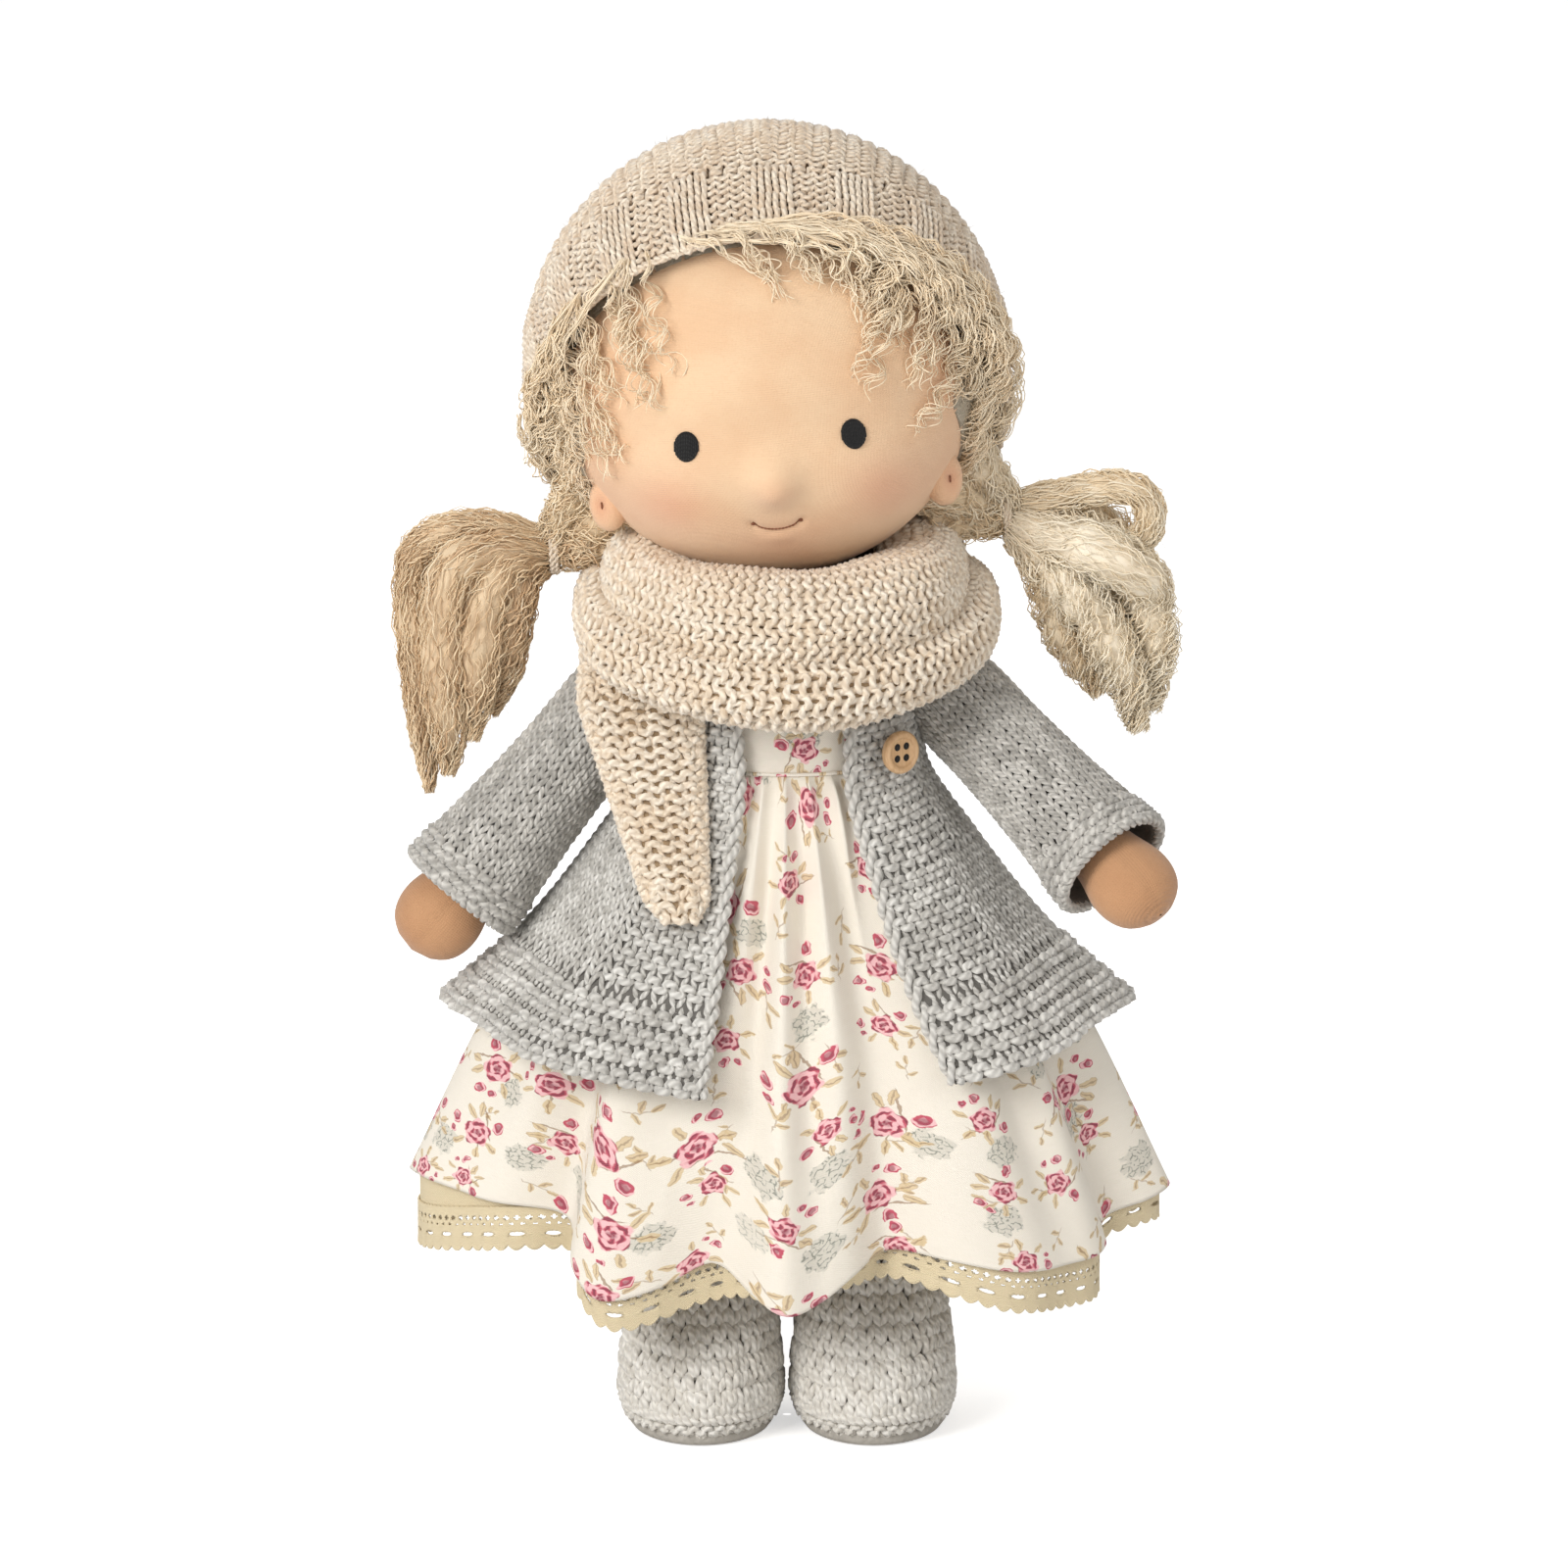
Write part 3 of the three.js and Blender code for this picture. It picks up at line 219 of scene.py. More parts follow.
def capped(rings: Array, size: float = 1.0) -> Array:
    """Rings drawn in to a share of their size, with a closing ring at both ends.

    Args:
        rings: Rings by points by 3.
        size: The share of their size that is left.

    Returns:
        The rings with two more.
    """
    heart = rings.mean(1, keepdims=True)
    rings = heart + (rings - heart) * size
    first, last = (mix(rings[end], heart[end], DRAWN_IN)[None] for end in (0, -1))
    return np.concatenate([first, rings, last])


def doubled(outer: Array, inner: Array) -> Array:
    """The rows of a sheet's outer face, then those of its inner face from the far edge back."""
    return np.concatenate([outer, inner[::-1]])


def pocket(outer: Array, inner: Array) -> Array:
    """The rows of a sheet's two faces, with the first row of the outer one closed."""
    tip = outer[:1].mean(1, keepdims=True) + 0 * outer[:1]
    return np.concatenate([tip, doubled(outer, inner)])


def unit(vectors: Array) -> Array:
    """The vectors at length 1."""
    return vectors / np.maximum(np.linalg.norm(vectors, axis=-1, keepdims=True), 1e-9)


def turned(points: Array, matrix: Array) -> Array:
    """The points turned by a 3 by 3 matrix."""
    return points @ np.asarray(matrix).T


def turn_about(axis: int, degrees: float) -> Array:
    """The matrix of a turn about a main axis.

    Args:
        axis: 0, 1 or 2 for X, Y or Z.
        degrees: The angle by the right-hand rule.

    Returns:
        A 3 by 3 matrix.
    """
    c, s = math.cos(math.radians(degrees)), math.sin(math.radians(degrees))
    matrix = np.eye(3)
    i, j = (axis + 1) % 3, (axis + 2) % 3
    matrix[i, i] = matrix[j, j] = c
    matrix[i, j], matrix[j, i] = -s, s
    return matrix


class Value:
    """A shader socket that can stand in a Python expression."""

    def __init__(self, graph: "Graph", socket: bpy.types.NodeSocket) -> None:
        """Wraps one output socket of a graph."""
        self.graph = graph
        self.socket = socket

    def other(self, output: str | int) -> "Value":
        """Another output of the same node."""
        return Value(self.graph, self.socket.node.outputs[output])

    def __add__(self, other: Any) -> "Value":
        """The sum of two values."""
        return self.graph.math("ADD", self, other)

    __radd__ = __add__

    def __sub__(self, other: Any) -> "Value":
        """The difference of two values."""
        return self.graph.math("SUBTRACT", self, other)

    def __rsub__(self, other: Any) -> "Value":
        """A number less this value."""
        return self.graph.math("SUBTRACT", other, self)

    def __mul__(self, other: Any) -> "Value":
        """The product of two values."""
        return self.graph.math("MULTIPLY", self, other)

    __rmul__ = __mul__

    def __truediv__(self, other: Any) -> "Value":
        """The quotient of two values."""
        return self.graph.math("DIVIDE", self, other)

    def __rtruediv__(self, other: Any) -> "Value":
        """A number over this value."""
        return self.graph.math("DIVIDE", other, self)


class Graph:
    """The nodes of one material or of the world."""

    def __init__(self, name: str, owner: Owner = Owner.MATERIAL) -> None:
        """Starts an empty material or world of that name."""
        self.owner = getattr(bpy.data, owner.value).new(name)
        self.owner.use_nodes = True
        self.tree = self.owner.node_tree
        self.tree.nodes.clear()

    def add(self, kind: str, settings: Settings = None, inputs: Inputs = None) -> bpy.types.Node:
        """Adds a node: its settings first, then its values and links.

        Args:
            kind: The node's type, without its leading ShaderNode.
            settings: Its own settings; stops are the places and colours of a ramp.
            inputs: Numbers, colours or links for its sockets.

        Returns:
            The node.
        """
        made = self.tree.nodes.new("ShaderNode" + kind)
        for key, setting in (settings or {}).items():
            if key == "stops":
                elements = made.color_ramp.elements
                while len(elements) < len(setting):
                    elements.new(1.0)
                for element, (place, color) in zip(elements, setting):
                    element.position = place
                    element.color = color
            else:
                setattr(made, key, setting)
        for key, value in (inputs or {}).items():
            if isinstance(value, Value):
                self.tree.links.new(value.socket, made.inputs[key])
            else:
                made.inputs[key].default_value = value
        return made

    def node(
        self, kind: str, settings: Settings = None, inputs: Inputs = None, output: str | int = 0
    ) -> Value:
        """One output of a new node, as a value."""
        return Value(self, self.add(kind, settings, inputs).outputs[output])

    def math(self, operation: str, *values: Any) -> Value:
        """A Math node on the values."""
        return self.node("Math", {"operation": operation}, dict(enumerate(values)))

    def vector(self, operation: str, *values: Any) -> Value:
        """A Vector Math node on the values."""
        return self.node("VectorMath", {"operation": operation}, dict(enumerate(values)))

    def mix(self, share: Any, start: Any, end: Any) -> Value:
        """A colour a share of the way from start to end."""
        return self.node("Mix", {"data_type": "RGBA"}, {0: share, 6: start, 7: end}, 2)

    def step(self, value: Any, low: float, high: float) -> Value:
        """An eased step from 0 at low to 1 at high."""
        settings = {"interpolation_type": "SMOOTHSTEP"}
        return self.node("MapRange", settings, {"Value": value, "From Min": low, "From Max": high})

    def noise(self, vector: Any, scale: float, detail: float = 2.0) -> Value:
        """Soft noise from 0 to 1."""
        return self.node("TexNoise", None, {"Vector": vector, "Scale": scale, "Detail": detail})

    def map(self, name: str) -> Value:
        """The coordinates of one of the mesh's maps."""
        return self.node("UVMap", {"uv_map": name})

    def tone(self, name: str = "tone") -> Value:
        """A number that the mesh carries at its points."""
        return self.node("Attribute", {"attribute_name": name}, None, "Fac")

    def parts(self, vector: Value) -> tuple[Value, Value]:
        """The first two coordinates of a vector."""
        split = self.node("SeparateXYZ", None, {0: vector})
        return split, split.other(1)

    def place(self) -> Value:
        """The place on the piece, in metres."""
        return self.node("TexCoord", None, None, "Object")

    def seen(self) -> Value:
        """1 for what the camera sees, also in mirrors and through glass, and 0 for light."""
        path = self.node("LightPath", None, None, "Is Camera Ray")
        bent = self.math("MAXIMUM", path.other("Is Glossy Ray"), path.other("Is Transmission Ray"))
        return self.math("MAXIMUM", path, bent)

    def finish(
        self, color: Any, roughness: Any, height: Value | None = None, depth: float = 0.0, **fixed: Any
    ) -> Material:
        """Joins the values to the surface.

        Args:
            color: The base colour.
            roughness: The roughness.
            height: What the bump follows, if there is one.
            depth: How far it stands out, in millimetres.
            fixed: Other inputs that are the same all over, with _ for a space.

        Returns:
            The finished material.
        """
        inputs: dict[str | int, Any] = {"Base Color": color, "Roughness": roughness}
        if height is not None:
            bump = {"Strength": 1.0, "Distance": depth * MM, "Height": height}
            inputs["Normal"] = self.node("Bump", None, bump, "Normal")
        inputs |= {name.replace("_", " "): value for name, value in fixed.items()}
        self.add("OutputMaterial", None, {"Surface": self.node("BsdfPrincipled", None, inputs)})
        return self.owner


@dataclass(frozen=True)
class Yarn:
    """Spun wool: plies twisted round each other, of mixed fibres, with painted shade in the grooves between
    the plies.
    """

    name: str
    color: int
    pale: int
    # The colour that darkens the ply grooves as painted shade.
    dark: int
    pitch: float = 2.4
    plies: int = 2
    fibre: float = 1.0

    def material(self) -> Material:
        """The yarn's material; its map runs along the yarn in millimetres and round it from 0 to 1."""
        g = Graph(self.name)
        length, around = g.parts(g.map("cloth"))
        ply = g.math("SINE", (length / self.pitch + around * self.plies) * TURN) * 0.5 + 0.5
        hair = g.noise(g.node("CombineXYZ", None, {0: length * 1.1, 1: around * 7.0, 2: g.tone() * 9}), 1.6)
        wool = g.mix(g.tone(), tint(self.color), tint(self.pale))
        worn = g.mix(g.step(hair, 0.38, 0.72) * 0.4, wool, tint(self.pale))
        # Darker towards each ply's low side: painted shade in the grooves between the plies.
        groove = g.mix((1.0 - ply) * 0.45, worn, tint(self.dark))
        relief = ply * 0.7 + hair * 0.5 * self.fibre
        sheen = {"Sheen_Weight": 0.35, "Sheen_Roughness": 0.6}
        return g.finish(groove, 0.92, relief, 0.22, Specular_IOR_Level=0.2, **sheen)


@dataclass(frozen=True)
class Lining:
    """Dark fuzzy wool: under each knitted piece a sheet that is darker as the painted shade seen between its
    stitches, and the soles' felt cores.
    """

    name: str
    color: int

    def material(self) -> Material:
        """A fuzzy wool, darkened towards near black in a fine noise as painted shade."""
        g = Graph(self.name)
        fuzz = g.noise(g.place(), 900.0, 3.0)
        # Darkened towards near black in a fine noise: painted shade.
        color = g.mix(fuzz * 0.45, tint(self.color), (0.02, 0.015, 0.01, 1.0))
        return g.finish(color, 0.95, fuzz, 0.3, Specular_IOR_Level=0.1)


@dataclass(frozen=True)
class Skin:
    """Fine cotton knit over the stuffing, with rubbed-in colour where the piece carries blush, and painted
    shade where it deepens in the ears' hollows.
    """

    name: str
    color: int
    warm: int
    blush: int
    wale: float = 0.55

    def material(self) -> Material:
        """The skin's material; its map is in millimetres of cloth."""
        g = Graph(self.name)
        across, down = g.parts(g.map("cloth"))
        wale = g.math("SINE", across * (TURN / self.wale))
        course = g.math("SINE", down * (TURN / self.wale) + wale)
        mottle = g.noise(g.place(), 60.0, 4.0)
        base = g.mix(g.step(mottle, 0.35, 0.7) * 0.45, tint(self.color), tint(self.warm))
        rosy = g.mix(g.tone(), base, tint(self.blush))
        fleck = g.noise(g.place(), 1500.0)
        felt = g.mix(g.step(fleck, 0.5, 0.75) * 0.22, rosy, tint(self.warm))
        relief = wale * 0.25 + course * 0.25 + fleck
        sheen = {"Sheen_Weight": 0.25, "Sheen_Roughness": 0.5}
        return g.finish(felt, 0.78, relief, 0.09, Specular_IOR_Level=0.25, **sheen)


@dataclass(frozen=True)
class Mohair:
    """Curly goat hair, from brown to cream by the tone each strand carries; the darker locks' low tones are
    painted shade.
    """

    name: str
    brown: int
    cream: int
    white: int
    depth: float = 0.06

    def material(self) -> Material:
        """The hair's material; each strand carries its tone."""
        g = Graph(self.name)
        length, around = g.parts(g.map("cloth"))
        fibres = g.node("CombineXYZ", None, {0: length * 0.25, 1: g.tone() * 40, 2: around * 16})
        streak = g.noise(fibres, 1.0, 3.0)
        patch = g.noise(g.place(), 75.0)
        stops = [(0.0, tint(self.brown)), (0.55, tint(self.cream)), (1.0, tint(self.white))]
        # Low tones, given to the darker locks as painted shade, pull the colour towards brown.
        paleness = g.tone() * 0.85 + streak * 0.35 + patch * 0.4 - 0.32
        color = g.node("ValToRGB", {"stops": stops}, {0: paleness})
        return g.finish(color, 0.85, streak, self.depth, Specular_IOR_Level=0.06)


@dataclass(frozen=True)
class Thread:
    """Sewing or embroidery thread, with the slant of its twist and painted shade in its grooves."""

    name: str
    color: int
    dark: int
    roughness: float = 0.6

    def material(self) -> Material:
        """The thread's material; its map runs along the thread in millimetres."""
        g = Graph(self.name)
        length, around = g.parts(g.map("cloth"))
        twist = g.math("SINE", (length / 0.9 + around) * TURN) * 0.5 + 0.5
        # Darker in the grooves of the twist: painted shade.
        color = g.mix((1.0 - twist) * 0.6, tint(self.color), tint(self.dark))
        return g.finish(color, self.roughness, twist, 0.08, Sheen_Weight=0.1, Specular_IOR_Level=0.35)


@dataclass(frozen=True)
class Cloth:
    """Plain woven cloth, with painted shade in the hollows of its weave."""

    name: str
    color: int
    dark: int
    count: float = 0.5
    depth: float = 0.08

    def weave(self, g: Graph) -> tuple[Value, Value]:
        """The weave's height and its slubs.

        Args:
            g: The material's nodes.

        Returns:
            The height of the threads and the uneven thickness of the yarn, both about 0 to 1.
        """
        across, down = g.parts(g.map("cloth"))
        warp = g.math("SINE", across * (TURN / self.count))
        weft = g.math("SINE", down * (TURN / self.count))
        streaks = g.node("CombineXYZ", None, {0: across * 0.25, 1: down * 3.0})
        return warp * weft * 0.5 + 0.5, g.noise(streaks, 1.0, 3.0)

    def material(self) -> Material:
        """The cloth's material; its map is in millimetres."""
        g = Graph(self.name)
        weave, slub = self.weave(g)
        # Darker in the weave's hollows as painted shade, and where the slub noise is low as the yarn's own
        # uneven colour.
        color = g.mix(slub * 0.5 + weave * 0.25, tint(self.dark), tint(self.color))
        return g.finish(color, 0.88, weave + slub, self.depth, Sheen_Weight=0.15, Specular_IOR_Level=0.2)


@dataclass(frozen=True)
class RosePrint(Cloth):
    """Cotton with scattered roses, leaves, sprigs and sketched filler flowers."""

    rose: int = 0xC0405A
    deep: int = 0x8A2440
    petal: int = 0xF0BDBF
    leaf: int = 0xD9C093
    stem: int = 0x8A6236
    sketch: int = 0x85877A
    repeat: float = 20.5
    rose_radius: float = 4.9
    shrink: float = 1.2
    shake: float = 1.5

    def spot(self, g: Graph, vector: Value, repeat: float, shift: float) -> tuple[Value, Value, Value]:
        """Scattered places for a motif.

        Args:
            g: The material's nodes.
            vector: The cloth's map in millimetres.
            repeat: The distance between neighbours.
            shift: Moves the whole scatter along the cloth.

        Returns:
            The two coordinates in millimetres from the nearest place, turned at random, and a random number.
        """
        scaled = g.vector("MULTIPLY_ADD", vector, (1 / repeat,) * 3, (shift, shift * 0.37, 0.0))
        inputs = {"Vector": scaled, "Scale": 1.0, "Randomness": 0.5}
        cell = g.node("TexVoronoi", {"voronoi_dimensions": "2D"}, inputs, "Position")
        chance, other = g.parts(cell.other("Color"))
        inputs = {0: g.vector("SUBTRACT", scaled, cell), "Scale": repeat * self.shrink / (other * 0.5 + 0.75)}
        local = g.node("VectorMath", {"operation": "SCALE"}, inputs)
        spun = g.node("VectorRotate", {"rotation_type": "Z_AXIS"}, {"Vector": local, "Angle": chance * TURN})
        x, y = g.parts(spun)
        return x, y, other

    def ellipse(self, x: Value, y: Value, spot: Spot) -> Value:
        """An oval's height.

        Args:
            x: The first coordinate.
            y: The second coordinate.
            spot: The oval's middle, its two half sizes and its slant in radians.

        Returns:
            A value that is 1 in the middle and 0 on the rim.
        """
        cx, cy, long, short, slant = spot
        c, s = math.cos(slant), math.sin(slant)
        u = ((x - cx) * c + (y - cy) * s) / long
        v = ((y - cy) * c - (x - cx) * s) / short
        return 1.0 - (u * u + v * v)

    def leaves(self, g: Graph, color: Value, x: Value, y: Value, spots: tuple[Spot, ...]) -> Value:
        """The ground with ochre leaves that have brown veins and broken outlines."""
        for spot in spots:
            inside = self.ellipse(x, y, spot)
            vein = g.step(self.ellipse(x, y, (*spot[:3], 0.28, spot[4])), 0.0, 0.5)
            line = g.step(inside, 0.4, 0.05) * g.step(y + x * 0.6, spot[1] - 1, spot[1] + 1)
            tone = g.mix(vein * 0.7 + line * 0.7, tint(self.leaf), tint(self.stem))
            color = g.mix(g.step(inside, 0.0, 0.25) * 0.85, color, tone)
        return color

    def roses(self, g: Graph, ground: Value, flat: Value) -> Value:
        """The ground with roses, their leaves, buds and stems printed on it."""
        x, y, chance = self.spot(g, flat, self.repeat, 0.0)
        color = ground
        for spot in ((1.5, 5.2, 7.0, 0.35, 0.5), (-4.5, -3.5, 5.0, 0.3, 0.8)):
            mark = self.ellipse(x, y, spot)
            color = g.mix(g.step(mark, 0.0, 0.3) * 0.7, color, tint(self.stem))
        spots = (
            (6.4, 2.6, 2.8, 1.2, 0.2), (5.2, 6.0, 2.5, 1.1, 0.9), (-6.4, 1.2, 2.7, 1.15, 2.8),
            (-5.6, -4.8, 2.6, 1.15, 0.7), (1.2, -7.0, 2.4, 1.05, 1.8),
        )
        color = self.leaves(g, color, x, y, spots)
        for bud in ((7.8, -3.2, 2.1, 1.6, 0.4), (-2.8, 7.4, 2.5, 1.9, 2.0), (5.4, -6.4, 1.4, 1.1, 0.0)):
            inside = self.ellipse(x, y, bud)
            curl = g.math("SINE", inside * 7.0 + x * 1.7 + y)
            tone = g.mix(g.step(curl, -0.3, 0.5), tint(self.petal), tint(self.rose))
            tone = g.mix(g.step(inside, 0.55, 0.85) * 0.7, tone, tint(self.deep))
            color = g.mix(g.step(inside, 0.0, 0.2), color, tone)
        away = g.math("SQRT", x * x + y * y)
        angle = g.math("ARCTAN2", y, x)
        wave = g.math("SINE", angle * 5.0 + chance * TURN)
        swirl = g.math("SINE", angle * 2.0 + away * 2.3 + chance * 9.0)
        curl = g.math("SINE", angle * 3.0 - away * 3.4 + chance * 5.0)
        heart = g.mix(g.step(swirl * 0.7 + curl * 0.6, -0.3, 0.45), tint(self.petal), tint(self.rose))
        heart = g.mix(g.step(curl + swirl * 0.5, 0.5, 1.0), heart, tint(self.deep))
        heart = g.mix(g.step(away, 1.6, 0.4) * 0.75, heart, tint(self.deep))
        rim = (wave * 0.12 + 1.0) * (self.rose_radius * 0.92)
        return g.mix(g.step(rim - away, 0.0, 0.5), color, heart)

    def sketches(self, g: Graph, ground: Value, flat: Value) -> Value:
        """The ground with clusters of small outlined petals and ochre sprigs between the roses."""
        x, y, chance = self.spot(g, flat, self.repeat * 0.92, 3.7)
        away = g.math("SQRT", x * x + y * y)
        inputs = {"Vector": flat, "Scale": 0.72, "Randomness": 1.0}
        settings = {"voronoi_dimensions": "2D", "feature": "DISTANCE_TO_EDGE"}
        edge = g.node("TexVoronoi", settings, inputs)
        ragged = away + g.noise(flat, 0.35, 2.0) * 6.0
        inside = g.step(ragged, 7.9, 6.9) * g.step(chance, 0.5, 0.54)
        petals = g.mix(inside * 0.28, ground, tint(self.sketch))
        broken = g.step(g.noise(flat, 0.9, 1.0), 0.42, 0.55)
        color = g.mix(inside * broken * g.step(edge, 0.16, 0.06) * 0.9, petals, tint(self.sketch))
        x, y, chance = self.spot(g, flat, self.repeat * 0.72, 8.3)
        stalk = self.ellipse(x, y, (0.0, 0.4, 4.6, 0.22, 1.45))
        color = g.mix(g.step(stalk, 0.0, 0.4) * 0.5, color, tint(self.stem))
        spots = ((1.7, 1.2, 1.9, 0.8, 0.5), (-1.6, -0.4, 1.8, 0.75, 2.5), (0.5, 4.2, 1.7, 0.75, 1.3))
        return self.leaves(g, color, x, y, spots)

    def material(self) -> Material:
        """The printed cotton's material; a slow noise keeps its drawing uneven."""
        g = Graph(self.name)
        flat = g.map("cloth")
        weave, slub = self.weave(g)
        # The ground is darker in the weave's hollows as painted shade, and on low slubs as the yarn's own
        # colour.
        ground = g.mix(slub * 0.5 + weave * 0.2, tint(self.dark), tint(self.color))
        waver = g.noise(flat, 0.6, 1.0).other("Color")
        drawn = g.vector("MULTIPLY_ADD", waver, (self.shake, self.shake, 0.0), flat)
        printed = self.roses(g, self.sketches(g, ground, drawn), drawn)
        worn = g.mix(weave * 0.12, printed, tint(self.color))
        return g.finish(worn, 0.8, weave + slub * 0.5, self.depth, Sheen_Weight=0.1, Specular_IOR_Level=0.25)


@dataclass(frozen=True)
class Wood:
    """Pale turned wood with fine grain."""

    name: str
    color: int
    dark: int
    roughness: float = 0.45

    def material(self) -> Material:
        """The wood's material."""
        g = Graph(self.name)
        stretched = g.vector("MULTIPLY", g.place(), (900.0, 900.0, 160.0))
        grain = g.noise(stretched, 1.0, 4.0)
        rings = g.math("SINE", grain * 18.0) * 0.5 + 0.5
        color = g.mix(rings * 0.35 + grain * 0.3, tint(self.color), tint(self.dark))
        return g.finish(color, self.roughness, rings, 0.02, Coat_Weight=0.15, Coat_Roughness=0.3)


@dataclass(frozen=True)
class Backdrop:
    """The plain pale floor."""

    name: str = "studio_floor"
    color: Color = (0.86, 0.855, 0.85, 1.0)
    glow: Color = (0.56, 0.558, 0.556, 1.0)

    def material(self) -> Material:
        """White paper to the camera, which still takes the doll's shadow and lights nothing by itself."""
        g = Graph(self.name)
        speckle = g.noise(g.place(), 40.0)
        lit = {"Emission_Color": g.mix(g.seen(), (0.0, 0.0, 0.0, 1.0), self.glow), "Emission_Strength": 1.0}
        return g.finish(self.color, speckle * 0.1 + 0.75, **lit)


class Finishes:
    """One material for each finish of the doll."""

    def __init__(self) -> None:
        """Makes every material once."""
        made = {
            # A yarn's third colour is the painted shade in its ply grooves.
            "hat": Yarn("hat_wool", 0xE3CCB1, 0xF6E9D5, 0xA38B70),
            "scarf": Yarn("scarf_wool", 0xE9D5BA, 0xF8EDDB, 0xB79D80),
            "cardigan": Yarn("cardigan_wool", 0xBAB6AE, 0xE8E5DE, 0x827E77, pitch=2.0),
            # The sleeves take a darker copy of the cardigan's wool: painted shade.
            "sleeves": Yarn("shaded_sleeve_wool", 0xA29E96, 0xD6D2CA, 0x6F6B65, pitch=2.0),
            "boots": Yarn("boot_wool", 0xD9D3C8, 0xF1EDE5, 0xA9A398, pitch=2.0),
            # The sheets under the knitting are darker than their yarn as painted shade; the sole's felt core
            # has its own colour under the same darkening.
            "hat_shade_backing": Lining("hat_shade_backing", 0x8E775C),
            "scarf_shade_backing": Lining("scarf_shade_backing", 0xB39A7B),
            "cardigan_shade_backing": Lining("cardigan_shade_backing", 0x74716C),
            "boot_shade_backing": Lining("boot_shade_backing", 0x9A948B),
            "sole": Lining("sole_felt", 0xC4BEB4),
            "skin": Skin("skin_knit", 0xEAC8A3, 0xDFB189, 0xD68A6C),
            "hand": Skin("hand_knit", 0xC4966E, 0xAC7D58, 0xA86F4D),
            "hair": Mohair("mohair", 0xD3AE86, 0xF8E2BF, 0xFFF5E0),
            "front_hair": Mohair("front_mohair", 0xF2CDA0, 0xFFE7C4, 0xFFF0D6),
            "felted": Mohair("felted_mohair", 0xC5A27D, 0xEAD7B8, 0xFAF0DD, depth=0.9),
            # A thread's second colour is the painted shade in its twist.
            "eye": Thread("eye_thread", 0x0B0908, 0x030202, 0.75),
            "mouth": Thread("mouth_thread", 0x8E5536, 0x58301D),
            "thread": Thread("sewing_thread", 0xD8C6A6, 0x9C8765),
            # A cloth's second colour is the painted shade in its weave's hollows and the colour of its darker
            # slubs.
            "print": RosePrint("rose_cotton", 0xF7F1E6, 0xE9E0D0),
            "linen": Cloth("petticoat_linen", 0xEADDBF, 0xCDBB95, count=0.8, depth=0.12),
            "lace": Cloth("lace_cotton", 0xEDE0C2, 0xD2BF98, count=0.6, depth=0.12),
            "elastic": Cloth("waist_elastic", 0xEFECE6, 0xC9C4B8, count=1.2, depth=0.2),
            "calico": Cloth("torso_calico", 0xE6D8BE, 0xC4B394, count=0.9, depth=0.1),
            "wood": Wood("button_wood", 0xE3BE92, 0xB98956),
        }
        self.by_name = {name: finish.material() for name, finish in made.items()}

    def __getitem__(self, name: str) -> Material:
        """The material of that name."""
        return self.by_name[name]


class Surface:
    """A smooth sheet in millimetres over two coordinates that run from 0 to 1."""

    STEP = 1e-3

    def __init__(self, place: Callable[[Array, Array], Array], flip: bool = False) -> None:
        """Keeps the formula of the sheet.

        Args:
            place: The points at arrays of both coordinates.
            flip: Turns the normal round.
        """
        self.place = place
        self.sign = -1.0 if flip else 1.0

    def frame(self, u: Array, v: Array) -> tuple[Array, Array]:
        """The points and the normals at both coordinates."""
        h = self.STEP
        across = self.place(u + h, v) - self.place(u - h, v)
        down = self.place(u, v + h) - self.place(u, v - h)
        return self.place(u, v), self.sign * unit(np.cross(across, down))

    def grid(self, columns: int, rows: int, lift: float = 0.0, closed: bool = True) -> Array:
        """A grid of points over the sheet.

        Args:
            columns: How many points across.
            rows: How many points down.
            lift: Their distance from the sheet along its normal.
            closed: Whether the sheet meets itself across.

        Returns:
            The points as rows by columns by 3.
        """
        u, v = np.meshgrid(np.linspace(0, 1, columns, endpoint=not closed), np.linspace(0, 1, rows))
        point, normal = self.frame(u, v)
        return point + normal * lift


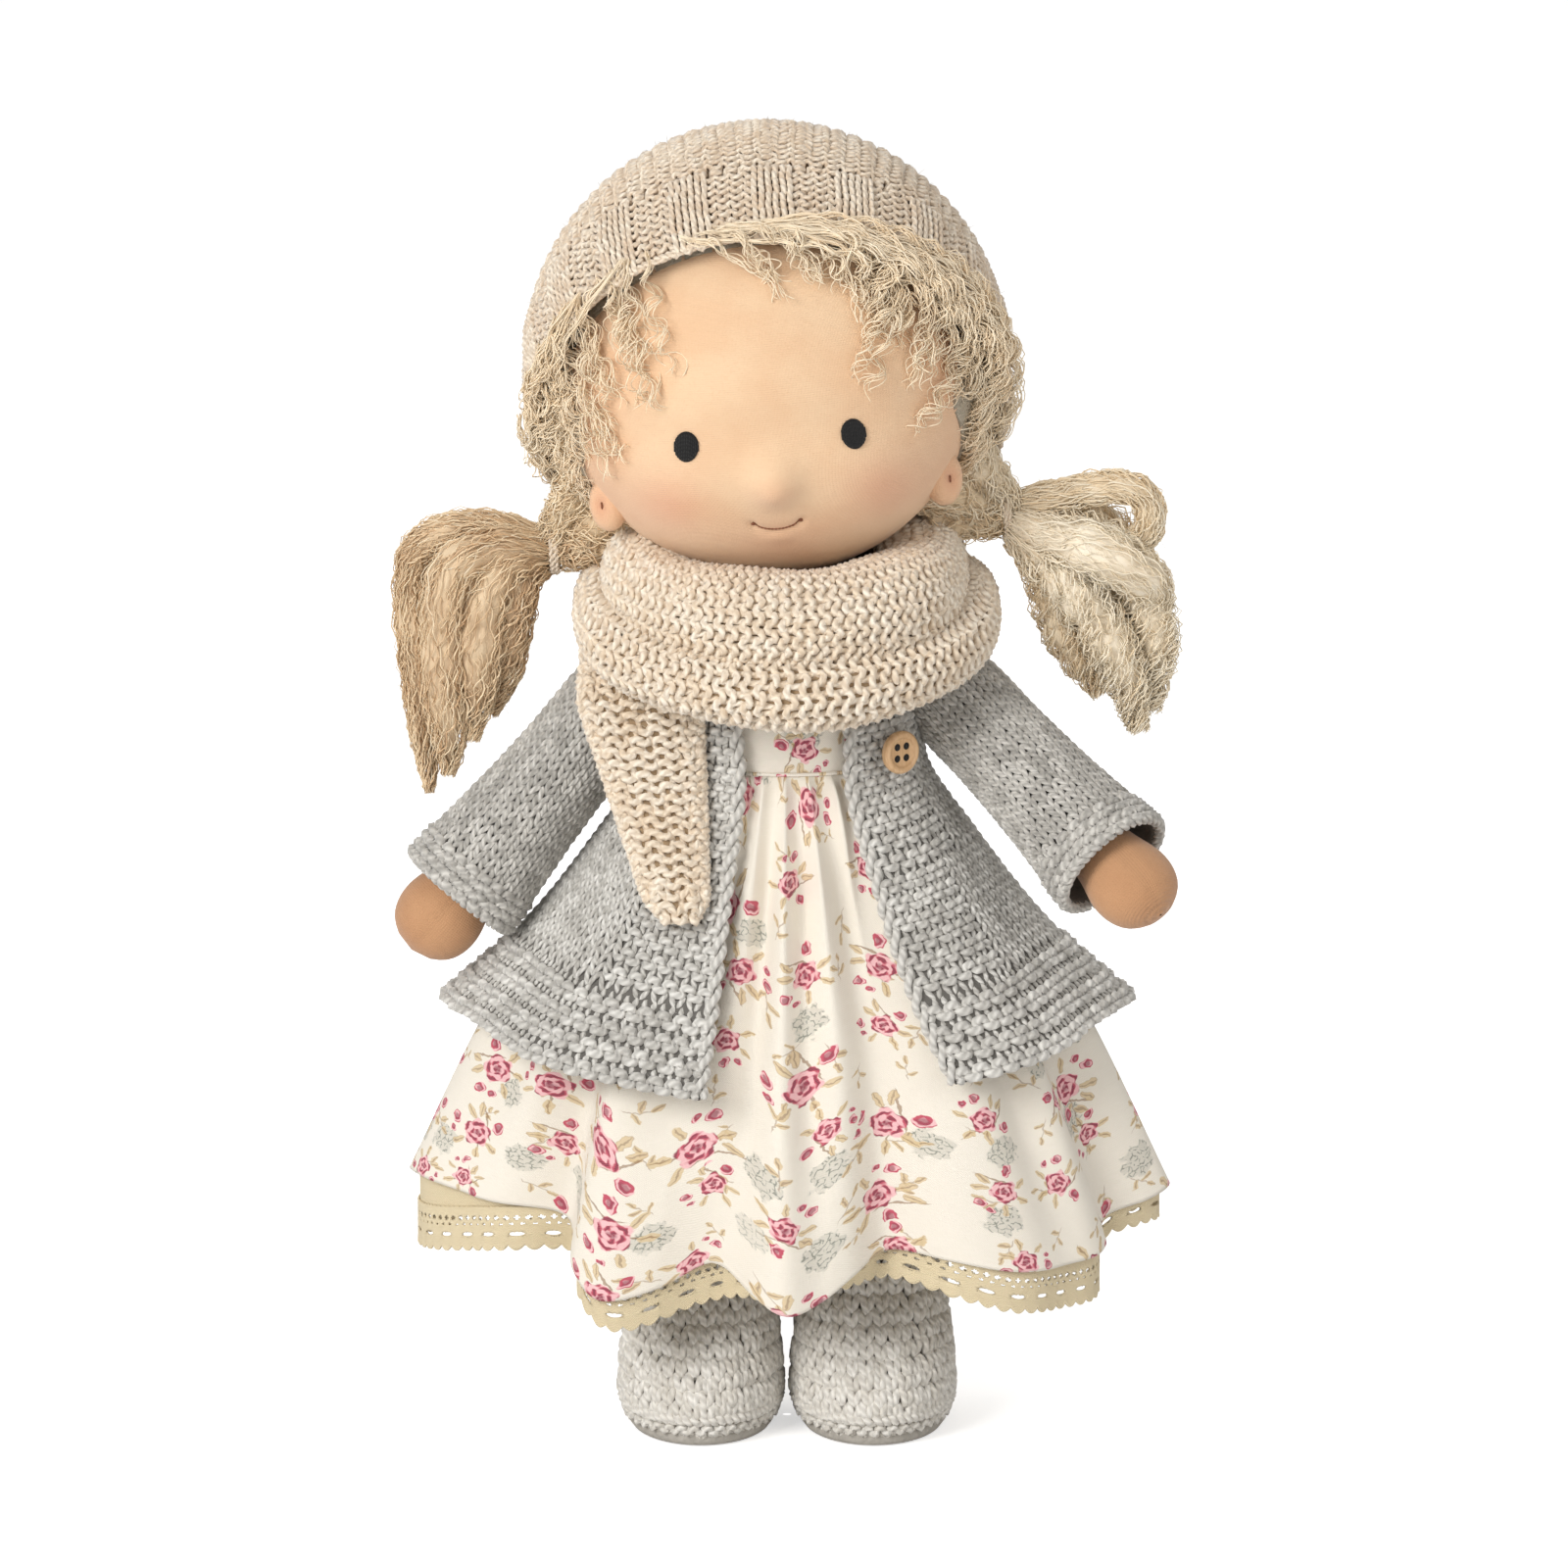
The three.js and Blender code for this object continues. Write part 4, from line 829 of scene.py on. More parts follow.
class MeshMaker:
    """Collects grids and tubes into one mesh, with a map for its colours and a map in millimetres."""

    def __init__(self) -> None:
        """Starts with no faces."""
        self.points: list[Array] = []
        self.quads: list[Array] = []
        self.layout: list[Array] = []
        self.flat: list[Array] = []
        self.tones: list[Array] = []
        self.slots: list[Array] = []
        self.count = 0

    def _add(self, points: Array, quads: Array, layout: Array, flat: Array, tone: Array, slot: int) -> None:
        """Keeps one chunk of faces."""
        self.points.append(points.reshape(-1, 3))
        self.quads.append(quads.reshape(-1, 4) + self.count)
        self.layout.append(layout.reshape(-1, 4, 2))
        self.flat.append(flat.reshape(-1, 4, 2))
        self.tones.append(np.broadcast_to(tone, points.shape[:-1]).reshape(-1))
        self.slots.append(np.full(quads.size // 4, slot))
        self.count += points.size // 3

    @staticmethod
    def _corners(values: Array) -> Array:
        """The values at the four corners of each cell of a grid, in the order of its face."""
        return np.stack([values[:-1, :-1], values[:-1, 1:], values[1:, 1:], values[1:, :-1]], 2)

    def grid(
        self,
        points: Array,
        around: bool = False,
        loop: bool = False,
        size: tuple[float, float] = (1.0, 1.0),
        tone: Any = 0.0,
        slot: int = 0,
        keep: Array | None = None,
        flat: Callable[[Array, Array], Array] | None = None,
    ) -> None:
        """Adds a sheet of faces.

        Args:
            points: Rows by columns by 3.
            around: Whether the last column meets the first.
            loop: Whether the last row meets the first.
            size: The flat width and height of the sheet in millimetres.
            tone: A number for each point.
            slot: The place of its material in the piece's list.
            keep: Which cells are faces, if not all of them.
            flat: The flat place of each share across and down, where it isn't a plain rectangle.
        """
        rows, columns = points.shape[:2]
        index = np.arange(rows * columns).reshape(rows, columns)
        if around:
            index = np.concatenate([index, index[:, :1]], 1)
        if loop:
            index = np.concatenate([index, index[:1]], 0)
        down, across = np.meshgrid(*(np.linspace(0, 1, n) for n in index.shape), indexing="ij")
        shares = np.stack([across, down], -1)
        place = self._corners(shares)
        cloth = self._corners(shares * np.array(size) if flat is None else flat(across, down))
        quads = self._corners(index[..., None])[..., 0]
        if keep is not None:
            place, cloth, quads = place[keep], cloth[keep], quads[keep]
        self._add(points, quads, place, cloth, tone, slot)

    def tubes(
        self,
        paths: Array,
        radius: Any,
        normals: Array | None = None,
        sides: int = 5,
        closed: bool = False,
        tone: Any = 0.0,
        slot: int = 0,
    ) -> None:
        """Adds round tubes along paths of equal length.

        Args:
            paths: Tubes by points by 3.
            radius: The tubes' radius, or one for each point.
            normals: A direction at each point that isn't along the path.
            sides: The faces round a tube.
            closed: Whether each path meets itself.
            tone: A number for each point of each path.
            slot: The place of its material in the piece's list.
        """
        tubes, count = paths.shape[:2]
        tangent = tangents(paths, closed)
        if normals is None:
            normals = carried(tangent)
        side = unit(np.cross(tangent, normals))
        front = np.cross(side, tangent)
        radius = np.broadcast_to(np.asarray(radius, float), (tubes, count)).copy()
        if not closed:
            radius[:, [0, -1]] *= 0.15
        angle = round_angles(sides)
        ring = front[:, :, None] * np.cos(angle)[:, None] + side[:, :, None] * np.sin(angle)[:, None]
        points = paths[:, :, None] + ring * radius[:, :, None, None]
        index = np.arange(tubes * count * sides).reshape(tubes, count, sides)
        index = np.concatenate([index, index[:, :, :1]], 2)
        if closed:
            index = np.concatenate([index, index[:, :1]], 1)
        spans = np.linalg.norm(np.diff(paths, axis=1, append=paths[:, :1]), axis=-1)
        length = np.concatenate([np.zeros((tubes, 1)), np.cumsum(spans, 1)], 1)[:, : index.shape[1]]
        across = int(math.ceil(math.sqrt(tubes)))
        down = int(math.ceil(tubes / across))
        number = np.arange(tubes)
        share = np.linspace(0.02, 0.98, index.shape[1])
        turn = np.linspace(0.04, 0.96, sides + 1)
        u = ((number % across)[:, None] + share) / across
        v = ((number // across)[:, None] + turn) / down
        layout = np.stack(np.broadcast_arrays(u[:, :, None], v[:, None, :]), -1)
        flat = np.stack(np.broadcast_arrays(length[:, :, None], np.linspace(0, 1, sides + 1)), -1)
        order = [np.s_[:, :-1, :-1], np.s_[:, :-1, 1:], np.s_[:, 1:, 1:], np.s_[:, 1:, :-1]]
        corners = [np.stack([part[o] for o in order], 3) for part in (layout, flat)]
        quads = np.stack([index[o] for o in order], 3)
        tone = np.broadcast_to(np.asarray(tone, float), (tubes, count))
        self._add(points, quads, corners[0], corners[1], np.repeat(tone[:, :, None], sides, 2), slot)

    def make(self, name: str, *materials: Material) -> Piece:
        """Turns what was collected into a piece.

        Args:
            name: The piece's name.
            materials: Its materials, in the order of the slots.

        Returns:
            The new object.
        """
        used, quads = np.unique(np.concatenate(self.quads), return_inverse=True)
        points, quads = np.concatenate(self.points)[used], quads.reshape(-1, 4)
        mesh = bpy.data.meshes.new(name)
        mesh.vertices.add(len(points))
        mesh.vertices.foreach_set("co", (points * MM).ravel())
        mesh.loops.add(quads.size)
        mesh.loops.foreach_set("vertex_index", quads.ravel())
        mesh.polygons.add(len(quads))
        mesh.polygons.foreach_set("loop_start", np.arange(0, quads.size, 4))
        mesh.polygons.foreach_set("material_index", np.concatenate(self.slots))
        mesh.polygons.foreach_set("use_smooth", np.ones(len(quads), bool))
        shares = np.array([len(chunk) for chunk in self.layout], float)
        tops = np.concatenate([[0], np.cumsum(shares / shares.sum())])
        bands = [chunk * [1, high - low] + [0, low] for chunk, low, high in zip(self.layout, tops, tops[1:])]
        for title, map_points in (("OFBake", bands), ("cloth", self.flat)):
            mesh.uv_layers.new(name=title).uv.foreach_set("vector", np.concatenate(map_points).ravel())
        tones = mesh.attributes.new("tone", "FLOAT", "POINT").data
        tones.foreach_set("value", np.concatenate(self.tones)[used])
        mesh.update(calc_edges=True)
        for material in materials:
            mesh.materials.append(material)
        piece = bpy.data.objects.new(name, mesh)
        bpy.context.scene.collection.objects.link(piece)
        return piece


def shell(name: str, material: Material, points: Array, around: bool = True, **options: Any) -> Piece:
    """Makes a piece of one grid.

    Args:
        name: The piece's name.
        material: Its material.
        points: Rows by columns by 3.
        around: Whether the last column meets the first.
        options: What else the grid takes.

    Returns:
        The new object.
    """
    maker = MeshMaker()
    maker.grid(points, around, **options)
    return maker.make(name, material)


def tangents(paths: Array, closed: bool = False) -> Array:
    """The directions along paths of points.

    Args:
        paths: Tubes by points by 3.
        closed: Whether each path meets itself.

    Returns:
        Unit vectors of the same shape.
    """
    if closed:
        return unit(np.roll(paths, -1, 1) - np.roll(paths, 1, 1))
    return unit(np.gradient(paths, axis=1))


def carried(tangent: Array) -> Array:
    """Directions across paths, carried along them without twisting."""
    start = np.where(np.abs(tangent[:, :1, 2:]) < 0.9, [[[0.0, 0.0, 1.0]]], [[[1.0, 0.0, 0.0]]])
    normal = unit(start[:, 0] - tangent[:, 0] * (start[:, 0] * tangent[:, 0]).sum(-1, keepdims=True))
    found = [normal]
    for i in range(1, tangent.shape[1]):
        normal = unit(normal - tangent[:, i] * (normal * tangent[:, i]).sum(-1, keepdims=True))
        found.append(normal)
    return np.stack(found, 1)


def curled(paths: Array, size: Any, pitch: Any, start: Array, root: float = 0.25) -> Array:
    """Winds strands into loose curls.

    Args:
        paths: Strands by points by 3.
        size: Each strand's curl radius at its tip.
        pitch: Each strand's length for one curl.
        start: Each strand's share of a turn at its root.
        root: The share of the strand over which the curl grows.

    Returns:
        The curled strands.
    """
    count = len(paths)
    tangent = tangents(paths)
    normal = carried(tangent)
    side = np.cross(tangent, normal)
    spans = np.linalg.norm(np.diff(paths, axis=1, prepend=paths[:, :1]), axis=-1)
    phase = np.cumsum(spans, 1) / np.broadcast_to(pitch, (count,))[:, None] + start[:, None]
    grow = smooth(np.linspace(0, 1, paths.shape[1]), 0, root) * np.broadcast_to(size, (count,))[:, None]
    wind = normal * np.cos(phase * TURN)[..., None] + side * np.sin(phase * TURN)[..., None]
    return paths + wind * grow[..., None]


def spline(points: Array, count: int) -> Array:
    """Smooth paths through a few points each.

    Args:
        points: Paths by points by 3.
        count: How many points each smooth path gets.

    Returns:
        Paths by count by 3.
    """
    last = points.shape[1] - 1
    at = np.linspace(0, last, count)
    i = np.clip(at.astype(int), 0, last - 1)
    t = (at - i)[:, None]
    slope = np.gradient(points, axis=1)
    ease = t * t * (3 - 2 * t)
    ends = slope[:, i] * t * (1 - t) ** 2 - slope[:, i + 1] * t * t * (1 - t)
    return mix(points[:, i], points[:, i + 1], ease) + ends


def fuzz(
    maker: MeshMaker,
    roots: Array,
    normals: Array,
    length: float,
    random: Random,
    tone: float = 0.8,
) -> None:
    """Adds fine stray fibres that stand off a surface.

    Args:
        maker: Takes the fibres.
        roots: Where they start.
        normals: The surface's normals there.
        length: The longest fibre.
        random: The source of their ways.
        tone: How pale they are.
    """
    count = len(roots)
    lean = unit(normals * 0.7 + random.normal(0, 0.6, (count, 3)))[:, None]
    bend = random.normal(0, 0.45, (count, 1, 3))
    t = np.linspace(0, 1, 4)[:, None]
    paths = roots[:, None] + length * random.uniform(0.35, 1, (count, 1, 1)) * (lean * t + bend * t * t)
    maker.tubes(paths, FIBRE, sides=3, tone=tone)


def fuzzy(maker: MeshMaker, surface: Surface, count: int, length: float, random: Random) -> None:
    """Adds stray fibres all over a surface."""
    roots, normals = surface.frame(random.random(count), random.random(count))
    fuzz(maker, roots, normals, length, random)


@dataclass(frozen=True)
class Stitch:
    """One knitted loop: its size, its yarn's radius and how it leans and overlaps the next row."""

    width: float
    height: float
    yarn: float
    overlap: float = 1.7
    purl_overlap: float = 1.5
    lean: float = 0.12
    purl_lean: float = 0.12
    purl_size: float = 1.0
    depth: float = 0.75
    wobble: float = 0.05
    steps: int = 12
    sides: int = 5


def purl(row: int, column: Array, count: int) -> Array:
    """Every stitch shows its bump."""
    return np.full(column.shape, -1.0)


def plain(row: int, column: Array, count: int) -> Array:
    """Every stitch shows its two legs."""
    return np.full(column.shape, 1.0)


def knit(
    maker: MeshMaker,
    surface: Surface,
    stitch: Stitch,
    rows: int,
    count: Count,
    pattern: Pattern,
    random: Random,
    closed: bool = True,
    relief: Pattern | None = None,
) -> None:
    """Knits rows of loops over a surface, each row one unbroken yarn.

    Args:
        maker: Takes the yarns.
        surface: The sheet that the loops lie on, with its rows running across.
        stitch: The loop.
        rows: How many rows fill the sheet.
        count: The stitches of each row.
        pattern: Which stitches are plain (1) and which are purl (-1).
        random: The source of the hand's unevenness.
        closed: Whether the rows go round.
        relief: How far each stitch stands out, in yarn radii.
    """
    for row in range(rows):
        stitches = count(row)
        place = np.arange(stitches * stitch.steps + (not closed)) / stitch.steps
        column = np.minimum(place.astype(int), stitches - 1)
        loop = place - column
        uneven = random.normal(0, stitch.wobble, (3, stitches + 1))
        if closed:
            uneven[:, -1] = uneven[:, 0]
        bend = mix(uneven[:, column], uneven[:, column + 1], loop)
        face = pattern(row, column, stitches)
        lean = np.where(face < 0, stitch.purl_lean, stitch.lean)
        overlap = np.where(face < 0, stitch.purl_overlap, stitch.overlap)
        u = (place + lean * np.sin(2 * TURN * loop) + bend[0]) / stitches
        v = (row + 0.5 + overlap / 2 * np.cos(TURN * loop) + bend[1]) / rows
        out = -face * stitch.depth * np.cos(2 * TURN * loop) + bend[2]
        if relief is not None:
            out = out + relief(row, column, stitches)
        if not closed:
            u = np.clip(u, 0, 1)
        point, normal = surface.frame(u, v)
        path = point + normal * (out * stitch.yarn)[:, None]
        tone = random.random(stitches)[column]
        radius = stitch.yarn * np.where(face < 0, stitch.purl_size, 1.0)
        maker.tubes(path[None], radius[None], normal[None], stitch.sides, closed, tone[None])


def twisted(
    maker: MeshMaker, path: Array, radius: float, pitch: float, closed: bool = False
) -> None:
    """Adds a cord of two strands wound round a path.

    Args:
        maker: Takes the strands.
        path: Points by 3, close together.
        radius: The radius of one strand.
        pitch: The length of one turn.
        closed: Whether the path meets itself.
    """
    line = path[None]
    tangent = tangents(line, closed)
    normal = carried(tangent)
    side = np.cross(tangent, normal)
    spans = np.linalg.norm(np.diff(path, axis=0, prepend=path[:1]), axis=-1)
    length = np.cumsum(spans)
    turns = max(round(length[-1] / pitch), 1) if closed else length[-1] / pitch
    phase = length / length[-1] * turns
    for start in (0.0, 0.5):
        angle = ((phase + start) * TURN)[None, :, None]
        wound = line + radius * (normal * np.cos(angle) + side * np.sin(angle))
        maker.tubes(wound, radius, sides=6, closed=closed, tone=0.6)


def count_for(surface: Surface, width: float, rows: int, multiple: int = 1) -> Count:
    """How many stitches of a width fit on each row of a surface.

    Args:
        surface: The sheet that is knitted.
        width: The stitch's width.
        rows: How many rows fill the sheet.
        multiple: The count is a multiple of this.

    Returns:
        A function from the row to its count.
    """
    u, v = np.meshgrid(np.linspace(0, 1, 161), (np.arange(rows) + 0.5) / rows)
    lengths = np.linalg.norm(np.diff(surface.place(u, v), axis=1), axis=-1).sum(1)
    return lambda row: max(multiple * round(lengths[min(row, rows - 1)] / width / multiple), multiple)


def stepped(count: Count, every: int) -> Count:
    """The same counts, changed only every few rows so that the columns between stay in line."""
    return lambda row: count(row - row % every + every // 2)


def dress(piece: Piece, body: Body, slot: Slot, *nodes: str) -> Piece:
    """Fixes a piece to a body.

    Args:
        piece: The piece, in its place.
        body: The body that carries it.
        slot: The record's slot of its finish. Not used.
        nodes: The solids that it stands for.

    Returns:
        The piece.
    """
    if nodes:
        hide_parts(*nodes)
    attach(piece, body.value)
    LOG.info("%s: %d faces on %s", piece.name, len(piece.data.polygons), body.value)
    return piece


def sit(piece: Piece, slot: Slot, *nodes: str) -> Piece:
    """Keeps a piece on no body, with its place baked into its points.

    Args:
        piece: The piece, in its place.
        slot: The record's slot of its finish. Not used.
        nodes: The solids that it stands for.

    Returns:
        The piece.
    """
    if nodes:
        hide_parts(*nodes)
    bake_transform(piece)
    LOG.info("%s: %d faces over the lap", piece.name, len(piece.data.polygons))
    return piece


def thicken(piece: Piece, thickness: float) -> None:
    """Gives an open sheet its thickness, in millimetres, on its inner side."""
    body = piece.modifiers.new("cloth", "SOLIDIFY")
    body.thickness = thickness * MM
    body.offset = -1.0


def declare_sheet(
    piece: Piece, surface: Surface, held: str, rests_on: list[str], *others: Piece
) -> None:
    """Measures the flat size and the area of a sheet's middle surface, and keeps neither.

    Args:
        piece: The sheet. Not used.
        surface: Its middle surface.
        held: How the sheet is held. Not used.
        rests_on: What it lies on. Not used.
        others: The yarn and trimmings on it. Not used.
    """
    points = surface.grid(121, 61, closed=False)
    across = np.linalg.norm(np.diff(points, axis=1), axis=-1).sum(1).max()
    down = np.linalg.norm(np.diff(points, axis=0), axis=-1).sum(0).max()
    a, b = points[1:, :-1] - points[:-1, :-1], points[:-1, 1:] - points[:-1, :-1]
    area = np.linalg.norm(np.cross(a, b), axis=-1).sum()
    area = float(np.clip(area, LEAST_AREA * across * down, across * down))


@dataclass(frozen=True)
class HeadShape:
    """The stuffed head, which the face, the hair and the hat share."""

    width: float = 98
    depth: float = 92
    height: float = 98
    lift: float = 60
    forward: float = 2
    tilt: float = 4.5
    neck_height: float = 190
    neck_radius: float = 12
    cap_lean: float = 33
    cap_fullness: float = 2.6
    hat_rim: float = 106
    nape_rise: float = 38
    nape_sharpness: float = 4
    nose: Triple = (20, 5.0, 5.4)
    cheek: tuple[float, float, float, float] = (22, 22, 2, 13)
    eye_line: Triple = (9, 1.2, 7)
    mouth: Triple = (11, 32.4, 1.5)

    @property
    def half(self) -> Array:
        """Half the head's size."""
        return np.array([self.width, self.depth, self.height]) / 2

    @property
    def centre(self) -> Array:
        """The middle of the head over its neck."""
        return np.array([0.0, -self.forward, self.lift])

    def to_doll(self, points: Array) -> Array:
        """Points of the head's own frame, tilted and set on the neck."""
        return turned(points, turn_about(1, -self.tilt)) + [0, 0, self.neck_height]

    def relief(self, place: Array) -> Array:
        """How far the face stands out at places measured from the middle of the head."""
        out, down = np.abs(place[..., 0]), -place[..., 2]
        drop, rise, spread = self.nose
        nose = rise * np.exp(-((out / spread) ** 2) - ((down - drop) / spread) ** 2)
        cheek_out, cheek_drop, cheek_rise, cheek_spread = self.cheek
        cheek = cheek_rise * np.exp(-(((out - cheek_out) ** 2 + (down - cheek_drop) ** 2) / cheek_spread**2))
        line_drop, dip, line_spread = self.eye_line
        line = dip * np.exp(-(((down - line_drop) / line_spread) ** 2))
        width, mouth_drop, sag = self.mouth
        bow = mouth_drop - sag * (2 * out / width) ** 2
        crease = 0.45 * np.exp(-(((down - bow) / 0.9) ** 2)) * smooth(width / 2 + 1 - out, 0, 2)
        dents = 0.9 * np.exp(-(((out - width / 2) / 1.1) ** 2 + ((down - bow) / 1.1) ** 2))
        lip = 0.5 * np.exp(-((out / 3.5) ** 2) - ((down - mouth_drop - 2.2) / 1.6) ** 2)
        return nose + cheek - line - crease - dents + lip

    def skin(self, direction: Array, lift: Any = 0.0) -> Array:
        """The skin in directions from the middle of the head, in the head's own frame.

        Args:
            direction: Unit vectors.
            lift: The distance from the skin along its normal.

        Returns:
            The points.
        """
        place = direction * self.half
        normal = unit(direction / self.half)
        rise = smooth(-direction[..., 1], 0, 0.6) * self.relief(place) + lift
        return place + normal * rise[..., None] + self.centre

    def toward(self, azimuth: Any, climb: Any) -> Array:
        """Directions from an azimuth (0 in front, growing to +X) and a climb from straight down."""
        return stack(np.sin(climb) * np.sin(azimuth), -np.sin(climb) * np.cos(azimuth), -np.cos(climb))

    def on_face(self, out: Any, drop: Any) -> Array:
        """Directions to places on the face, measured from the middle of the head."""
        x, z = 2 * np.asarray(out) / self.width, -2 * np.asarray(drop) / self.height
        return stack(x, -np.sqrt(np.maximum(1 - x * x - z * z, 0)), z)

    def rim(self, turn: Any) -> Any:
        """The angle from the cap's pole to the hat's rim."""
        nape = ((1 - np.cos(turn)) / 2) ** self.nape_sharpness
        return np.radians(self.hat_rim - self.nape_rise * nape)

    def cap_direction(self, turn: Any, reach: Any) -> Array:
        """Directions round the leaning axis of the cap; a turn of 0 is over the forehead."""
        lean = math.radians(self.cap_lean)
        along_axis, brow = np.cos(reach), np.sin(reach) * np.cos(turn)
        side = np.sin(reach) * np.sin(turn)
        c, s = math.cos(lean), math.sin(lean)
        return stack(side, along_axis * c - brow * s, along_axis * s + brow * c)

    def cap(self, turn: Any, reach: Any, lift: Any) -> Array:
        """The round cap over the head, fuller low down where hair fills it.

        Args:
            turn: The angle round the cap's axis.
            reach: The angle from its pole.
            lift: The distance from the head.

        Returns:
            The points in the head's own frame.
        """
        d = self.cap_direction(turn, reach)
        fullness = mix(2, self.cap_fullness, smooth(-d[..., 2], -0.3, 0.5))[..., None]
        size = (np.abs(d) ** fullness).sum(-1, keepdims=True) ** (-1 / fullness)
        return d * size * (self.half + np.asarray(lift)[..., None]) + self.centre


@dataclass
class Face:
    """The head's skin with its ears, embroidered eyes and smile."""

    head: HeadShape
    skin_thickness: float = 1.6
    columns: int = 220
    rows: int = 130
    eye_out: float = 19
    eye_drop: float = 10.5
    eye_size: tuple[float, float] = (5.5, 6.9)
    eye_threads: int = 15
    tie_radius: float = 13.3
    ear_place: tuple[float, float] = (71, 27.5)
    ear_size: Triple = (9, 8, 13)

    def build(self, finish: Finishes) -> None:
        """Makes the head's pieces and fixes them to the head."""
        self.build_skin(finish)
        self.build_neck(finish)
        self.build_mouth(finish)
        for side in Side:
            self.build_eye(finish, side)
            self.build_ear(finish, side)

    def blush(self, points: Array) -> Array:
        """Rosy cheeks, a touch on the nose and round the mouth, at points of the head's own frame."""
        p = points - self.head.centre
        out, down = np.abs(p[..., 0]), -p[..., 2]
        front = smooth(-p[..., 1], 8, 24)
        cheeks = 0.45 * np.exp(-(((out - 25) / 9) ** 2 + ((down - 25) / 8) ** 2))
        nose = 0.22 * np.exp(-((out / 5) ** 2 + ((down - 23) / 4) ** 2))
        chin = 0.25 * np.exp(-((out / 13) ** 2 + ((down - 35) / 6) ** 2))
        temples = 0.16 * smooth(out, 26, 44)
        return front * (cheeks + nose + chin) + temples

    def build_skin(self, finish: Finishes) -> None:
        """The skin over the stuffed ball, closed at the neck."""
        start = math.asin(2 * self.head.neck_radius / self.head.depth)
        climb = np.linspace(start, math.pi - 0.01, self.rows)[:, None]
        turn = round_angles(self.columns)
        outer = self.head.skin(self.head.toward(turn - 0.45 * np.sin(turn), climb))
        inner = self.head.skin(self.head.toward(turn, climb[[0]]), -self.skin_thickness)
        points = np.concatenate([inner, outer])
        blush = self.blush(points)
        piece = shell("face_skin", finish["skin"], self.head.to_doll(points), size=(300, 150), tone=blush)
        dress(piece, Body.HEAD, Slot.SKIN, "head_skin")

    def build_neck(self, finish: Finishes) -> None:
        """The tied neck under the head, with its thread."""
        heights = np.linspace(-9.6, 18, 18)[:, None]
        turn = round_angles(40)
        pinch = self.head.neck_radius * (1 - 0.06 * np.cos(14 * turn) * smooth(heights, 4, 14))
        rings = oval(pinch, pinch, turn, heights)
        rings = np.concatenate([rings[:1] * [0.02, 0.02, 1], rings])
        stump = shell("neck_stump", finish["calico"], self.head.to_doll(rings), size=(75, 28))
        dress(stump, Body.HEAD, Slot.STUFFING, "head_core")
        maker = MeshMaker()
        turn = round_angles(120)
        low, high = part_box("neck_tie")
        level = (low.z + high.z) / 2 / MM - self.head.neck_height
        ring = oval(self.tie_radius, self.tie_radius, turn, level)
        twisted(maker, self.head.to_doll(ring), radius=0.45, pitch=3.0, closed=True)
        dress(maker.make("neck_thread", finish["thread"]), Body.HEAD, Slot.THREAD, "neck_tie")

    def build_eye(self, finish: Finishes, side: Side) -> None:
        """An oval eye in satin stitch: threads side by side over a padded oval."""
        width, height = self.eye_size
        across = (np.arange(self.eye_threads) + 0.5) / self.eye_threads * 2 - 1
        reach = np.sqrt(1 - across**2)
        down = np.linspace(-1, 1, 12)
        out = side.value * self.eye_out + across[:, None] * width / 2 + 0 * down
        drop = self.eye_drop + reach[:, None] * down * height / 2
        dome = np.maximum(1 - across[:, None] ** 2 - (reach[:, None] * down) ** 2, 0)
        puff = 0.25 + 0.55 * np.sqrt(dome)
        paths = self.head.to_doll(self.head.skin(self.head.on_face(out, drop), puff))
        maker = MeshMaker()
        maker.tubes(paths, width / self.eye_threads * 0.62, sides=6)
        pad_turn = round_angles(28)
        pad_share = np.linspace(1, 0.02, 7)[:, None]
        pad_out = side.value * self.eye_out + pad_share * np.sin(pad_turn) * width / 2
        pad_drop = self.eye_drop + pad_share * np.cos(pad_turn) * height / 2
        pad_puff = 0.1 + 0.5 * np.sqrt(1 - pad_share**2 * 0.99)
        pad = self.head.skin(self.head.on_face(pad_out, pad_drop), pad_puff)
        maker.grid(self.head.to_doll(pad), around=True, size=(20, 4))
        piece = maker.make(f"{side.word}_eye_stitches", finish["eye"])
        dress(piece, Body.HEAD, Slot.EYE, f"{side.word}_eye")

    def build_mouth(self, finish: Finishes) -> None:
        """The smile: a fine stitched line between two small knots in the corners."""
        width, drop, sag = self.head.mouth
        t = np.linspace(-1, 1, 40)
        line = self.head.skin(self.head.on_face(t * width / 2, drop - sag * t * t), 0.22)
        maker = MeshMaker()
        twisted(maker, self.head.to_doll(line), radius=0.11, pitch=1.6)
        turn = round_angles(10)
        ring = np.linspace(0.05, math.pi - 0.05, 7)[:, None]
        knot = 0.6 * stack(np.sin(ring) * np.sin(turn), np.cos(ring), np.sin(ring) * np.cos(turn))
        for end in (-1, 1):
            place = self.head.skin(self.head.on_face(end * width / 2, drop - sag), 0.15)
            maker.grid(self.head.to_doll(knot + place), around=True, size=(3, 2))
        dress(maker.make("smile_stitch", finish["mouth"]), Body.HEAD, Slot.MOUTH, "mouth_stitch")

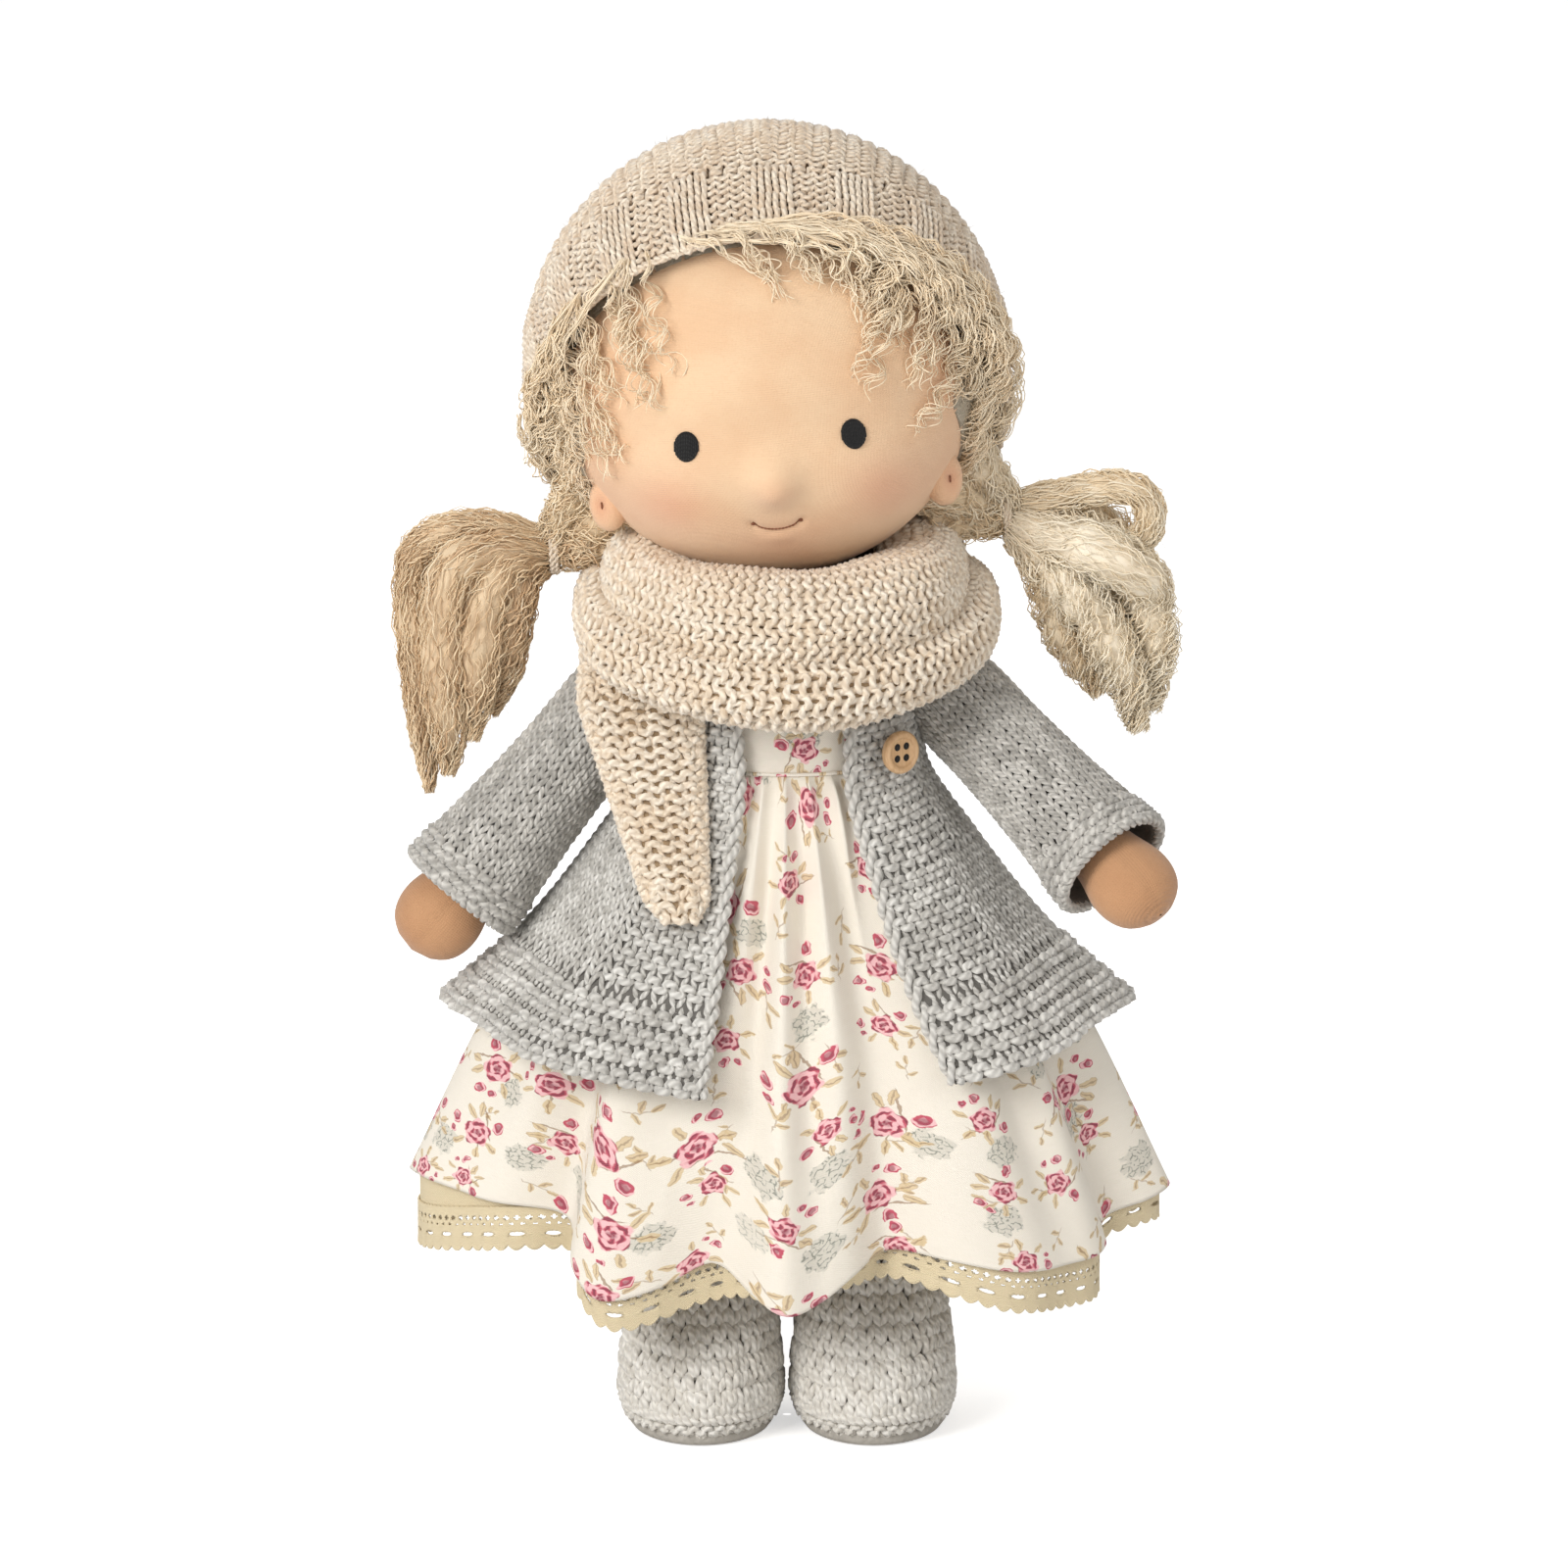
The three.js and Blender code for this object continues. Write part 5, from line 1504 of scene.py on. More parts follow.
    def build_ear(self, finish: Finishes, side: Side) -> None:
        """A small sewn ear: a folded oval with a hollow and a stitch in its middle."""
        azimuth, drop = self.ear_place
        climb = math.acos(2 * drop / self.head.height)
        place = self.head.skin(self.head.toward(side.value * math.radians(azimuth), climb))
        turn = round_angles(48)
        ring = np.linspace(0.03, math.pi - 0.03, 26)[:, None]
        ball = stack(np.sin(ring) * np.cos(turn), np.sin(ring) * np.sin(turn), np.cos(ring) + 0 * turn)
        facing = np.array([side.value * 0.55, -0.83, 0.0])
        hollow = np.exp(-(((ball - facing) ** 2).sum(-1) / 0.35))
        ear = ball * (np.array(self.ear_size) / 2) * (1 - 0.38 * hollow)[..., None]
        maker = MeshMaker()
        # The blush deepens into the ear's hollow as painted shade.
        maker.grid(self.head.to_doll(ear + place), around=True, size=(30, 18), tone=0.12 + 0.4 * hollow)
        pit = place + facing * np.array(self.ear_size) / 2 * 0.62
        bends = pit + np.array([[[0, -0.2, 0.9], [0, -0.5, 0], [0, -0.2, -0.9]]])
        maker.tubes(self.head.to_doll(spline(bends, 8)), 0.22, sides=6, slot=1)
        piece = maker.make(f"{side.word}_ear_flap", finish["skin"], finish["mouth"])
        dress(piece, Body.HEAD, Slot.SKIN, f"{side.word}_ear")


@dataclass
class Hat:
    """A knitted hat: purl rows over the crown and a band of blocks of plain columns round the face."""

    head: HeadShape
    lift: float = 5.8
    pole: float = 0.03
    rows: int = 42
    band_rows: int = 9
    coil_turns: float = 3.0
    blocks: int = 18
    block_columns: int = 6
    rim_points: int = 6
    crown: Stitch = Stitch(3.8, 2.4, 0.66, depth=1.0, wobble=0.07)
    band: Stitch = Stitch(3.05, 2.4, 0.68, depth=0.95)

    def surface(self, start: float, end: float) -> Surface:
        """The hat between two shares of the way from its pole to its rim."""

        def place(u: Array, v: Array) -> Array:
            """The hat's points."""
            turn = u * TURN
            reach = mix(self.pole, 1, mix(start, end, v)) * self.head.rim(turn)
            return self.head.to_doll(self.head.cap(turn, reach, self.lift + 0 * turn))

        return Surface(place, flip=True)

    def build(self, finish: Finishes, random: Random) -> None:
        """Knits the crown and the band over a sheet that is darker as the painted shade seen between the
        stitches.
        """
        whole = self.surface(0.0, 1.0)
        split = 1 - self.band_rows / self.rows
        crown, band = self.surface(0.0, split), self.surface(split, 1.0)
        crown_rows = self.rows - self.band_rows
        knitted = MeshMaker()
        counts = count_for(crown, self.crown.width, crown_rows)
        knit(knitted, crown, self.crown, crown_rows, counts, purl, random)
        share = np.linspace(0, 1, 90)
        ring = whole.frame(share * self.coil_turns % 1, 0 * share)[0]
        middle = ring.mean(0)
        twisted(knitted, mix(ring, middle, share[:, None] * 0.95), radius=0.5, pitch=3.0)
        fuzzy(knitted, crown, 4200, LONG_FIBRE, random)
        crown_piece = dress(knitted.make("hat_crown", finish["hat"]), Body.HEAD, Slot.OATMEAL)
        ribbed = MeshMaker()
        columns = self.blocks * self.block_columns
        plain_columns = self.block_columns // 2

        def blocks(row: int, column: Array, count: int) -> Array:
            """Half of each block's columns are plain, the others purl."""
            return np.where(column % self.block_columns < plain_columns, 1.0, -1.0)

        def ridge(row: int, column: Array, count: int) -> Array:
            """Plain columns stand out from the purl ones."""
            return np.where(column % self.block_columns < plain_columns, 0.55, -0.2)

        knit(ribbed, band, self.band, self.band_rows, lambda row: columns, blocks, random, relief=ridge)
        points = columns * self.rim_points
        rim = whole.frame(np.arange(points) / points, np.ones(points))[0]
        twisted(ribbed, rim, radius=0.55, pitch=3.0, closed=True)
        fuzzy(ribbed, band, 1800, LONG_FIBRE, random)
        band_piece = dress(ribbed.make("hat_band", finish["hat"]), Body.HEAD, Slot.OATMEAL)
        # A sheet under the stitches, darker as the painted shade seen between them.
        faces = [whole.grid(96, 40, lift) for lift in (-0.55, -1.6)]
        inside = shell("hat_shade_sheet", finish["hat_shade_backing"], pocket(*faces), size=(330, 200))
        dress(inside, Body.HEAD, Slot.OATMEAL, "knit_hat")
        declare_sheet(inside, whole, "stretched", ["face_skin"], crown_piece, band_piece)


@dataclass(frozen=True)
class Lock:
    """A soft lock of brushed mohair: where it runs, how thick it is there and how pale it is."""

    path: tuple[Triple, ...]
    thick: tuple[float, ...]
    pale: float
    strands: int = 90
    curl: float = 0.7
    strand: float = 0.15
    stations: int = 48

    def grow(self, maker: MeshMaker, head: HeadShape, side: Side, random: Random) -> None:
        """Adds the lock's felted heart, the strands that wander over it and its fuzz.

        Args:
            maker: Takes the tubes.
            head: The head that the lock grows on.
            side: The side of the doll; paths are given for +X.
            random: The source of the strands' ways.
        """
        mirrored = np.array(self.path, float) * [side.value, 1, 1]
        line = spline(mirrored[None], self.stations)
        tangent = tangents(line)
        normal = carried(tangent)
        across = np.cross(tangent, normal)
        share = np.linspace(0, 1, self.stations)
        thick = np.interp(share, np.linspace(0, 1, len(self.thick)), self.thick)
        lumps = 0.8 + 0.05 * np.sin(share * 23) + 0.05 * np.sin(share * 41 + 2)
        point = 1 - 0.8 * smooth(share, 0.72, 1)
        # The heart and the strands take the lock's paleness, which is low where painted shade is given.
        maker.tubes(head.to_doll(line), thick * lumps * point, sides=18, tone=self.pale, slot=1)
        count = self.strands
        drift = random.uniform(-0.7, 0.7, (count, 1)) * share
        drift = drift + 0.05 * np.sin(share * random.uniform(6, 16, (count, 1)))
        angle = (random.random((count, 1)) + drift) * TURN
        rise = random.uniform(0.8, 1.02, (count, 1))
        away = thick * (rise + 0.06 * np.sin(share * random.uniform(8, 20, (count, 1))))
        spoke = normal * np.cos(angle)[..., None] + across * np.sin(angle)[..., None]
        paths = line + spoke * away[..., None]
        tuft = random.integers(0, count // 6, count)
        start = random.random(count)[tuft] + random.normal(0, 0.06, count)
        pitch = random.uniform(4.5, 9, count)[tuft]
        paths = curled(paths, random.uniform(0.5, 1.1, count) * self.curl, pitch, start, 0.2)
        tone = np.clip(self.pale + random.normal(0.1, 0.2, (count, 1)) + 0 * share, 0, 1)
        size = self.strand * random.uniform(0.6, 1.5, (count, 1))
        maker.tubes(head.to_doll(paths), size, sides=3, tone=tone)
        place = random.integers(1, self.stations - 1, count * 3)
        turn = random.random(count * 3)[:, None] * TURN
        out = normal[0, place] * np.cos(turn) + across[0, place] * np.sin(turn)
        root = line[0, place] + out * (thick * lumps)[place, None]
        fuzz(maker, head.to_doll(root), out, 3.2, random, tone=min(self.pale + 0.1, 1.0))


# Each lock ends with its paleness: the doll's right locks, and on both sides the inner and back locks, are
# darker as painted shade.
PIGTAILS = {
    Side.RIGHT: (
        Lock(((54, 8, 19), (66, 6, 24), (77, 5, 25), (84, 7, 20), (86, 9, 8), (86, 10, -8), (86, 10, -24),
              (86, 9, -37)),
             (3.8, 4.6, 4.6, 4.6, 4.8, 4.6, 3.4, 0.8), 0.26),
        Lock(((54, 6, 19), (66, 1, 21), (75, -1, 18), (79, -1, 7), (80, 0, -8), (80, 2, -22), (81, 3, -32)),
             (3.8, 5.2, 6.0, 6.2, 5.6, 4.2, 1.0), 0.34),
        Lock(((54, 8, 18), (63, 3, 17), (69, 1, 11), (72, 0, 0), (73, 1, -12), (75, 2, -24)),
             (3.8, 5.8, 6.6, 6.6, 5.2, 1.2), 0.3),
        Lock(((54, 9, 17), (60, 6, 14), (63, 4, 7), (65, 4, -2), (67, 5, -10), (70, 6, -19)),
             (3.8, 5.4, 5.6, 5.2, 4.2, 1.0), 0.22),
        Lock(((54, 11, 18), (66, 14, 20), (76, 15, 15), (81, 14, 2), (82, 13, -14), (83, 12, -28)),
             (4.2, 6.6, 7.4, 7.6, 6.6, 1.4), 0.22),
        Lock(((54, 10, 17), (62, 13, 15), (67, 15, 6), (70, 14, -6), (73, 12, -18)),
             (4.2, 6.4, 6.4, 5.8, 1.2), 0.2),
    ),
    Side.LEFT: (
        Lock(((54, 8, 20), (63, 5, 22), (72, 4, 23.5), (80, 3, 23.5), (85, 4, 19), (84, 5, 12), (77, 4, 9),
              (69, 3, 10)),
             (3.8, 4.0, 4.0, 3.8, 3.8, 3.6, 3.4, 2.0), 0.7),
        Lock(((54, 6, 17), (62, 0, 14), (71, -3, 11), (79, -3, 6), (84, 0, 1), (83, 4, -5), (77, 3, -7)),
             (4.0, 5.6, 6.6, 6.4, 5.0, 4.0, 2.0), 1.0),
        Lock(((54, 8, 15), (61, 2, 8), (67, 0, 0), (73, 0, -10), (77, 1, -21), (79, 2, -34)),
             (4.0, 5.6, 6.2, 5.6, 4.8, 1.4), 0.92, curl=1.6),
        Lock(((56, 8, 18), (68, 5, 14), (78, 4, 7), (83, 4, -4), (84, 4, -16), (82, 5, -30)),
             (4.2, 5.2, 5.6, 5.2, 4.4, 1.2), 0.86, curl=1.8),
        Lock(((54, 8, 14), (59, 6, 8), (61, 5, 0), (63, 5, -9), (67, 5, -17), (71, 4, -25)),
             (4.2, 4.8, 4.8, 4.4, 3.6, 1.0), 0.6, curl=1.6),
        Lock(((54, 11, 17), (65, 14, 16), (75, 15, 10), (80, 14, -2), (80, 12, -16), (79, 10, -30)),
             (4.2, 6.2, 6.8, 6.8, 6.0, 1.4), 0.5, curl=1.4),
    ),
}
# The last three numbers are the paleness of the front, low and high lock: lower on the doll's right and lowest
# for the low lock, as painted shade.
TIED = {
    side: (
        Lock(((30, -6, 33), (38, 0, 28), (46, 6, 22), (54, 8, 19)), (8.0, 7.4, 6.0, 4.6), front),
        Lock(((33, 2, 22), (40, 5, 20), (47, 7, 19), (54, 8, 18.5)), (6.0, 6.2, 5.6, 4.6), low),
        Lock(((40, -14, 47), (44, -6, 40), (48, 2, 30), (54, 8, 19)), (2.6, 4.4, 5.0, 4.4), high),
    )
    for side, front, low, high in ((Side.RIGHT, 0.34, 0.26, 0.55), (Side.LEFT, 0.62, 0.48, 0.8))
}


@dataclass
class Hair:
    """Mohair round the face and in two tied pigtails."""

    head: HeadShape
    parting: float = -21
    tufts: int = 34
    tuft_strands: int = 8
    strand: float = 0.16
    tie: Triple = (54, 8, 19)
    lock_radius: float = 5.5
    stray_share: float = 0.5
    wisps: tuple[int, int] = (20, 7)

    def build(self, finish: Finishes, random: Random) -> None:
        """Makes the hair on the head and both pigtails."""
        self.build_roll(finish)
        self.build_frame(finish, random)
        for side in Side:
            self.build_tie(finish, side)
            maker = MeshMaker()
            for lock in PIGTAILS[side]:
                lock.grow(maker, self.head, side, random)
            piece = maker.make(f"{side.word}_pigtail_hair", finish["hair"], finish["felted"])
            dress(piece, side.body("pigtail"), Slot.MOHAIR, f"{side.word}_pigtail")

    def build_roll(self, finish: Finishes) -> None:
        """The thin bed of hair under the hat and just past its rim."""
        turn = round_angles(160)
        share = np.linspace(0.06, 1, 30)[:, None]
        aside = np.degrees(np.abs((turn + math.pi) % TURN - math.pi))
        fill = smooth(aside, 62, 88) * (1 - smooth(aside, 128, 142))
        reach = share * (self.head.rim(turn) + np.radians(mix(-1.5, 15, fill)))
        thick = mix(3.2, 0.25, smooth(share, 0.8, 1.0)) + 0.35 * np.sin(40 * turn) * share
        direction = self.head.cap_direction(turn, reach)
        near = smooth(share, 0.95, 0.8)[..., None]
        outer = mix(self.head.skin(direction, thick), self.head.cap(turn, reach, thick), near)
        inner = self.head.skin(direction[-1:], 0.05 + 0 * turn[None])
        points = self.head.to_doll(np.concatenate([outer, inner]))
        bed = shell("hair_bed", finish["felted"], points, size=(330, 130), tone=0.85)
        dress(bed, Body.HEAD, Slot.MOHAIR, "hair_cap")

    def build_frame(self, finish: Finishes, random: Random) -> None:
        """Curly strands that leave the parting, run along the hat's rim and gather at the ties."""
        for side in Side:
            maker = MeshMaker()
            full = side is Side.LEFT
            tufts = self.tufts if full else self.tufts * 3 // 5
            count = tufts * self.tuft_strands
            tuft = np.repeat(np.arange(tufts), self.tuft_strands)
            stray = random.random(tufts) < self.stray_share
            start = self.parting + side.value * 74 * random.random(tufts) ** 1.1
            fall = start + side.value * random.uniform(10, 34, tufts)
            end = np.where(stray, fall, side.value * random.uniform(112, 130, tufts))
            t = np.linspace(0, 1, 8)
            turn = np.radians(mix(start[:, None], end[:, None], t**0.85))
            sway = random.uniform(-5 if full else 1, 10, (tufts, 1))
            sway = sway * np.sin(np.pi * np.minimum(t * 1.25, 1))
            swept = -2 + sway + 16 * smooth(t, 0.5, 1.0)
            fallen = mix(-2.0, random.uniform(8, 25, (tufts, 1)), t**1.3)
            past = np.where(stray[:, None], fallen, swept) + random.normal(0, 0.8, (tufts, 8))
            lift = mix(8.0, 1.6, smooth(past, 0.5, 7)) + random.random((tufts, 1)) * 1.8
            reach = self.head.rim(turn) + np.radians(past)
            guide = self.head.skin(self.head.cap_direction(turn, reach), lift)[tuft]
            guide = guide + random.normal(0, 0.7, (count, 8, 3)) * (0.5 + t)[:, None]
            twist = random.random(tufts)[tuft] + random.normal(0, 0.08, count)
            size = random.uniform(0.5, 1.6, tufts)[tuft] * random.uniform(0.6, 1.3, count)
            paths = curled(spline(guide, 60), size, random.uniform(6, 11, tufts)[tuft], twist, 0.35)
            tone = np.clip(random.normal(0.95, 0.1, tufts)[tuft] + random.normal(0, 0.08, count), 0, 1)
            radius = self.strand * random.uniform(0.5, 1.3, (count, 1))
            maker.tubes(self.head.to_doll(paths), radius, sides=3, tone=tone[:, None])
            self.add_wisps(maker, side, random)
            dress(maker.make(f"{side.word}_front_hair", finish["front_hair"]), Body.HEAD, Slot.MOHAIR)
            maker = MeshMaker()
            for lock in TIED[side]:
                lock.grow(maker, self.head, side, random)
            name = f"{side.word}_gathered_hair"
            dress(maker.make(name, finish["hair"], finish["felted"]), Body.HEAD, Slot.MOHAIR)

    def add_wisps(self, maker: MeshMaker, side: Side, random: Random) -> None:
        """Loose locks that stray over the temples and cheeks."""
        locks, strands = self.wisps
        turn = side.value * np.radians(random.uniform(26, 88, locks))
        drop = random.uniform(11, 34, locks)
        t = np.linspace(0, 1, 6)
        bend = side.value * np.radians(random.uniform(2, 16, locks))
        around = turn[:, None] + bend[:, None] * t
        reach = self.head.rim(around) + np.radians(mix(-3.0, drop[:, None], t**1.2))
        lift = mix(7.8, 1.2, smooth(t, 0.05, 0.4)) + 1.6 * np.sin(np.pi * t) + 0 * around
        guide = np.repeat(self.head.skin(self.head.cap_direction(around, reach), lift), strands, 0)
        guide = guide + random.normal(0, 0.8, (locks * strands, 6, 3)) * (0.5 + t[:, None])
        size = np.repeat(random.uniform(0.8, 2.0, locks), strands)
        size = size * random.uniform(0.8, 1.2, locks * strands)
        twist = np.repeat(random.random(locks), strands) + random.normal(0, 0.07, locks * strands)
        pitch = np.repeat(random.uniform(6, 10, locks), strands)
        paths = curled(spline(guide, 46), size, pitch, twist, 0.35)
        tone = random.uniform(0.7, 1.0, (locks * strands, 1))
        maker.tubes(self.head.to_doll(paths), self.strand * 0.9, sides=3, tone=tone)

    def build_tie(self, finish: Finishes, side: Side) -> None:
        """Two turns of yarn round the lock."""
        out, back, lift = self.tie
        turn = np.linspace(0, 2 * TURN, 120)
        radius = self.lock_radius + 0.3
        along_lock = side.value * (out - 2.4 + 1.8 * turn / turn[-1])
        spiral = stack(along_lock, back + radius * np.cos(turn), lift + radius * np.sin(turn))
        maker = MeshMaker()
        twisted(maker, self.head.to_doll(spiral), radius=0.4, pitch=3.0)
        piece = maker.make(f"{side.word}_tie_yarn", finish["hat"])
        dress(piece, Body.HEAD, Slot.OATMEAL, f"{side.word}_hair_tie")


@dataclass(frozen=True)
class TorsoShape:
    """The stuffed torso under the clothes."""

    width: float = 50
    depth: float = 38
    bottom: float = 121.35
    top: float = 190
    waist: float = 157
    collar: float = 185
    swell: Line = ((0, 0.78), (0.2, 0.97), (0.45, 0.95), (0.7, 1), (0.87, 0.95), (1, 0.7))

    def half(self, height: Any) -> tuple[Array, Array]:
        """Half the torso's width and depth at a height."""
        swell = along(self.swell, (np.asarray(height) - self.bottom) / (self.top - self.bottom))
        return self.width / 2 * swell, self.depth / 2 * swell


@dataclass
class Trunk:
    """The stuffed torso, closed under the skirt."""

    torso: TorsoShape

    def build(self, finish: Finishes) -> None:
        """Makes the torso's calico."""
        heights = np.linspace(self.torso.bottom, self.torso.top, 40)[:, None]
        turn = round_angles(72)
        wide, deep = self.torso.half(heights)
        points = capped(oval(wide, deep, turn, heights))
        piece = shell("torso_calico", finish["calico"], points, size=(150, 90))
        dress(piece, Body.TORSO, Slot.STUFFING, "torso")


@dataclass
class Dress:
    """The printed dress, with a plain bodice and a gathered skirt."""

    torso: TorsoShape
    ease: float = 2.35
    thickness: float = 0.8
    half_width: float = 86
    half_depth: float = 51
    hem_line: Line = (
        (-180, 50), (-140, 54), (-110, 59), (-90, 61), (-75, 61.5), (-56, 58), (-44, 54.5), (-36, 47),
        (-29, 39.5), (-21, 41.5), (-13, 46.5), (-6, 41.5), (0, 37.5), (5, 39.5), (11, 45), (18, 49),
        (27, 47.5), (36, 45.2), (46, 44.8), (56, 46), (74, 53), (90, 58), (120, 57), (150, 53), (180, 50),
    )
    fold_line: Line = (
        (-180, 2.5), (-164, -3), (-148, 3), (-130, -3), (-112, 3), (-96, -2), (-78, 2.5), (-60, 0.5),
        (-43, -5), (-29, 3.5), (-13, -4.5), (0, 3.6), (9, -1), (18, -4.5), (32, 1.5), (45, 3), (60, 0),
        (70, -2.5), (84, 2.6), (98, -2.5), (114, 3), (130, -3), (147, 3), (164, -3), (180, 2.5),
    )
    gathers: int = 32
    gather_depth: float = 1.7
    pleats: int = 19
    pleat_depth: float = 4.6
    gathered_girth: float = 300
    hem_girth: float = 470
    length: float = 128
    flare: Line = ((0, 0), (0.17, 0.21), (0.4, 0.48), (0.6, 0.71), (1, 1))
    columns: int = 480
    rows: int = 110
    bodice_eases: tuple[float, float] = (2.45, 1.4)
    bodice_sheet: tuple[float, float] = (27, 21)
    seam_ease: float = 2.7

    def hem(self, turn: Any) -> Any:
        """The hem's height round the skirt."""
        return round_turn(self.hem_line, turn)

    def fold(self, turn: Any, share: Any) -> Any:
        """How far the folds and the gathers stand out."""
        soft = round_turn(self.fold_line, turn)
        soft = soft + 0.6 * np.minimum(soft, 0)
        fine = self.gathers * turn + 0.9 * np.sin(3 * turn) + 0.5 * np.sin(7 * turn + 2)
        sharp = 1 - 1.6 * np.abs(np.sin(fine / 2)) ** 0.8
        fade = smooth(share, 0.0, 0.03) * (1 - smooth(share, 0.06, 0.62))
        sway = self.pleats * (turn + 0.1 * np.sin(3 * turn + 0.4) + 0.06 * np.sin(7 * turn))
        hollow = (1 - np.cos(sway)) / 2 * smooth(share, 0.04, 0.3) * (1 - 0.55 * smooth(share, 0.55, 1))
        free = 1 + 0.3 * smooth(share, 0.6, 1)
        folds = np.maximum(share, 0) ** 1.2 * soft * free
        return folds + self.gather_depth * fade * sharp - self.pleat_depth * hollow

    def skirt(self, turn: Any, share: Any, inside: Any = 0.0) -> Array:
        """Points of the skirt.

        Args:
            turn: The angle round it, 0 in front.
            share: The share of the way from the waist to the hem.
            inside: The distance inside its outer face.

        Returns:
            The points.
        """
        flare = along(self.flare, share)
        wide, deep = self.torso.half(self.torso.waist)
        out = self.fold(turn, share) - inside
        wide = mix(wide + self.ease, self.half_width, flare) + out
        deep = mix(deep + self.ease, self.half_depth, flare) + out
        return oval(wide, deep, turn, mix(self.torso.waist, self.hem(turn), share))

    def flat_skirt(self, across: Array, down: Array) -> Array:
        """The print's place on the skirt in millimetres, from the middle front and the waist."""
        drop = 1 - np.abs(1 - 2 * down)
        girth = mix(self.gathered_girth, self.hem_girth, drop)
        return np.stack([(across - 0.5) * girth, drop * self.length + (down > 0.5) * 2 * self.length], -1)

    def build(self, finish: Finishes) -> None:
        """Makes the skirt and the bodice."""
        turn = (np.arange(self.columns) / self.columns - 0.5) * TURN
        share = np.linspace(0, 1, self.rows)[:, None] ** 0.9
        faces = [self.skirt(turn, share, inside) for inside in (0.0, self.thickness)]
        piece = shell("printed_skirt", finish["print"], doubled(*faces), loop=True, flat=self.flat_skirt)
        sit(piece, Slot.PRINT, "dress_skirt")
        surface = Surface(lambda u, v: self.skirt(u * TURN, v))
        declare_sheet(piece, surface, "gathered", ["bodice_cloth"])
        self.build_bodice(finish)

    def build_bodice(self, finish: Finishes) -> None:
        """Makes the bodice and the seam at its waist."""
        heights = np.linspace(self.torso.collar, self.torso.waist - 0.6, 30)[:, None]
        turn = (np.arange(120) / 120 - 0.5) * TURN
        wide, deep = self.torso.half(heights)
        faces = [oval(wide + ease, deep + ease, turn, heights) for ease in self.bodice_eases]
        bodice = shell("bodice_cloth", finish["print"], doubled(*faces), loop=True, size=(170, 58))
        dress(bodice, Body.TORSO, Slot.PRINT, "dress_bodice")
        seam = MeshMaker()
        wide, deep = self.torso.half(self.torso.waist)
        turn = round_angles(300)
        ring = oval(wide + self.seam_ease, deep + self.seam_ease, turn, self.torso.waist + 0.1)
        seam.tubes(ring[None], 0.45, sides=6, closed=True)
        dress(seam.make("waist_seam", finish["print"]), Body.TORSO, Slot.PRINT)
        levels = (self.torso.waist, self.torso.collar)
        sheet = Surface(lambda u, v: oval(*self.bodice_sheet, u * TURN, mix(*levels, v)))
        declare_sheet(bodice, sheet, "stretched", ["torso_calico"])


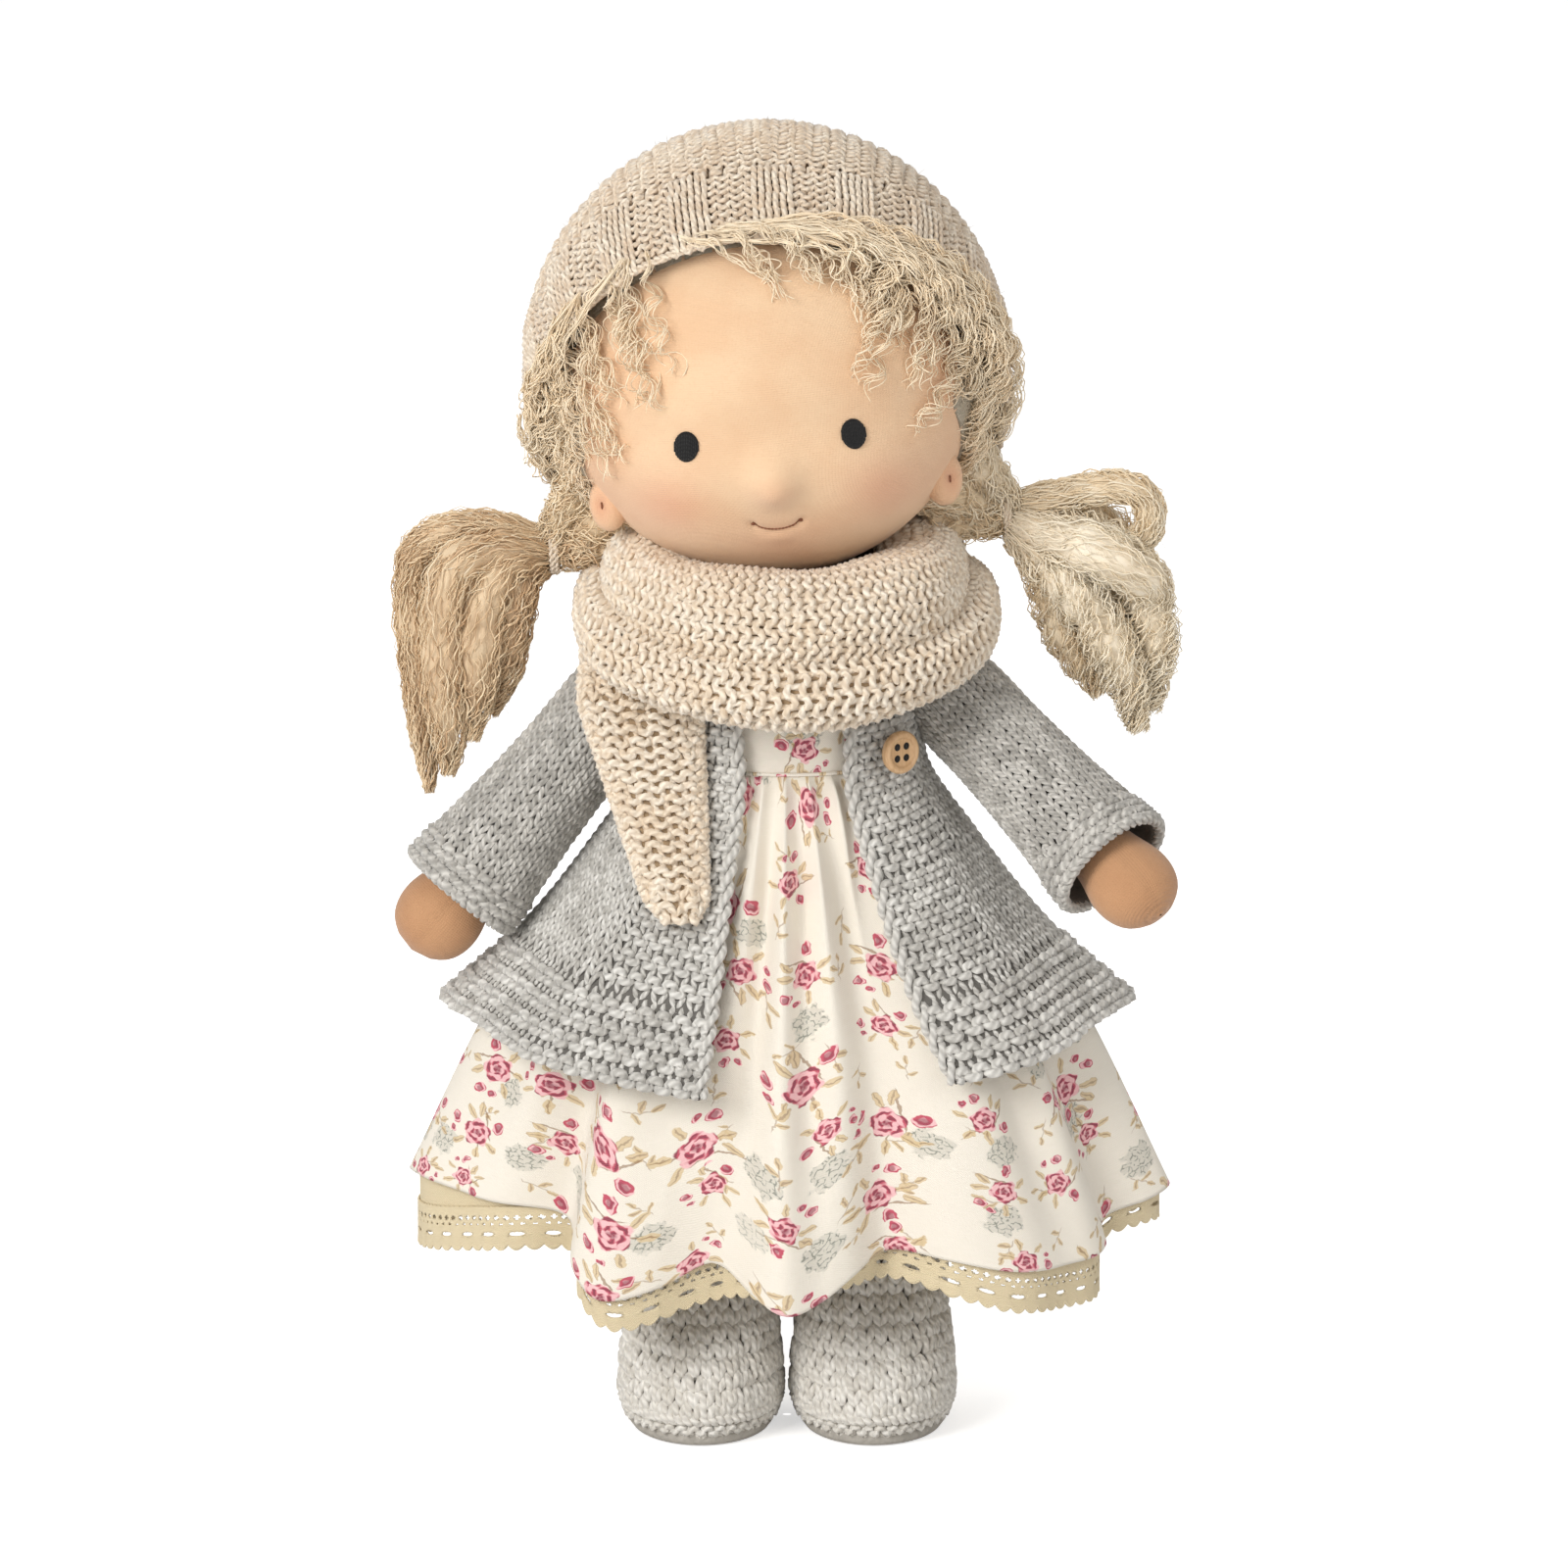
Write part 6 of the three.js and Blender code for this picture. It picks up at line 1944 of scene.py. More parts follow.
@dataclass
class Petticoat:
    """The linen petticoat with its elastic and its eyelet lace."""

    gown: Dress
    top: float = 146
    hem_line: Line = (
        (-180, 50), (-110, 54), (-90, 54), (-75, 53), (-46, 55.5), (-37, 50), (-28, 41), (-16, 45.5),
        (-6, 48.5), (8, 50.5), (20, 51), (30, 47), (38, 44.2), (57, 44.2), (66, 49), (74, 56), (90, 58),
        (120, 54), (180, 50),
    )
    inset: float = 1.6
    thickness: float = 0.7
    lace_height: float = 10.2
    lace_seam: float = 1.0
    lace_thickness: float = 0.45
    lace_repeats: int = 72
    repeat_width: float = 6.7
    scallops: int = 2
    scallop_depth: float = 1.4
    columns_per_repeat: int = 24
    lace_rows: int = 34

    def point(self, turn: Any, share: Any, inside: Any = 0.0) -> Array:
        """Points of the petticoat from its waist (0) to its hem (1)."""
        torso = self.gown.torso
        level = mix(self.top, round_turn(self.hem_line, turn), share)
        part = np.minimum((torso.waist - level) / (torso.waist - self.gown.hem(turn)), 1)
        low = self.gown.skirt(turn, part, self.gown.thickness + self.inset + inside)
        low[..., 2] = level
        wide, deep = torso.half(self.top)
        grow = 2.7 - inside
        waist = oval(wide + grow, deep + grow, turn, level)
        return mix(waist, low, smooth(share + 0 * turn, 0, 0.5)[..., None])

    def build(self, finish: Finishes) -> None:
        """Makes the linen, the elastic and the lace."""
        turn = round_angles(360)
        share = np.linspace(0, 1, 70)[:, None]
        faces = [self.point(turn, share, inside) for inside in (0.0, self.thickness)]
        linen = shell("petticoat_linen", finish["linen"], doubled(*faces), loop=True, size=(480, 220))
        sit(linen, Slot.LINEN, "petticoat")
        lace = self.build_lace(finish)
        sheet = Surface(lambda u, v: self.point(u * TURN, v))
        declare_sheet(linen, sheet, "gathered", ["waist_elastic"], lace)
        wide, deep = self.gown.torso.half(self.top - 2.5)
        turn = round_angles(240)
        ruffle = 0.35 * np.cos(60 * turn)
        levels = np.linspace(self.top, self.top - 5, 8)[:, None]
        faces = [oval(wide + out + ruffle, deep + out + ruffle, turn, levels) for out in (1.2, 0.6)]
        elastic = shell("waist_elastic", finish["elastic"], doubled(*faces), loop=True, size=(150, 10))
        dress(elastic, Body.TORSO, Slot.ELASTIC, "petticoat_elastic")

    def build_lace(self, finish: Finishes) -> Piece:
        """The lace: a strip with a row of small eyelets, a row of long ones and a scalloped edge.

        Returns:
            The lace's piece.
        """
        width, per = self.repeat_width, self.columns_per_repeat
        count = self.lace_repeats * per
        x = np.arange(count) / per * width
        wave = np.abs(np.cos(np.pi * np.arange(count) / per * self.scallops))
        scallop = self.scallop_depth * (1 - wave)
        y = np.linspace(0, 1, self.lace_rows)[:, None] * (self.lace_height - scallop)
        flat = np.stack(np.broadcast_arrays(x, y), -1).copy()
        holes = []
        for i in range(3):
            holes.append((width * (i + 0.5) / 3, 2.6, 0.72, 0.62))
            holes.append((width * i / 3, 4.1, 0.5, 0.42))
        holes.append((width / 2, 6.5, 1.75, 0.66))
        keep = np.ones((self.lace_rows - 1, count), bool)
        base = np.arange(self.lace_repeats) * width
        total = self.lace_repeats * width
        for cx, cy, rx, ry in holes:
            middle = base[np.floor(x / width + 1e-9).astype(int)] + cx
            dx = (flat[..., 0] - middle + total / 2) % total - total / 2
            dx = np.where(cx < 0.5, (dx + width / 2) % width - width / 2, dx)
            dy = flat[..., 1] - cy
            radius = np.sqrt((dx / rx) ** 2 + (dy / ry) ** 2)
            near = (radius > 0.55) & (radius < 1.45)
            pull = np.where(near, 1 / np.maximum(radius, 0.1), 1.0)
            flat[..., 0] += dx * (pull - 1)
            flat[..., 1] += dy * (pull - 1)
            inside = radius < 1.02
            pairs = inside & np.roll(inside, -1, 1)
            keep &= ~(pairs[:-1] & pairs[1:])
        strip = self.hang(flat[..., 0], flat[..., 1], 0.1)
        piece = shell("eyelet_lace", finish["lace"], strip, size=(total, self.lace_height), keep=keep)
        thicken(piece, self.lace_thickness)
        sit(piece, Slot.LACE, "petticoat_lace")
        maker = MeshMaker()
        self.add_edging(maker, holes[-1])
        threads = sit(maker.make("lace_threads", finish["lace"]), Slot.LACE)
        drop = self.lace_height
        sheet = Surface(lambda u, v: self.point(u * TURN, np.ones_like(u)) - stack(0, 0, drop * v))
        declare_sheet(piece, sheet, "gathered", ["petticoat_linen"], threads)
        return piece

    def hang(self, x: Array, y: Array, out: float) -> Array:
        """Points of the lace from its flat strip, out by a distance from the hem's outside."""
        turn = x / (self.lace_repeats * self.repeat_width) * TURN
        return self.point(turn % TURN, np.ones_like(turn), -out) - stack(0, 0, y - self.lace_seam)

    def add_edging(self, maker: MeshMaker, eyelet: tuple[float, ...]) -> None:
        """Thread round the long eyelets, along the scallops and along the sewn edge.

        Args:
            maker: Takes the threads.
            eyelet: The middle and the half sizes of a long eyelet in its repeat.
        """
        cx, cy, rx, ry = eyelet
        angle = round_angles(20)
        starts = np.arange(self.lace_repeats)[:, None] * self.repeat_width
        across = starts + cx + (rx + 0.1) * np.cos(angle)
        down = cy + (ry + 0.1) * np.sin(angle) + 0 * starts
        maker.tubes(self.hang(across, down, 0.3), 0.3, closed=True)
        x = np.arange(self.lace_repeats * 48) / 48 * self.repeat_width
        wave = np.abs(np.cos(np.pi * x / self.repeat_width * self.scallops))
        edge = self.lace_height - self.scallop_depth * (1 - wave)
        maker.tubes(self.hang(x, edge, 0.3)[None], 0.38, closed=True)
        for level in (0.2, 1.2, 5.0):
            line = level + 0.15 * np.sin(x * 4)
            maker.tubes(self.hang(x, line, 0.3)[None], 0.28, closed=True)


@dataclass
class Cardigan:
    """The open cardigan: plain knitting with garter bands, a button, and sleeves that ride the arms."""

    torso: TorsoShape
    grow: float = 4.3
    ease: float = 2
    half_width: float = 78
    half_depth: float = 51
    hem_front: float = 86
    hem_side: float = 100
    folds: int = 8
    fold_depth: float = 1.6
    flare: Line = ((0, 0), (0.13, 0), (0.33, 0.02), (0.52, 0.235), (0.79, 0.6), (1, 1))
    front_edges: dict[Side, tuple[float, float]] = field(
        default_factory=lambda: {Side.LEFT: (28, 30), Side.RIGHT: (24, 15)}
    )
    rows: int = 44
    hem_rows: int = 8
    band: int = 6
    stitch: Stitch = Stitch(
        3.2, 2.4, 0.66, overlap=1.6, purl_overlap=0.9, lean=-0.02, purl_lean=0.16, purl_size=1.45, depth=0.85
    )
    wide_stitch: Stitch = Stitch(
        3.75, 2.45, 0.75, overlap=1.3, purl_overlap=0.9, purl_lean=0.16, purl_size=1.5, depth=0.6
    )
    shoulder: tuple[float, float] = (36, 174)
    sleeve_length: float = 62
    sleeve_radius: float = 11.2
    sleeve_rows: int = 30
    cuff_rows: int = 3
    head_rows: int = 4
    sleeve_stitches: int = 26
    head_stitches: int = 16
    cuff_stitches: int = 22
    sleeve_profile: Line = ((0, 0.35), (0.1, 0.8), (0.2, 0.97), (0.45, 1.0), (1, 1.2))
    button_turn: float = 48
    button_profile: Line = (
        (0.02, -1.2), (4.2, -1.2), (4.8, -0.8), (5.0, -0.1), (4.95, 0.6), (4.55, 1.15), (4.1, 1.25),
        (3.6, 1.05), (3.2, 0.6), (2.6, 0.42), (0.02, 0.42),
    )
    hole_out: float = 1.35
    arm_poses: dict[Side, tuple[float, float]] = field(
        default_factory=lambda: {Side.LEFT: (38, 45), Side.RIGHT: (39.5, 5)}
    )

    def hem(self, turn: Any) -> Any:
        """The hem's height round the cardigan."""
        return mix(self.hem_front, self.hem_side, np.sin(turn) ** 2)

    def point(self, turn: Any, share: Any) -> Array:
        """Points of the cardigan's middle surface from its collar (0) to its hem (1)."""
        flare = along(self.flare, share)
        z = mix(self.torso.collar, self.hem(turn), share)
        wide, deep = self.torso.half(np.maximum(z, self.torso.waist))
        room = self.grow + self.ease * smooth(share, 0, 0.3)
        fold = self.fold_depth * share**2 * np.cos(self.folds * turn)
        wide = mix(wide + room, self.half_width, flare) + fold
        deep = mix(deep + room, self.half_depth, flare) + fold
        return oval(wide, deep, turn, z)

    def edges(self, side: Side | None, share: Array) -> tuple[Array, Array]:
        """The angles of a panel's two edges.

        Args:
            side: The front's side, or none for the back.
            share: The share of the way from the collar to the hem.

        Returns:
            The angle where the panel starts and the one where it ends.
        """
        seam = math.pi / 2 + 0 * share
        if side is None:
            return seam, 3 * seam
        upper, lower = self.front_edges[side]
        edge = side.value * np.radians(mix(upper, lower, share))
        return (edge, seam) if side is Side.LEFT else (-seam, edge)

    def panel(self, side: Side | None, top: float, low: float) -> Surface:
        """A front, or the back for no side, between two shares of the way down."""

        def place(u: Array, v: Array) -> Array:
            """The panel's points."""
            share = mix(top, low, v)
            start, end = self.edges(side, share)
            return self.point(mix(start, end, u), share)

        return Surface(place, flip=True)

    def build(self, finish: Finishes, random: Random) -> None:
        """Knits the back, both fronts and both sleeves."""
        self.build_panel(finish, random, None)
        for side in Side:
            self.build_panel(finish, random, side)
            self.build_sleeve(finish, random, side)
        self.build_button(finish)

    def build_panel(self, finish: Finishes, random: Random, side: Side | None) -> None:
        """Knits one panel in plain stitch with a garter hem, and a garter band along a front's edge.

        Args:
            finish: The materials.
            random: The source of the hand's unevenness.
            side: The front's side, or none for the back.
        """
        name = "cardigan_back" if side is None else f"cardigan_{side.word}_front"
        split = 1 - self.hem_rows / self.rows
        body, hem = self.panel(side, 0.0, split), self.panel(side, split, 1.0)
        body_rows = self.rows - self.hem_rows
        maker = MeshMaker()
        band = self.band

        def bands(row: int, column: Array, count: int) -> Array:
            """Garter near the front edge, plain elsewhere."""
            if side is None:
                return plain(row, column, count)
            near = column < band if side is Side.LEFT else column >= count - band
            return np.where(near & (row % 2 == 0), -1.0, 1.0)

        def ridges(row: int, column: Array, count: int) -> Array:
            """Garter ridges stand out, with a raised plain column beside the band."""
            if side is None:
                return 0.0 * column
            place = column if side is Side.LEFT else count - 1 - column
            garter = np.where(row % 2 == 0, 0.6, -0.5)
            return np.where(place < band, garter, np.where(place < band + 2, 0.55, 0.0))

        counts = stepped(count_for(body, self.stitch.width, body_rows), body_rows // 3)
        knit(maker, body, self.stitch, body_rows, counts, bands, random, closed=False, relief=ridges)

        def garter(row: int, column: Array, count: int) -> Array:
            """Rows of bumps and rows of legs by turns."""
            return np.full(column.shape, -1.0 if row % 2 else 1.0)

        def steps(row: int, column: Array, count: int) -> Array:
            """The bumps stand out from the legs."""
            return np.full(column.shape, 0.6 if row % 2 else -0.5)

        wide = self.wide_stitch
        counts = count_for(hem, wide.width, self.hem_rows)
        knit(maker, hem, wide, self.hem_rows, counts, garter, random, closed=False, relief=steps)
        whole = self.panel(side, 0.0, 1.0)
        if side is not None:
            edge = np.full(200, 0.0 if side is Side.LEFT else 1.0)
            twisted(maker, whole.frame(edge, np.linspace(0, 1, 200))[0], radius=0.95, pitch=9.6)
        fuzzy(maker, whole, 2600, SHORT_FIBRE, random)
        yarn = maker.make(name + "_knit", finish["cardigan"])
        # A sheet under the stitches, darker as the painted shade seen between them.
        points = whole.grid(90, 70, -0.5, closed=False)
        cloth = shell(name + "_cloth", finish["cardigan_shade_backing"], points, around=False, size=(160, 100))
        thicken(cloth, 0.8)
        if side is None:
            dress(yarn, Body.TORSO, Slot.GREY)
            dress(cloth, Body.TORSO, Slot.GREY, name)
        else:
            sit(yarn, Slot.GREY)
            sit(cloth, Slot.GREY, name)
        declare_sheet(cloth, whole, "hung", ["torso_calico"], yarn)

    def arm_matrix(self, side: Side) -> Array:
        """The turn of an arm from hanging straight down."""
        spread, swing = self.arm_poses[side]
        return turn_about(0, -swing) @ turn_about(1, -side.value * spread)

    def arm_place(self, side: Side, points: Array) -> Array:
        """Points of a hanging arm, turned and set at the shoulder."""
        out, height = self.shoulder
        return turned(points, self.arm_matrix(side)) + [side.value * out, 0, height]

    def build_sleeve(self, finish: Finishes, random: Random, side: Side) -> None:
        """Knits a sleeve, with a rolled garter cuff."""

        def surface(start: float, end: float) -> Surface:
            """The sleeve between two shares of its length."""

            def place(u: Array, v: Array) -> Array:
                """The sleeve's points."""
                share = mix(start, end, v)
                turn = u * TURN
                slack = 1 + 0.05 * np.sin(2 * turn + 5 * share) * smooth(share, 0.3, 1)
                radius = self.sleeve_radius * along(self.sleeve_profile, share) * slack
                level = mix(self.sleeve_radius * 0.94, -self.sleeve_length, share)
                return self.arm_place(side, oval(radius, radius, turn, level))

            return Surface(place, flip=True)

        def counts(row: int) -> int:
            """Fewer stitches close the sleeve's head."""
            return self.head_stitches if row < self.head_rows else self.sleeve_stitches

        def raised(row: int, column: Array, count: int) -> Array:
            """The cuff stands out all round."""
            return np.full(column.shape, 0.5)

        split = 1 - self.cuff_rows / self.sleeve_rows
        upper, cuff, whole = surface(0.0, split), surface(split, 1.0), surface(0.0, 1.0)
        maker = MeshMaker()
        knit(maker, upper, self.stitch, self.sleeve_rows - self.cuff_rows, counts, plain, random)
        stitches = self.cuff_stitches
        knit(maker, cuff, self.wide_stitch, self.cuff_rows, lambda row: stitches, purl, random, relief=raised)
        turn = np.arange(160) / 160
        twisted(maker, whole.frame(turn, np.ones(160))[0], radius=0.8, pitch=4.0, closed=True)
        fuzzy(maker, whole, 1500, SHORT_FIBRE, random)
        arm = side.body("arm")
        # The sleeve's darker wool is painted shade.
        yarn = dress(maker.make(f"{side.word}_sleeve_knit", finish["sleeves"]), arm, Slot.GREY)
        # A sheet under the stitches, darker as the painted shade seen between them.
        faces = [whole.grid(60, 50, lift) for lift in (-0.5, -1.4)]
        name = f"{side.word}_sleeve_cloth"
        cloth = shell(name, finish["cardigan_shade_backing"], pocket(*faces), size=(80, 150))
        dress(cloth, arm, Slot.GREY, f"{side.word}_sleeve")
        declare_sheet(cloth, whole, "stretched", [f"{side.word}_arm_skin"], yarn)

    def build_button(self, finish: Finishes) -> None:
        """The turned wooden button over its solid's place, with its four threads, and near-black discs in its
        four holes as painted shade.
        """
        low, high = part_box("wooden_button")
        centre = (np.array(low) + np.array(high)) / 2 / MM
        aside = math.radians(self.button_turn)
        face = unit(np.array([self.torso.depth * math.sin(aside), -self.torso.width * math.cos(aside), 0.0]))
        across = unit(np.cross([0, 0, 1.0], face))
        up = np.cross(face, across)

        def place(right: Array, rise: Array, out: Array) -> Array:
            """Points from their places across, up and out of the button."""
            return centre + right[..., None] * across + rise[..., None] * up + out[..., None] * face

        maker = MeshMaker()
        turn = round_angles(72)
        profile = spline(np.pad(self.button_profile, ((0, 0), (0, 1)))[None], 44)[0]
        radius, height = profile[:, :1], profile[:, 1:2] + 0 * turn
        maker.grid(place(radius * np.cos(turn), radius * np.sin(turn), height), around=True, size=(30, 16))
        # Each hole is filled by a near-black disc: painted shade inside the hole.
        hole = round_angles(18)
        ring = np.array([[0.02], [0.78], [0.86]])
        level = np.array([[0.5], [0.5], [0.44]]) + 0 * hole
        for x in (self.hole_out, -self.hole_out):
            for y in (self.hole_out, -self.hole_out):
                rim = place(x + ring * np.cos(hole), y + ring * np.sin(hole), level)
                maker.grid(rim, around=True, size=(1, 1), slot=1)
        # The holes' discs take the eye thread's near black as painted shade.
        piece = maker.make("turned_button", finish["wood"], finish["eye"])
        dress(piece, Body.TORSO, Slot.WOOD, "wooden_button")
        thread = MeshMaker()
        shank = np.array([centre - 1.2 * face, centre - 2.6 * face])
        for k in range(4):
            offset = 0.6 * (across * math.cos(k * TURN / 4) + up * math.sin(k * TURN / 4))
            thread.tubes(spline((shank + offset)[None], 6), 0.45, sides=6)
        dress(thread.make("button_stitches", finish["thread"]), Body.TORSO, Slot.THREAD, "button_thread")


@dataclass(frozen=True)
class ScarfTurn:
    """The sizes of one turn of the scarf, each in front, at the sides and behind."""

    reach: Triple
    height: Triple
    thick: Triple
    tall: Triple

    def sizes(self, ahead: Array) -> list[Array]:
        """All four sizes where ahead is the cosine of the way round the neck."""
        found = []
        for front, side, rear in (self.reach, self.height, self.thick, self.tall):
            found.append(np.where(ahead > 0, mix(side, front, ahead), mix(side, rear, -ahead)))
        return found


@dataclass
class Scarf:
    """A purl scarf wound twice round the neck, with its tapered end hanging in front."""

    cardigan: Cardigan
    inner: ScarfTurn = ScarfTurn((38, 33, 34), (195.2, 199.5, 196.5), (10.2, 7.8, 7.8), (10.8, 13, 13.5))
    outer: ScarfTurn = ScarfTurn((45, 43, 44.5), (181, 193, 193), (7.4, 5, 5), (7, 7.5, 7.5))
    mean_reach: float = 42
    core_size: float = 0.94
    tail_core_size: float = 0.88
    ends: tuple[float, float] = (140, 905)
    tuck: float = 9
    inner_fill: float = 1.0
    crossing: tuple[float, float] = (510, 570)
    open_side: float = 150
    stitch: Stitch = Stitch(3.9, 2.6, 0.9, depth=0.8, wobble=0.08)
    tail_top: float = 187
    tail_tip: float = 126
    tail_out: tuple[float, float] = (36.2, 24.6)
    tail_width: tuple[float, float] = (30, 12)
    tail_thickness: float = 4.4

    def section(self, angle: Array, around: Array) -> Array:
        """Points of the wrapped scarf.

        Args:
            angle: The way round the neck, in degrees.
            around: The angle round the scarf's own section, 0 on its outside.

        Returns:
            The points.
        """
        turn = np.radians(angle)
        ahead = np.cos(turn)
        share = smooth(angle, *self.crossing)
        turns = zip(self.inner.sizes(ahead), self.outer.sizes(ahead))
        reach, height, thick, tall = (mix(inner, outer, share) for inner, outer in turns)
        near_end = np.minimum(angle - self.ends[0], self.ends[1] - angle)
        taper = mix(0.3, 1, smooth(near_end, 0, 45))
        tuck = self.tuck * smooth(near_end, 80, 0)
        slump = 1 + 0.07 * np.sin(3 * turn + 1.0) + 0.05 * np.sin(5 * turn + angle / 100)
        inward = 1 + self.inner_fill * (1 - share) * (np.cos(around) < 0)
        reach = reach - tuck + taper * thick * slump * inward * np.cos(around)
        lift = height - 0.35 * tuck + taper * tall * slump * np.sin(around)
        return oval(reach, reach, turn, lift)

    def wrap(self, start: float, end: float, spread: float) -> Surface:
        """The scarf between two angles round the neck."""

        def place(u: Array, v: Array) -> Array:
            """The scarf's points; rows run round its section."""
            return self.section(mix(start, end, v), np.radians(mix(-spread, spread, u)))

        return Surface(place, flip=True)

    def build(self, finish: Finishes, random: Random) -> None:
        """Knits both turns and the hanging end."""
        middle = sum(self.crossing) / 2
        first, last = self.ends
        for name, start, end in (("scarf_inner_turn", first, middle), ("scarf_outer_turn", middle, last)):
            surface = self.wrap(start, end, self.open_side)
            rows = round(math.radians(end - start) * self.mean_reach / self.stitch.height)
            maker = MeshMaker()
            counts = count_for(surface, self.stitch.width, rows)
            steady = round(sum(counts(row) for row in range(rows)) / rows)
            knit(maker, surface, self.stitch, rows, lambda row: steady, purl, random, closed=False)
            fuzzy(maker, surface, 1800, LONG_FIBRE, random)
            dress(maker.make(name, finish["scarf"]), Body.TORSO, Slot.OATMEAL)
        angle = np.linspace(*self.ends, 300)[:, None]
        points = self.section(angle, round_angles(32))
        points = capped(points, self.core_size)
        # The core under the stitches is darker as the painted shade seen between them.
        core = shell("scarf_core", finish["scarf_shade_backing"], points, size=(60, 500))
        dress(core, Body.TORSO, Slot.OATMEAL, "scarf_wrap")
        self.build_tail(finish, random)

    def tail(self, share: Array, around: Array) -> Array:
        """Points of the hanging end, which lies on the cardigan."""
        z = mix(self.tail_top, self.tail_tip, share)
        half = mix(*self.tail_width, np.maximum(share, 0) ** 1.15) / 2
        half = half * np.sqrt(1 - smooth(share, 0.9, 1.04) * 0.75)
        half = half * mix(0.72, 1, smooth(share, 0, 0.25))
        x = -mix(*self.tail_out, share)
        collar = self.cardigan.torso.collar
        down = np.maximum(collar - z, 0) / (collar - self.cardigan.hem_front)
        probe = np.linspace(0, 1.4, 60)
        lie = np.full_like(z, np.inf)
        body = self.cardigan.point(probe, down[..., None] + 0 * probe)
        for offset in (-1.0, 0.0, 1.0):
            near = np.abs(body[..., 0] - (-x + offset * half)[..., None]).argmin(-1)
            front = np.take_along_axis(body[..., 1], near[..., None], -1)[..., 0]
            lie = np.minimum(lie, front)
        y = lie - 1.9 - self.tail_thickness / 2
        flat = np.sign(np.cos(around)) * np.abs(np.cos(around)) ** 0.7
        return stack(x + half * np.sin(around), y - self.tail_thickness / 2 * flat, z)

    def build_tail(self, finish: Finishes, random: Random) -> None:
        """Knits the hanging end, with a chain along both edges and round its tip."""
        surface = Surface(lambda u, v: self.tail(v, u * TURN), flip=True)
        rows = round((self.tail_top - self.tail_tip) / self.stitch.height)
        maker = MeshMaker()
        counts = stepped(count_for(surface, self.stitch.width, rows), 3)
        knit(maker, surface, self.stitch, rows, counts, purl, random)
        share = np.concatenate([np.linspace(0, 1, 90), np.linspace(1, 0, 90)])
        edge = np.concatenate([np.full(90, -math.pi / 2), np.full(90, math.pi / 2)])
        twisted(maker, self.tail(share, edge), radius=0.75, pitch=3.4)
        fuzzy(maker, surface, 900, LONG_FIBRE, random)
        sit(maker.make("scarf_end_knit", finish["scarf"]), Slot.OATMEAL)
        share, around = np.meshgrid(np.linspace(0, 1, 50), round_angles(40), indexing="ij")
        points = capped(self.tail(share, around), self.tail_core_size)
        # The core under the stitches is darker as the painted shade seen between them.
        cloth = shell("scarf_end_core", finish["scarf_shade_backing"], points, size=(70, 50))
        sit(cloth, Slot.OATMEAL, "scarf_tail")


@dataclass
class Arms:
    """The stuffed arms with mitten hands, and the stitching at the shoulders."""

    cardigan: Cardigan
    length: float = 80
    arm_radius: float = 8.2
    swell: Line = (
        (0, 0.05), (0.03, 0.6), (0.1, 1.0), (0.6, 0.96), (0.74, 0.98), (0.86, 1.24), (0.94, 1.08),
        (0.985, 0.6), (1, 0.04),
    )
    stitching_radius: float = 8.0

    def build(self, finish: Finishes) -> None:
        """Makes both arms."""
        for side in Side:
            arm = side.body("arm")
            share = np.linspace(0, 1, 70)[:, None]
            turn = round_angles(64)
            radius = self.arm_radius * along(self.swell, share)
            flat = mix(1.0, 0.86, smooth(share, 0.7, 0.9))
            seam = 1 - 0.03 * np.exp(-((np.sin(turn / 2) / 0.06) ** 2)) * smooth(share, 0.5, 0.8)
            ring = oval(radius * seam, radius * flat * seam, turn, -self.length * share)
            points = self.cardigan.arm_place(side, ring)
            tone = 0.12 + 0.1 * smooth(share, 0.9, 1.0) + 0 * turn
            piece = shell(f"{side.word}_arm_skin", finish["hand"], points, size=(54, 84), tone=tone)
            dress(piece, arm, Slot.SKIN, f"{side.word}_arm")
            low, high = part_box(f"{side.word}_shoulder_stitching")
            middle = (np.array(low) + np.array(high)) / 2 / MM
            angle = round_angles(90)
            reach = self.stitching_radius
            ring = middle + stack(0.0, reach * np.cos(angle), reach * np.sin(angle))
            maker = MeshMaker()
            twisted(maker, ring, radius=0.25, pitch=2.0, closed=True)
            piece = maker.make(f"{side.word}_shoulder_thread", finish["thread"])
            dress(piece, arm, Slot.THREAD, f"{side.word}_shoulder_stitching")


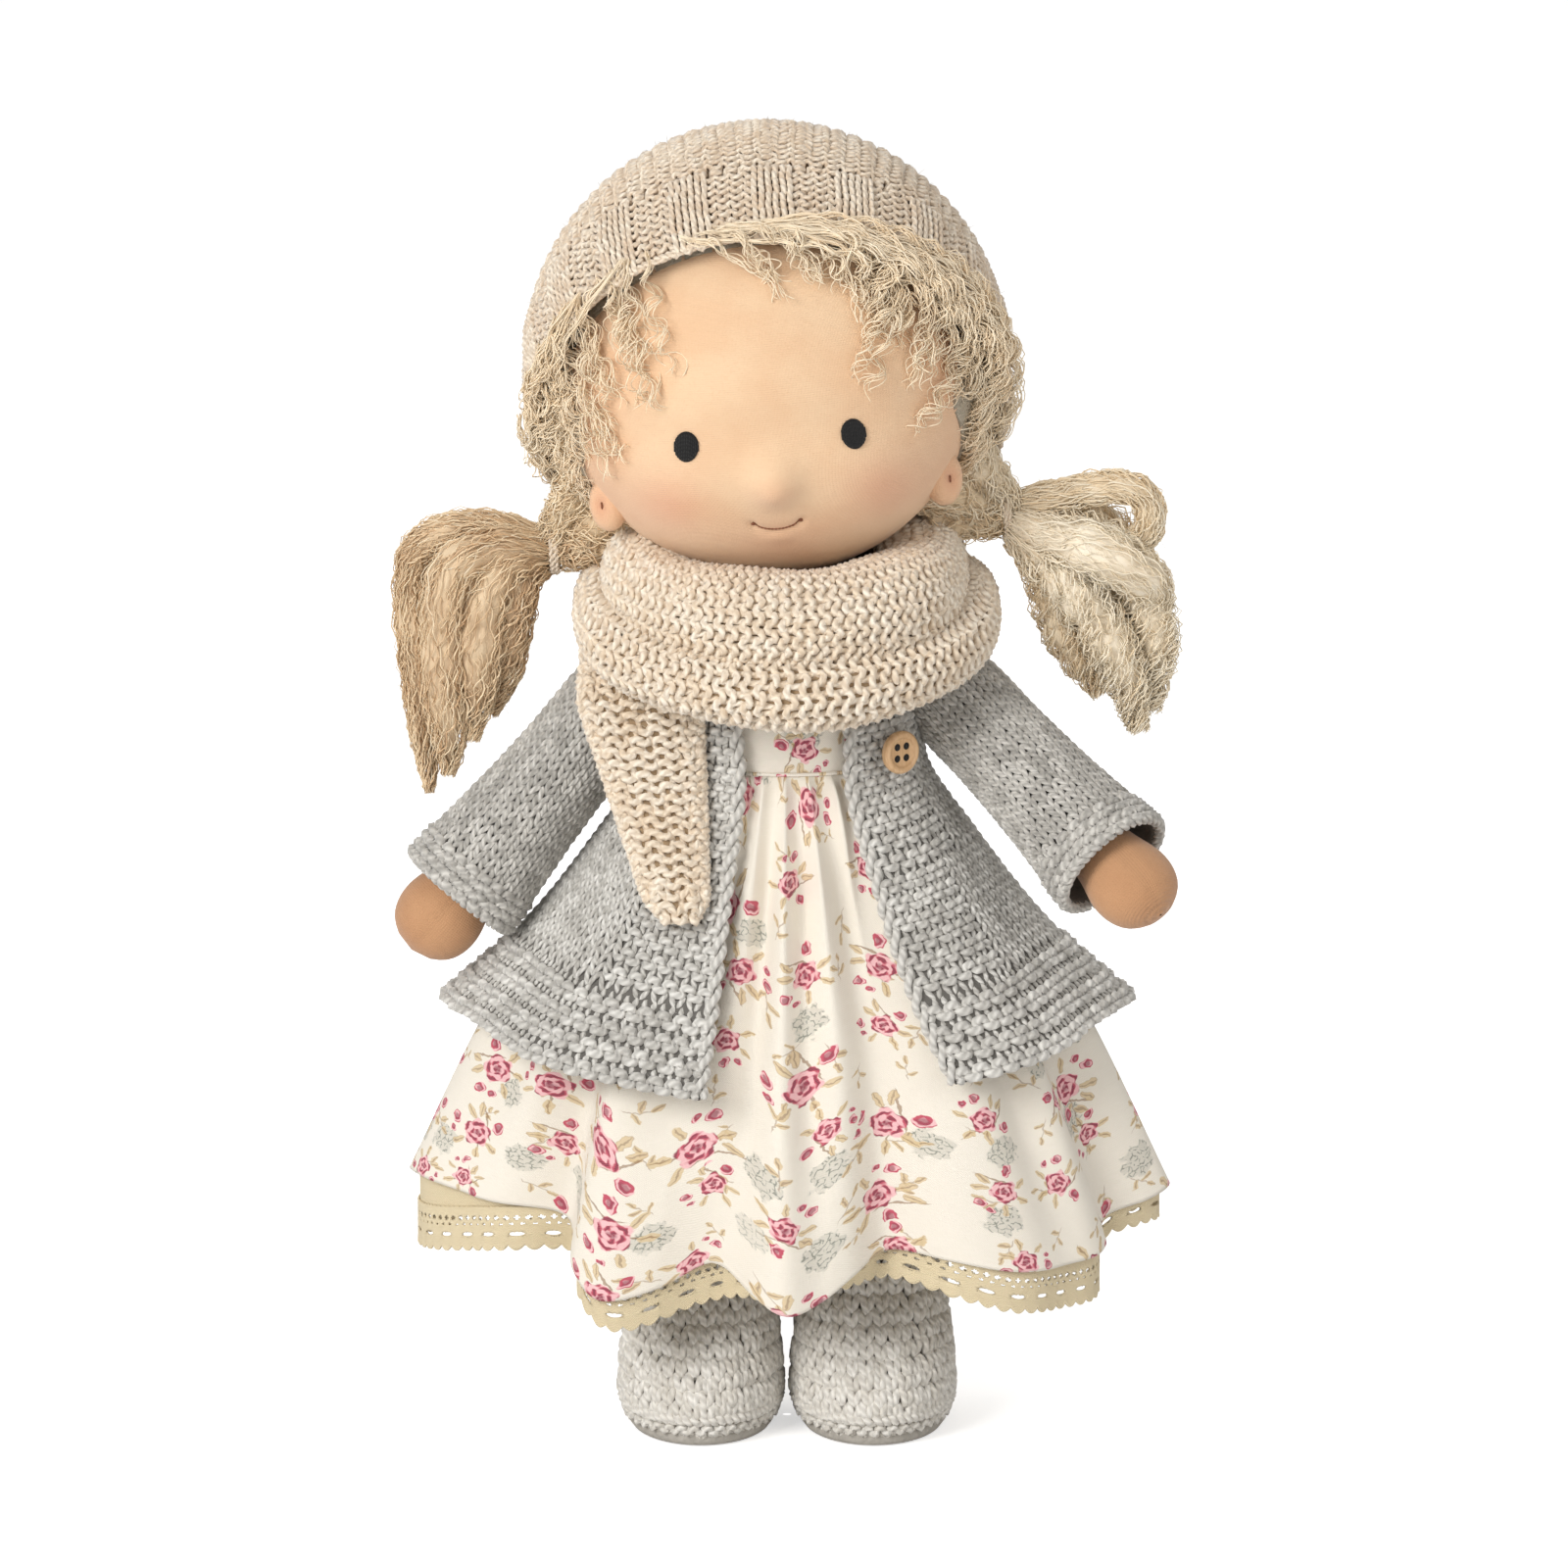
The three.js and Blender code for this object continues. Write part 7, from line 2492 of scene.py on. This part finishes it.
@dataclass
class Legs:
    """The stuffed legs in crocheted boots."""

    hip: tuple[float, float] = (14.5, 108)
    foot_out: float = 20
    boot_top: float = 46
    sole: float = 4.8
    leg: Line = ((0, 0.04), (0.03, 0.62), (0.1, 1.0), (0.5, 0.86), (0.75, 0.78), (1, 0.76))
    thigh: float = 13
    boot: tuple[tuple[float, float, float, float], ...] = (
        (5.2, 17.0, 30.4, 20.0), (9.0, 17.6, 31.0, 20.6), (17.4, 17.2, 28.5, 20.2), (24.8, 16.4, 22.0, 19.6),
        (33.0, 15.6, 16.0, 18.4), (46.0, 15.6, 14.2, 17.6),
    )
    ridges: int = 6
    ridge_depth: float = 1.0
    stitch: Stitch = Stitch(3.5, 3.2, 1.0, overlap=1.3, lean=-0.03, depth=0.5, wobble=0.09)
    sole_stitch: Stitch = Stitch(3.0, 2.4, 0.8)
    sole_rows: int = 2
    sole_stitches: int = 38

    def ring(self, side: Side, height: Any, turn: Any, ridge: Any = 0.0) -> Array:
        """Points of the boot's outline at a height, with each whole ridge bulging between two grooves."""
        bulge = self.ridge_depth * (np.abs(np.sin(np.pi * ridge)) - 0.5) * (np.asarray(ridge) != 0)
        sizes = (along([(row[0], row[i]) for row in self.boot], height) for i in (1, 2, 3))
        wide, toe, heel = (size + bulge for size in sizes)
        x = side.value * self.foot_out + wide * np.sin(turn)
        return stack(x, (heel - toe) / 2 - (heel + toe) / 2 * np.cos(turn), height)

    def build(self, finish: Finishes, random: Random) -> None:
        """Makes both legs and both boots."""
        for side in Side:
            self.build_leg(finish, side)
            self.build_boot(finish, side, random)

    def build_leg(self, finish: Finishes, side: Side) -> None:
        """The stuffed leg from the hip into the boot."""
        out, height = self.hip
        share = np.linspace(0, 1, 60)[:, None]
        turn = round_angles(56)
        level = mix(height + self.thigh - 0.4, 12, share)
        radius = self.thigh * along(self.leg, share)
        lean = mix(out, self.foot_out, np.clip((height - level) / (height - 23), 0, 1))
        rings = stack(side.value * lean + radius * np.sin(turn), -radius * np.cos(turn), level)
        piece = shell(f"{side.word}_leg_skin", finish["skin"], rings, size=(80, 110), tone=0.05)
        dress(piece, side.body("leg"), Slot.SKIN, f"{side.word}_leg")

    def build_boot(self, finish: Finishes, side: Side, random: Random) -> None:
        """Crocheted rows up the boot, a chained welt and a flat sole."""
        levels = (self.sole + 2.2, self.boot_top - 0.6)
        upper = Surface(lambda u, v: self.ring(side, mix(*levels, v), u * TURN, v * self.ridges))
        rows = 2 * self.ridges

        def puff(row: int, column: Array, count: int) -> Array:
            """Each row is a little fuller than the groove over it."""
            return 0.25 + 0.25 * np.cos(column * 2.1 + row)

        maker = MeshMaker()
        counts = count_for(upper, self.stitch.width, rows)
        knit(maker, upper, self.stitch, rows, counts, plain, random, relief=puff)
        turn = np.arange(220) / 220
        for v, radius in ((1.0, 0.95), (0.0, 0.9)):
            path, normal = upper.frame(turn, np.full(220, v))
            twisted(maker, path + normal * 0.5, radius, pitch=3.6, closed=True)
        fuzzy(maker, upper, 1100, SHORT_FIBRE, random)
        top = maker.make(f"{side.word}_boot_crochet", finish["boots"])
        dress(top, side.body("leg"), Slot.CROCHET)
        # A sheet under the stitches, darker as the painted shade seen between them.
        faces = [upper.grid(64, 40, lift) for lift in (-0.4, -2.4)]
        name = f"{side.word}_boot_lining"
        inside = shell(name, finish["boot_shade_backing"], doubled(*faces), loop=True, size=(110, 90))
        dress(inside, side.body("leg"), Slot.CROCHET, f"{side.word}_boot_upper")
        declare_sheet(inside, upper, "stretched", [f"{side.word}_leg_skin"], top)
        self.build_sole(finish, side, random)

    def build_sole(self, finish: Finishes, side: Side, random: Random) -> None:
        """The sole: crocheted rounds over a flat felt core."""

        def rim(turn: Array, height: Array, draw: Any) -> Array:
            """The boot's lowest outline set at a height and drawn in."""
            outline = self.ring(side, self.boot[0][0] + 0 * turn, turn) * [1, 1, 0]
            return outline + stack(-draw * np.sin(turn), draw * np.cos(turn), height)

        wall = Surface(lambda u, v: rim(u * TURN, mix(self.sole + 1.2, 2.6, v), -0.6 + 1.4 * v**3))
        maker = MeshMaker()
        knit(maker, wall, self.sole_stitch, self.sole_rows, lambda row: self.sole_stitches, plain, random)
        turn = round_angles(96)
        steps = [(0.06, 14.0), (0.06, 8.0), (0.0, 3.0), (0.35, 0.9), (1.4, 0.1)]
        steps += [(self.sole - 0.6, 0.4), (self.sole, 2.5)]
        rings = [rim(turn, height + 0 * turn, draw) for height, draw in steps]
        first, last = (ring.mean(0) + 0 * ring for ring in (rings[0], rings[-1]))
        leg = side.body("leg")
        dress(maker.make(f"{side.word}_sole_crochet", finish["boots"]), leg, Slot.CROCHET)
        points = np.stack([first, *rings, last])
        core = shell(f"{side.word}_sole_felt", finish["sole"], points, size=(130, 60))
        dress(core, leg, Slot.CROCHET, f"{side.word}_boot_sole")


@dataclass
class Studio:
    """The pale floor, soft lamps and the camera at the photograph's angle."""

    frame_width: float = 362.6
    distance: float = 3000
    elevation: float = 12
    target: Triple = (-0.7, 0, 150.5)
    sensor: float = 36
    lamps: tuple[tuple[float, ...], ...] = (
        (-950, -1250, 900, 900, 20), (950, -1000, 800, 1000, 4), (0, 900, 1200, 900, 4),
    )
    ambient: float = 0.45
    sky: Color = (1.0, 0.99, 0.98, 1.0)
    floor_level: float = -0.02

    def build(self) -> None:
        """Makes the floor, the lamps, the world and the camera."""
        bpy.context.scene.view_settings.view_transform = "Standard"
        self.build_floor()
        self.build_lamps()
        self.build_world()
        self.build_camera()

    def build_floor(self) -> None:
        """A wide round floor just under the soles."""
        turn = round_angles(64)
        reach = np.array([[1.0], [600.0], [2500.0], [9000.0]])
        points = stack(reach * np.cos(turn), reach * np.sin(turn), self.floor_level)
        floor = shell("floor", Backdrop().material(), points)

    def build_lamps(self) -> None:
        """Round soft lamps that face the doll."""
        for number, (x, y, z, size, power) in enumerate(self.lamps):
            data = bpy.data.lights.new(f"softbox_{number}", "AREA")
            data.shape = "DISK"
            data.size = size * MM
            data.energy = power
            lamp = bpy.data.objects.new(data.name, data)
            lamp.location = (x * MM, y * MM, z * MM)
            lamp.rotation_euler = self.facing(np.array(self.target) - [x, y, z])
            bpy.context.scene.collection.objects.link(lamp)

    def build_world(self) -> None:
        """A white surround that lights the doll less than it shows."""
        g = Graph("studio", Owner.WORLD)
        strength = g.node("MapRange", None, {"Value": g.seen(), "To Min": self.ambient, "To Max": 1.0})
        sky = g.node("Background", None, {"Color": self.sky, "Strength": strength})
        g.add("OutputWorld", None, {"Surface": sky})
        bpy.context.scene.world = g.owner

    def build_camera(self) -> None:
        """The camera at the photograph's angle."""
        data = bpy.data.cameras.new("camera")
        data.sensor_width = self.sensor
        data.lens = self.sensor * self.distance / self.frame_width
        camera = bpy.data.objects.new("camera", data)
        lift = math.radians(self.elevation)
        aim = np.array([0, math.cos(lift), -math.sin(lift)])
        camera.location = (np.array(self.target) - aim * self.distance) * MM
        camera.rotation_euler = self.facing(aim)
        bpy.context.scene.collection.objects.link(camera)
        bpy.context.scene.camera = camera

    @staticmethod
    def facing(aim: Array) -> Triple:
        """The turn that points a lamp or camera along a direction."""
        x, y, z = unit(aim)
        return (math.acos(-z), 0.0, math.atan2(-x, y))


def main() -> None:
    """Builds the doll's pieces in order."""
    logging.basicConfig(level=logging.INFO, format="%(message)s")
    random = np.random.default_rng(SEED)
    finish = Finishes()
    head, torso = HeadShape(), TorsoShape()
    Studio().build()
    Trunk(torso).build(finish)
    Face(head).build(finish)
    Hat(head).build(finish, random)
    Hair(head).build(finish, random)
    gown = Dress(torso)
    gown.build(finish)
    Petticoat(gown).build(finish)
    cardigan = Cardigan(torso)
    Arms(cardigan).build(finish)
    cardigan.build(finish, random)
    Scarf(cardigan).build(finish, random)
    Legs().build(finish, random)


if __name__ == "__main__":
    main()
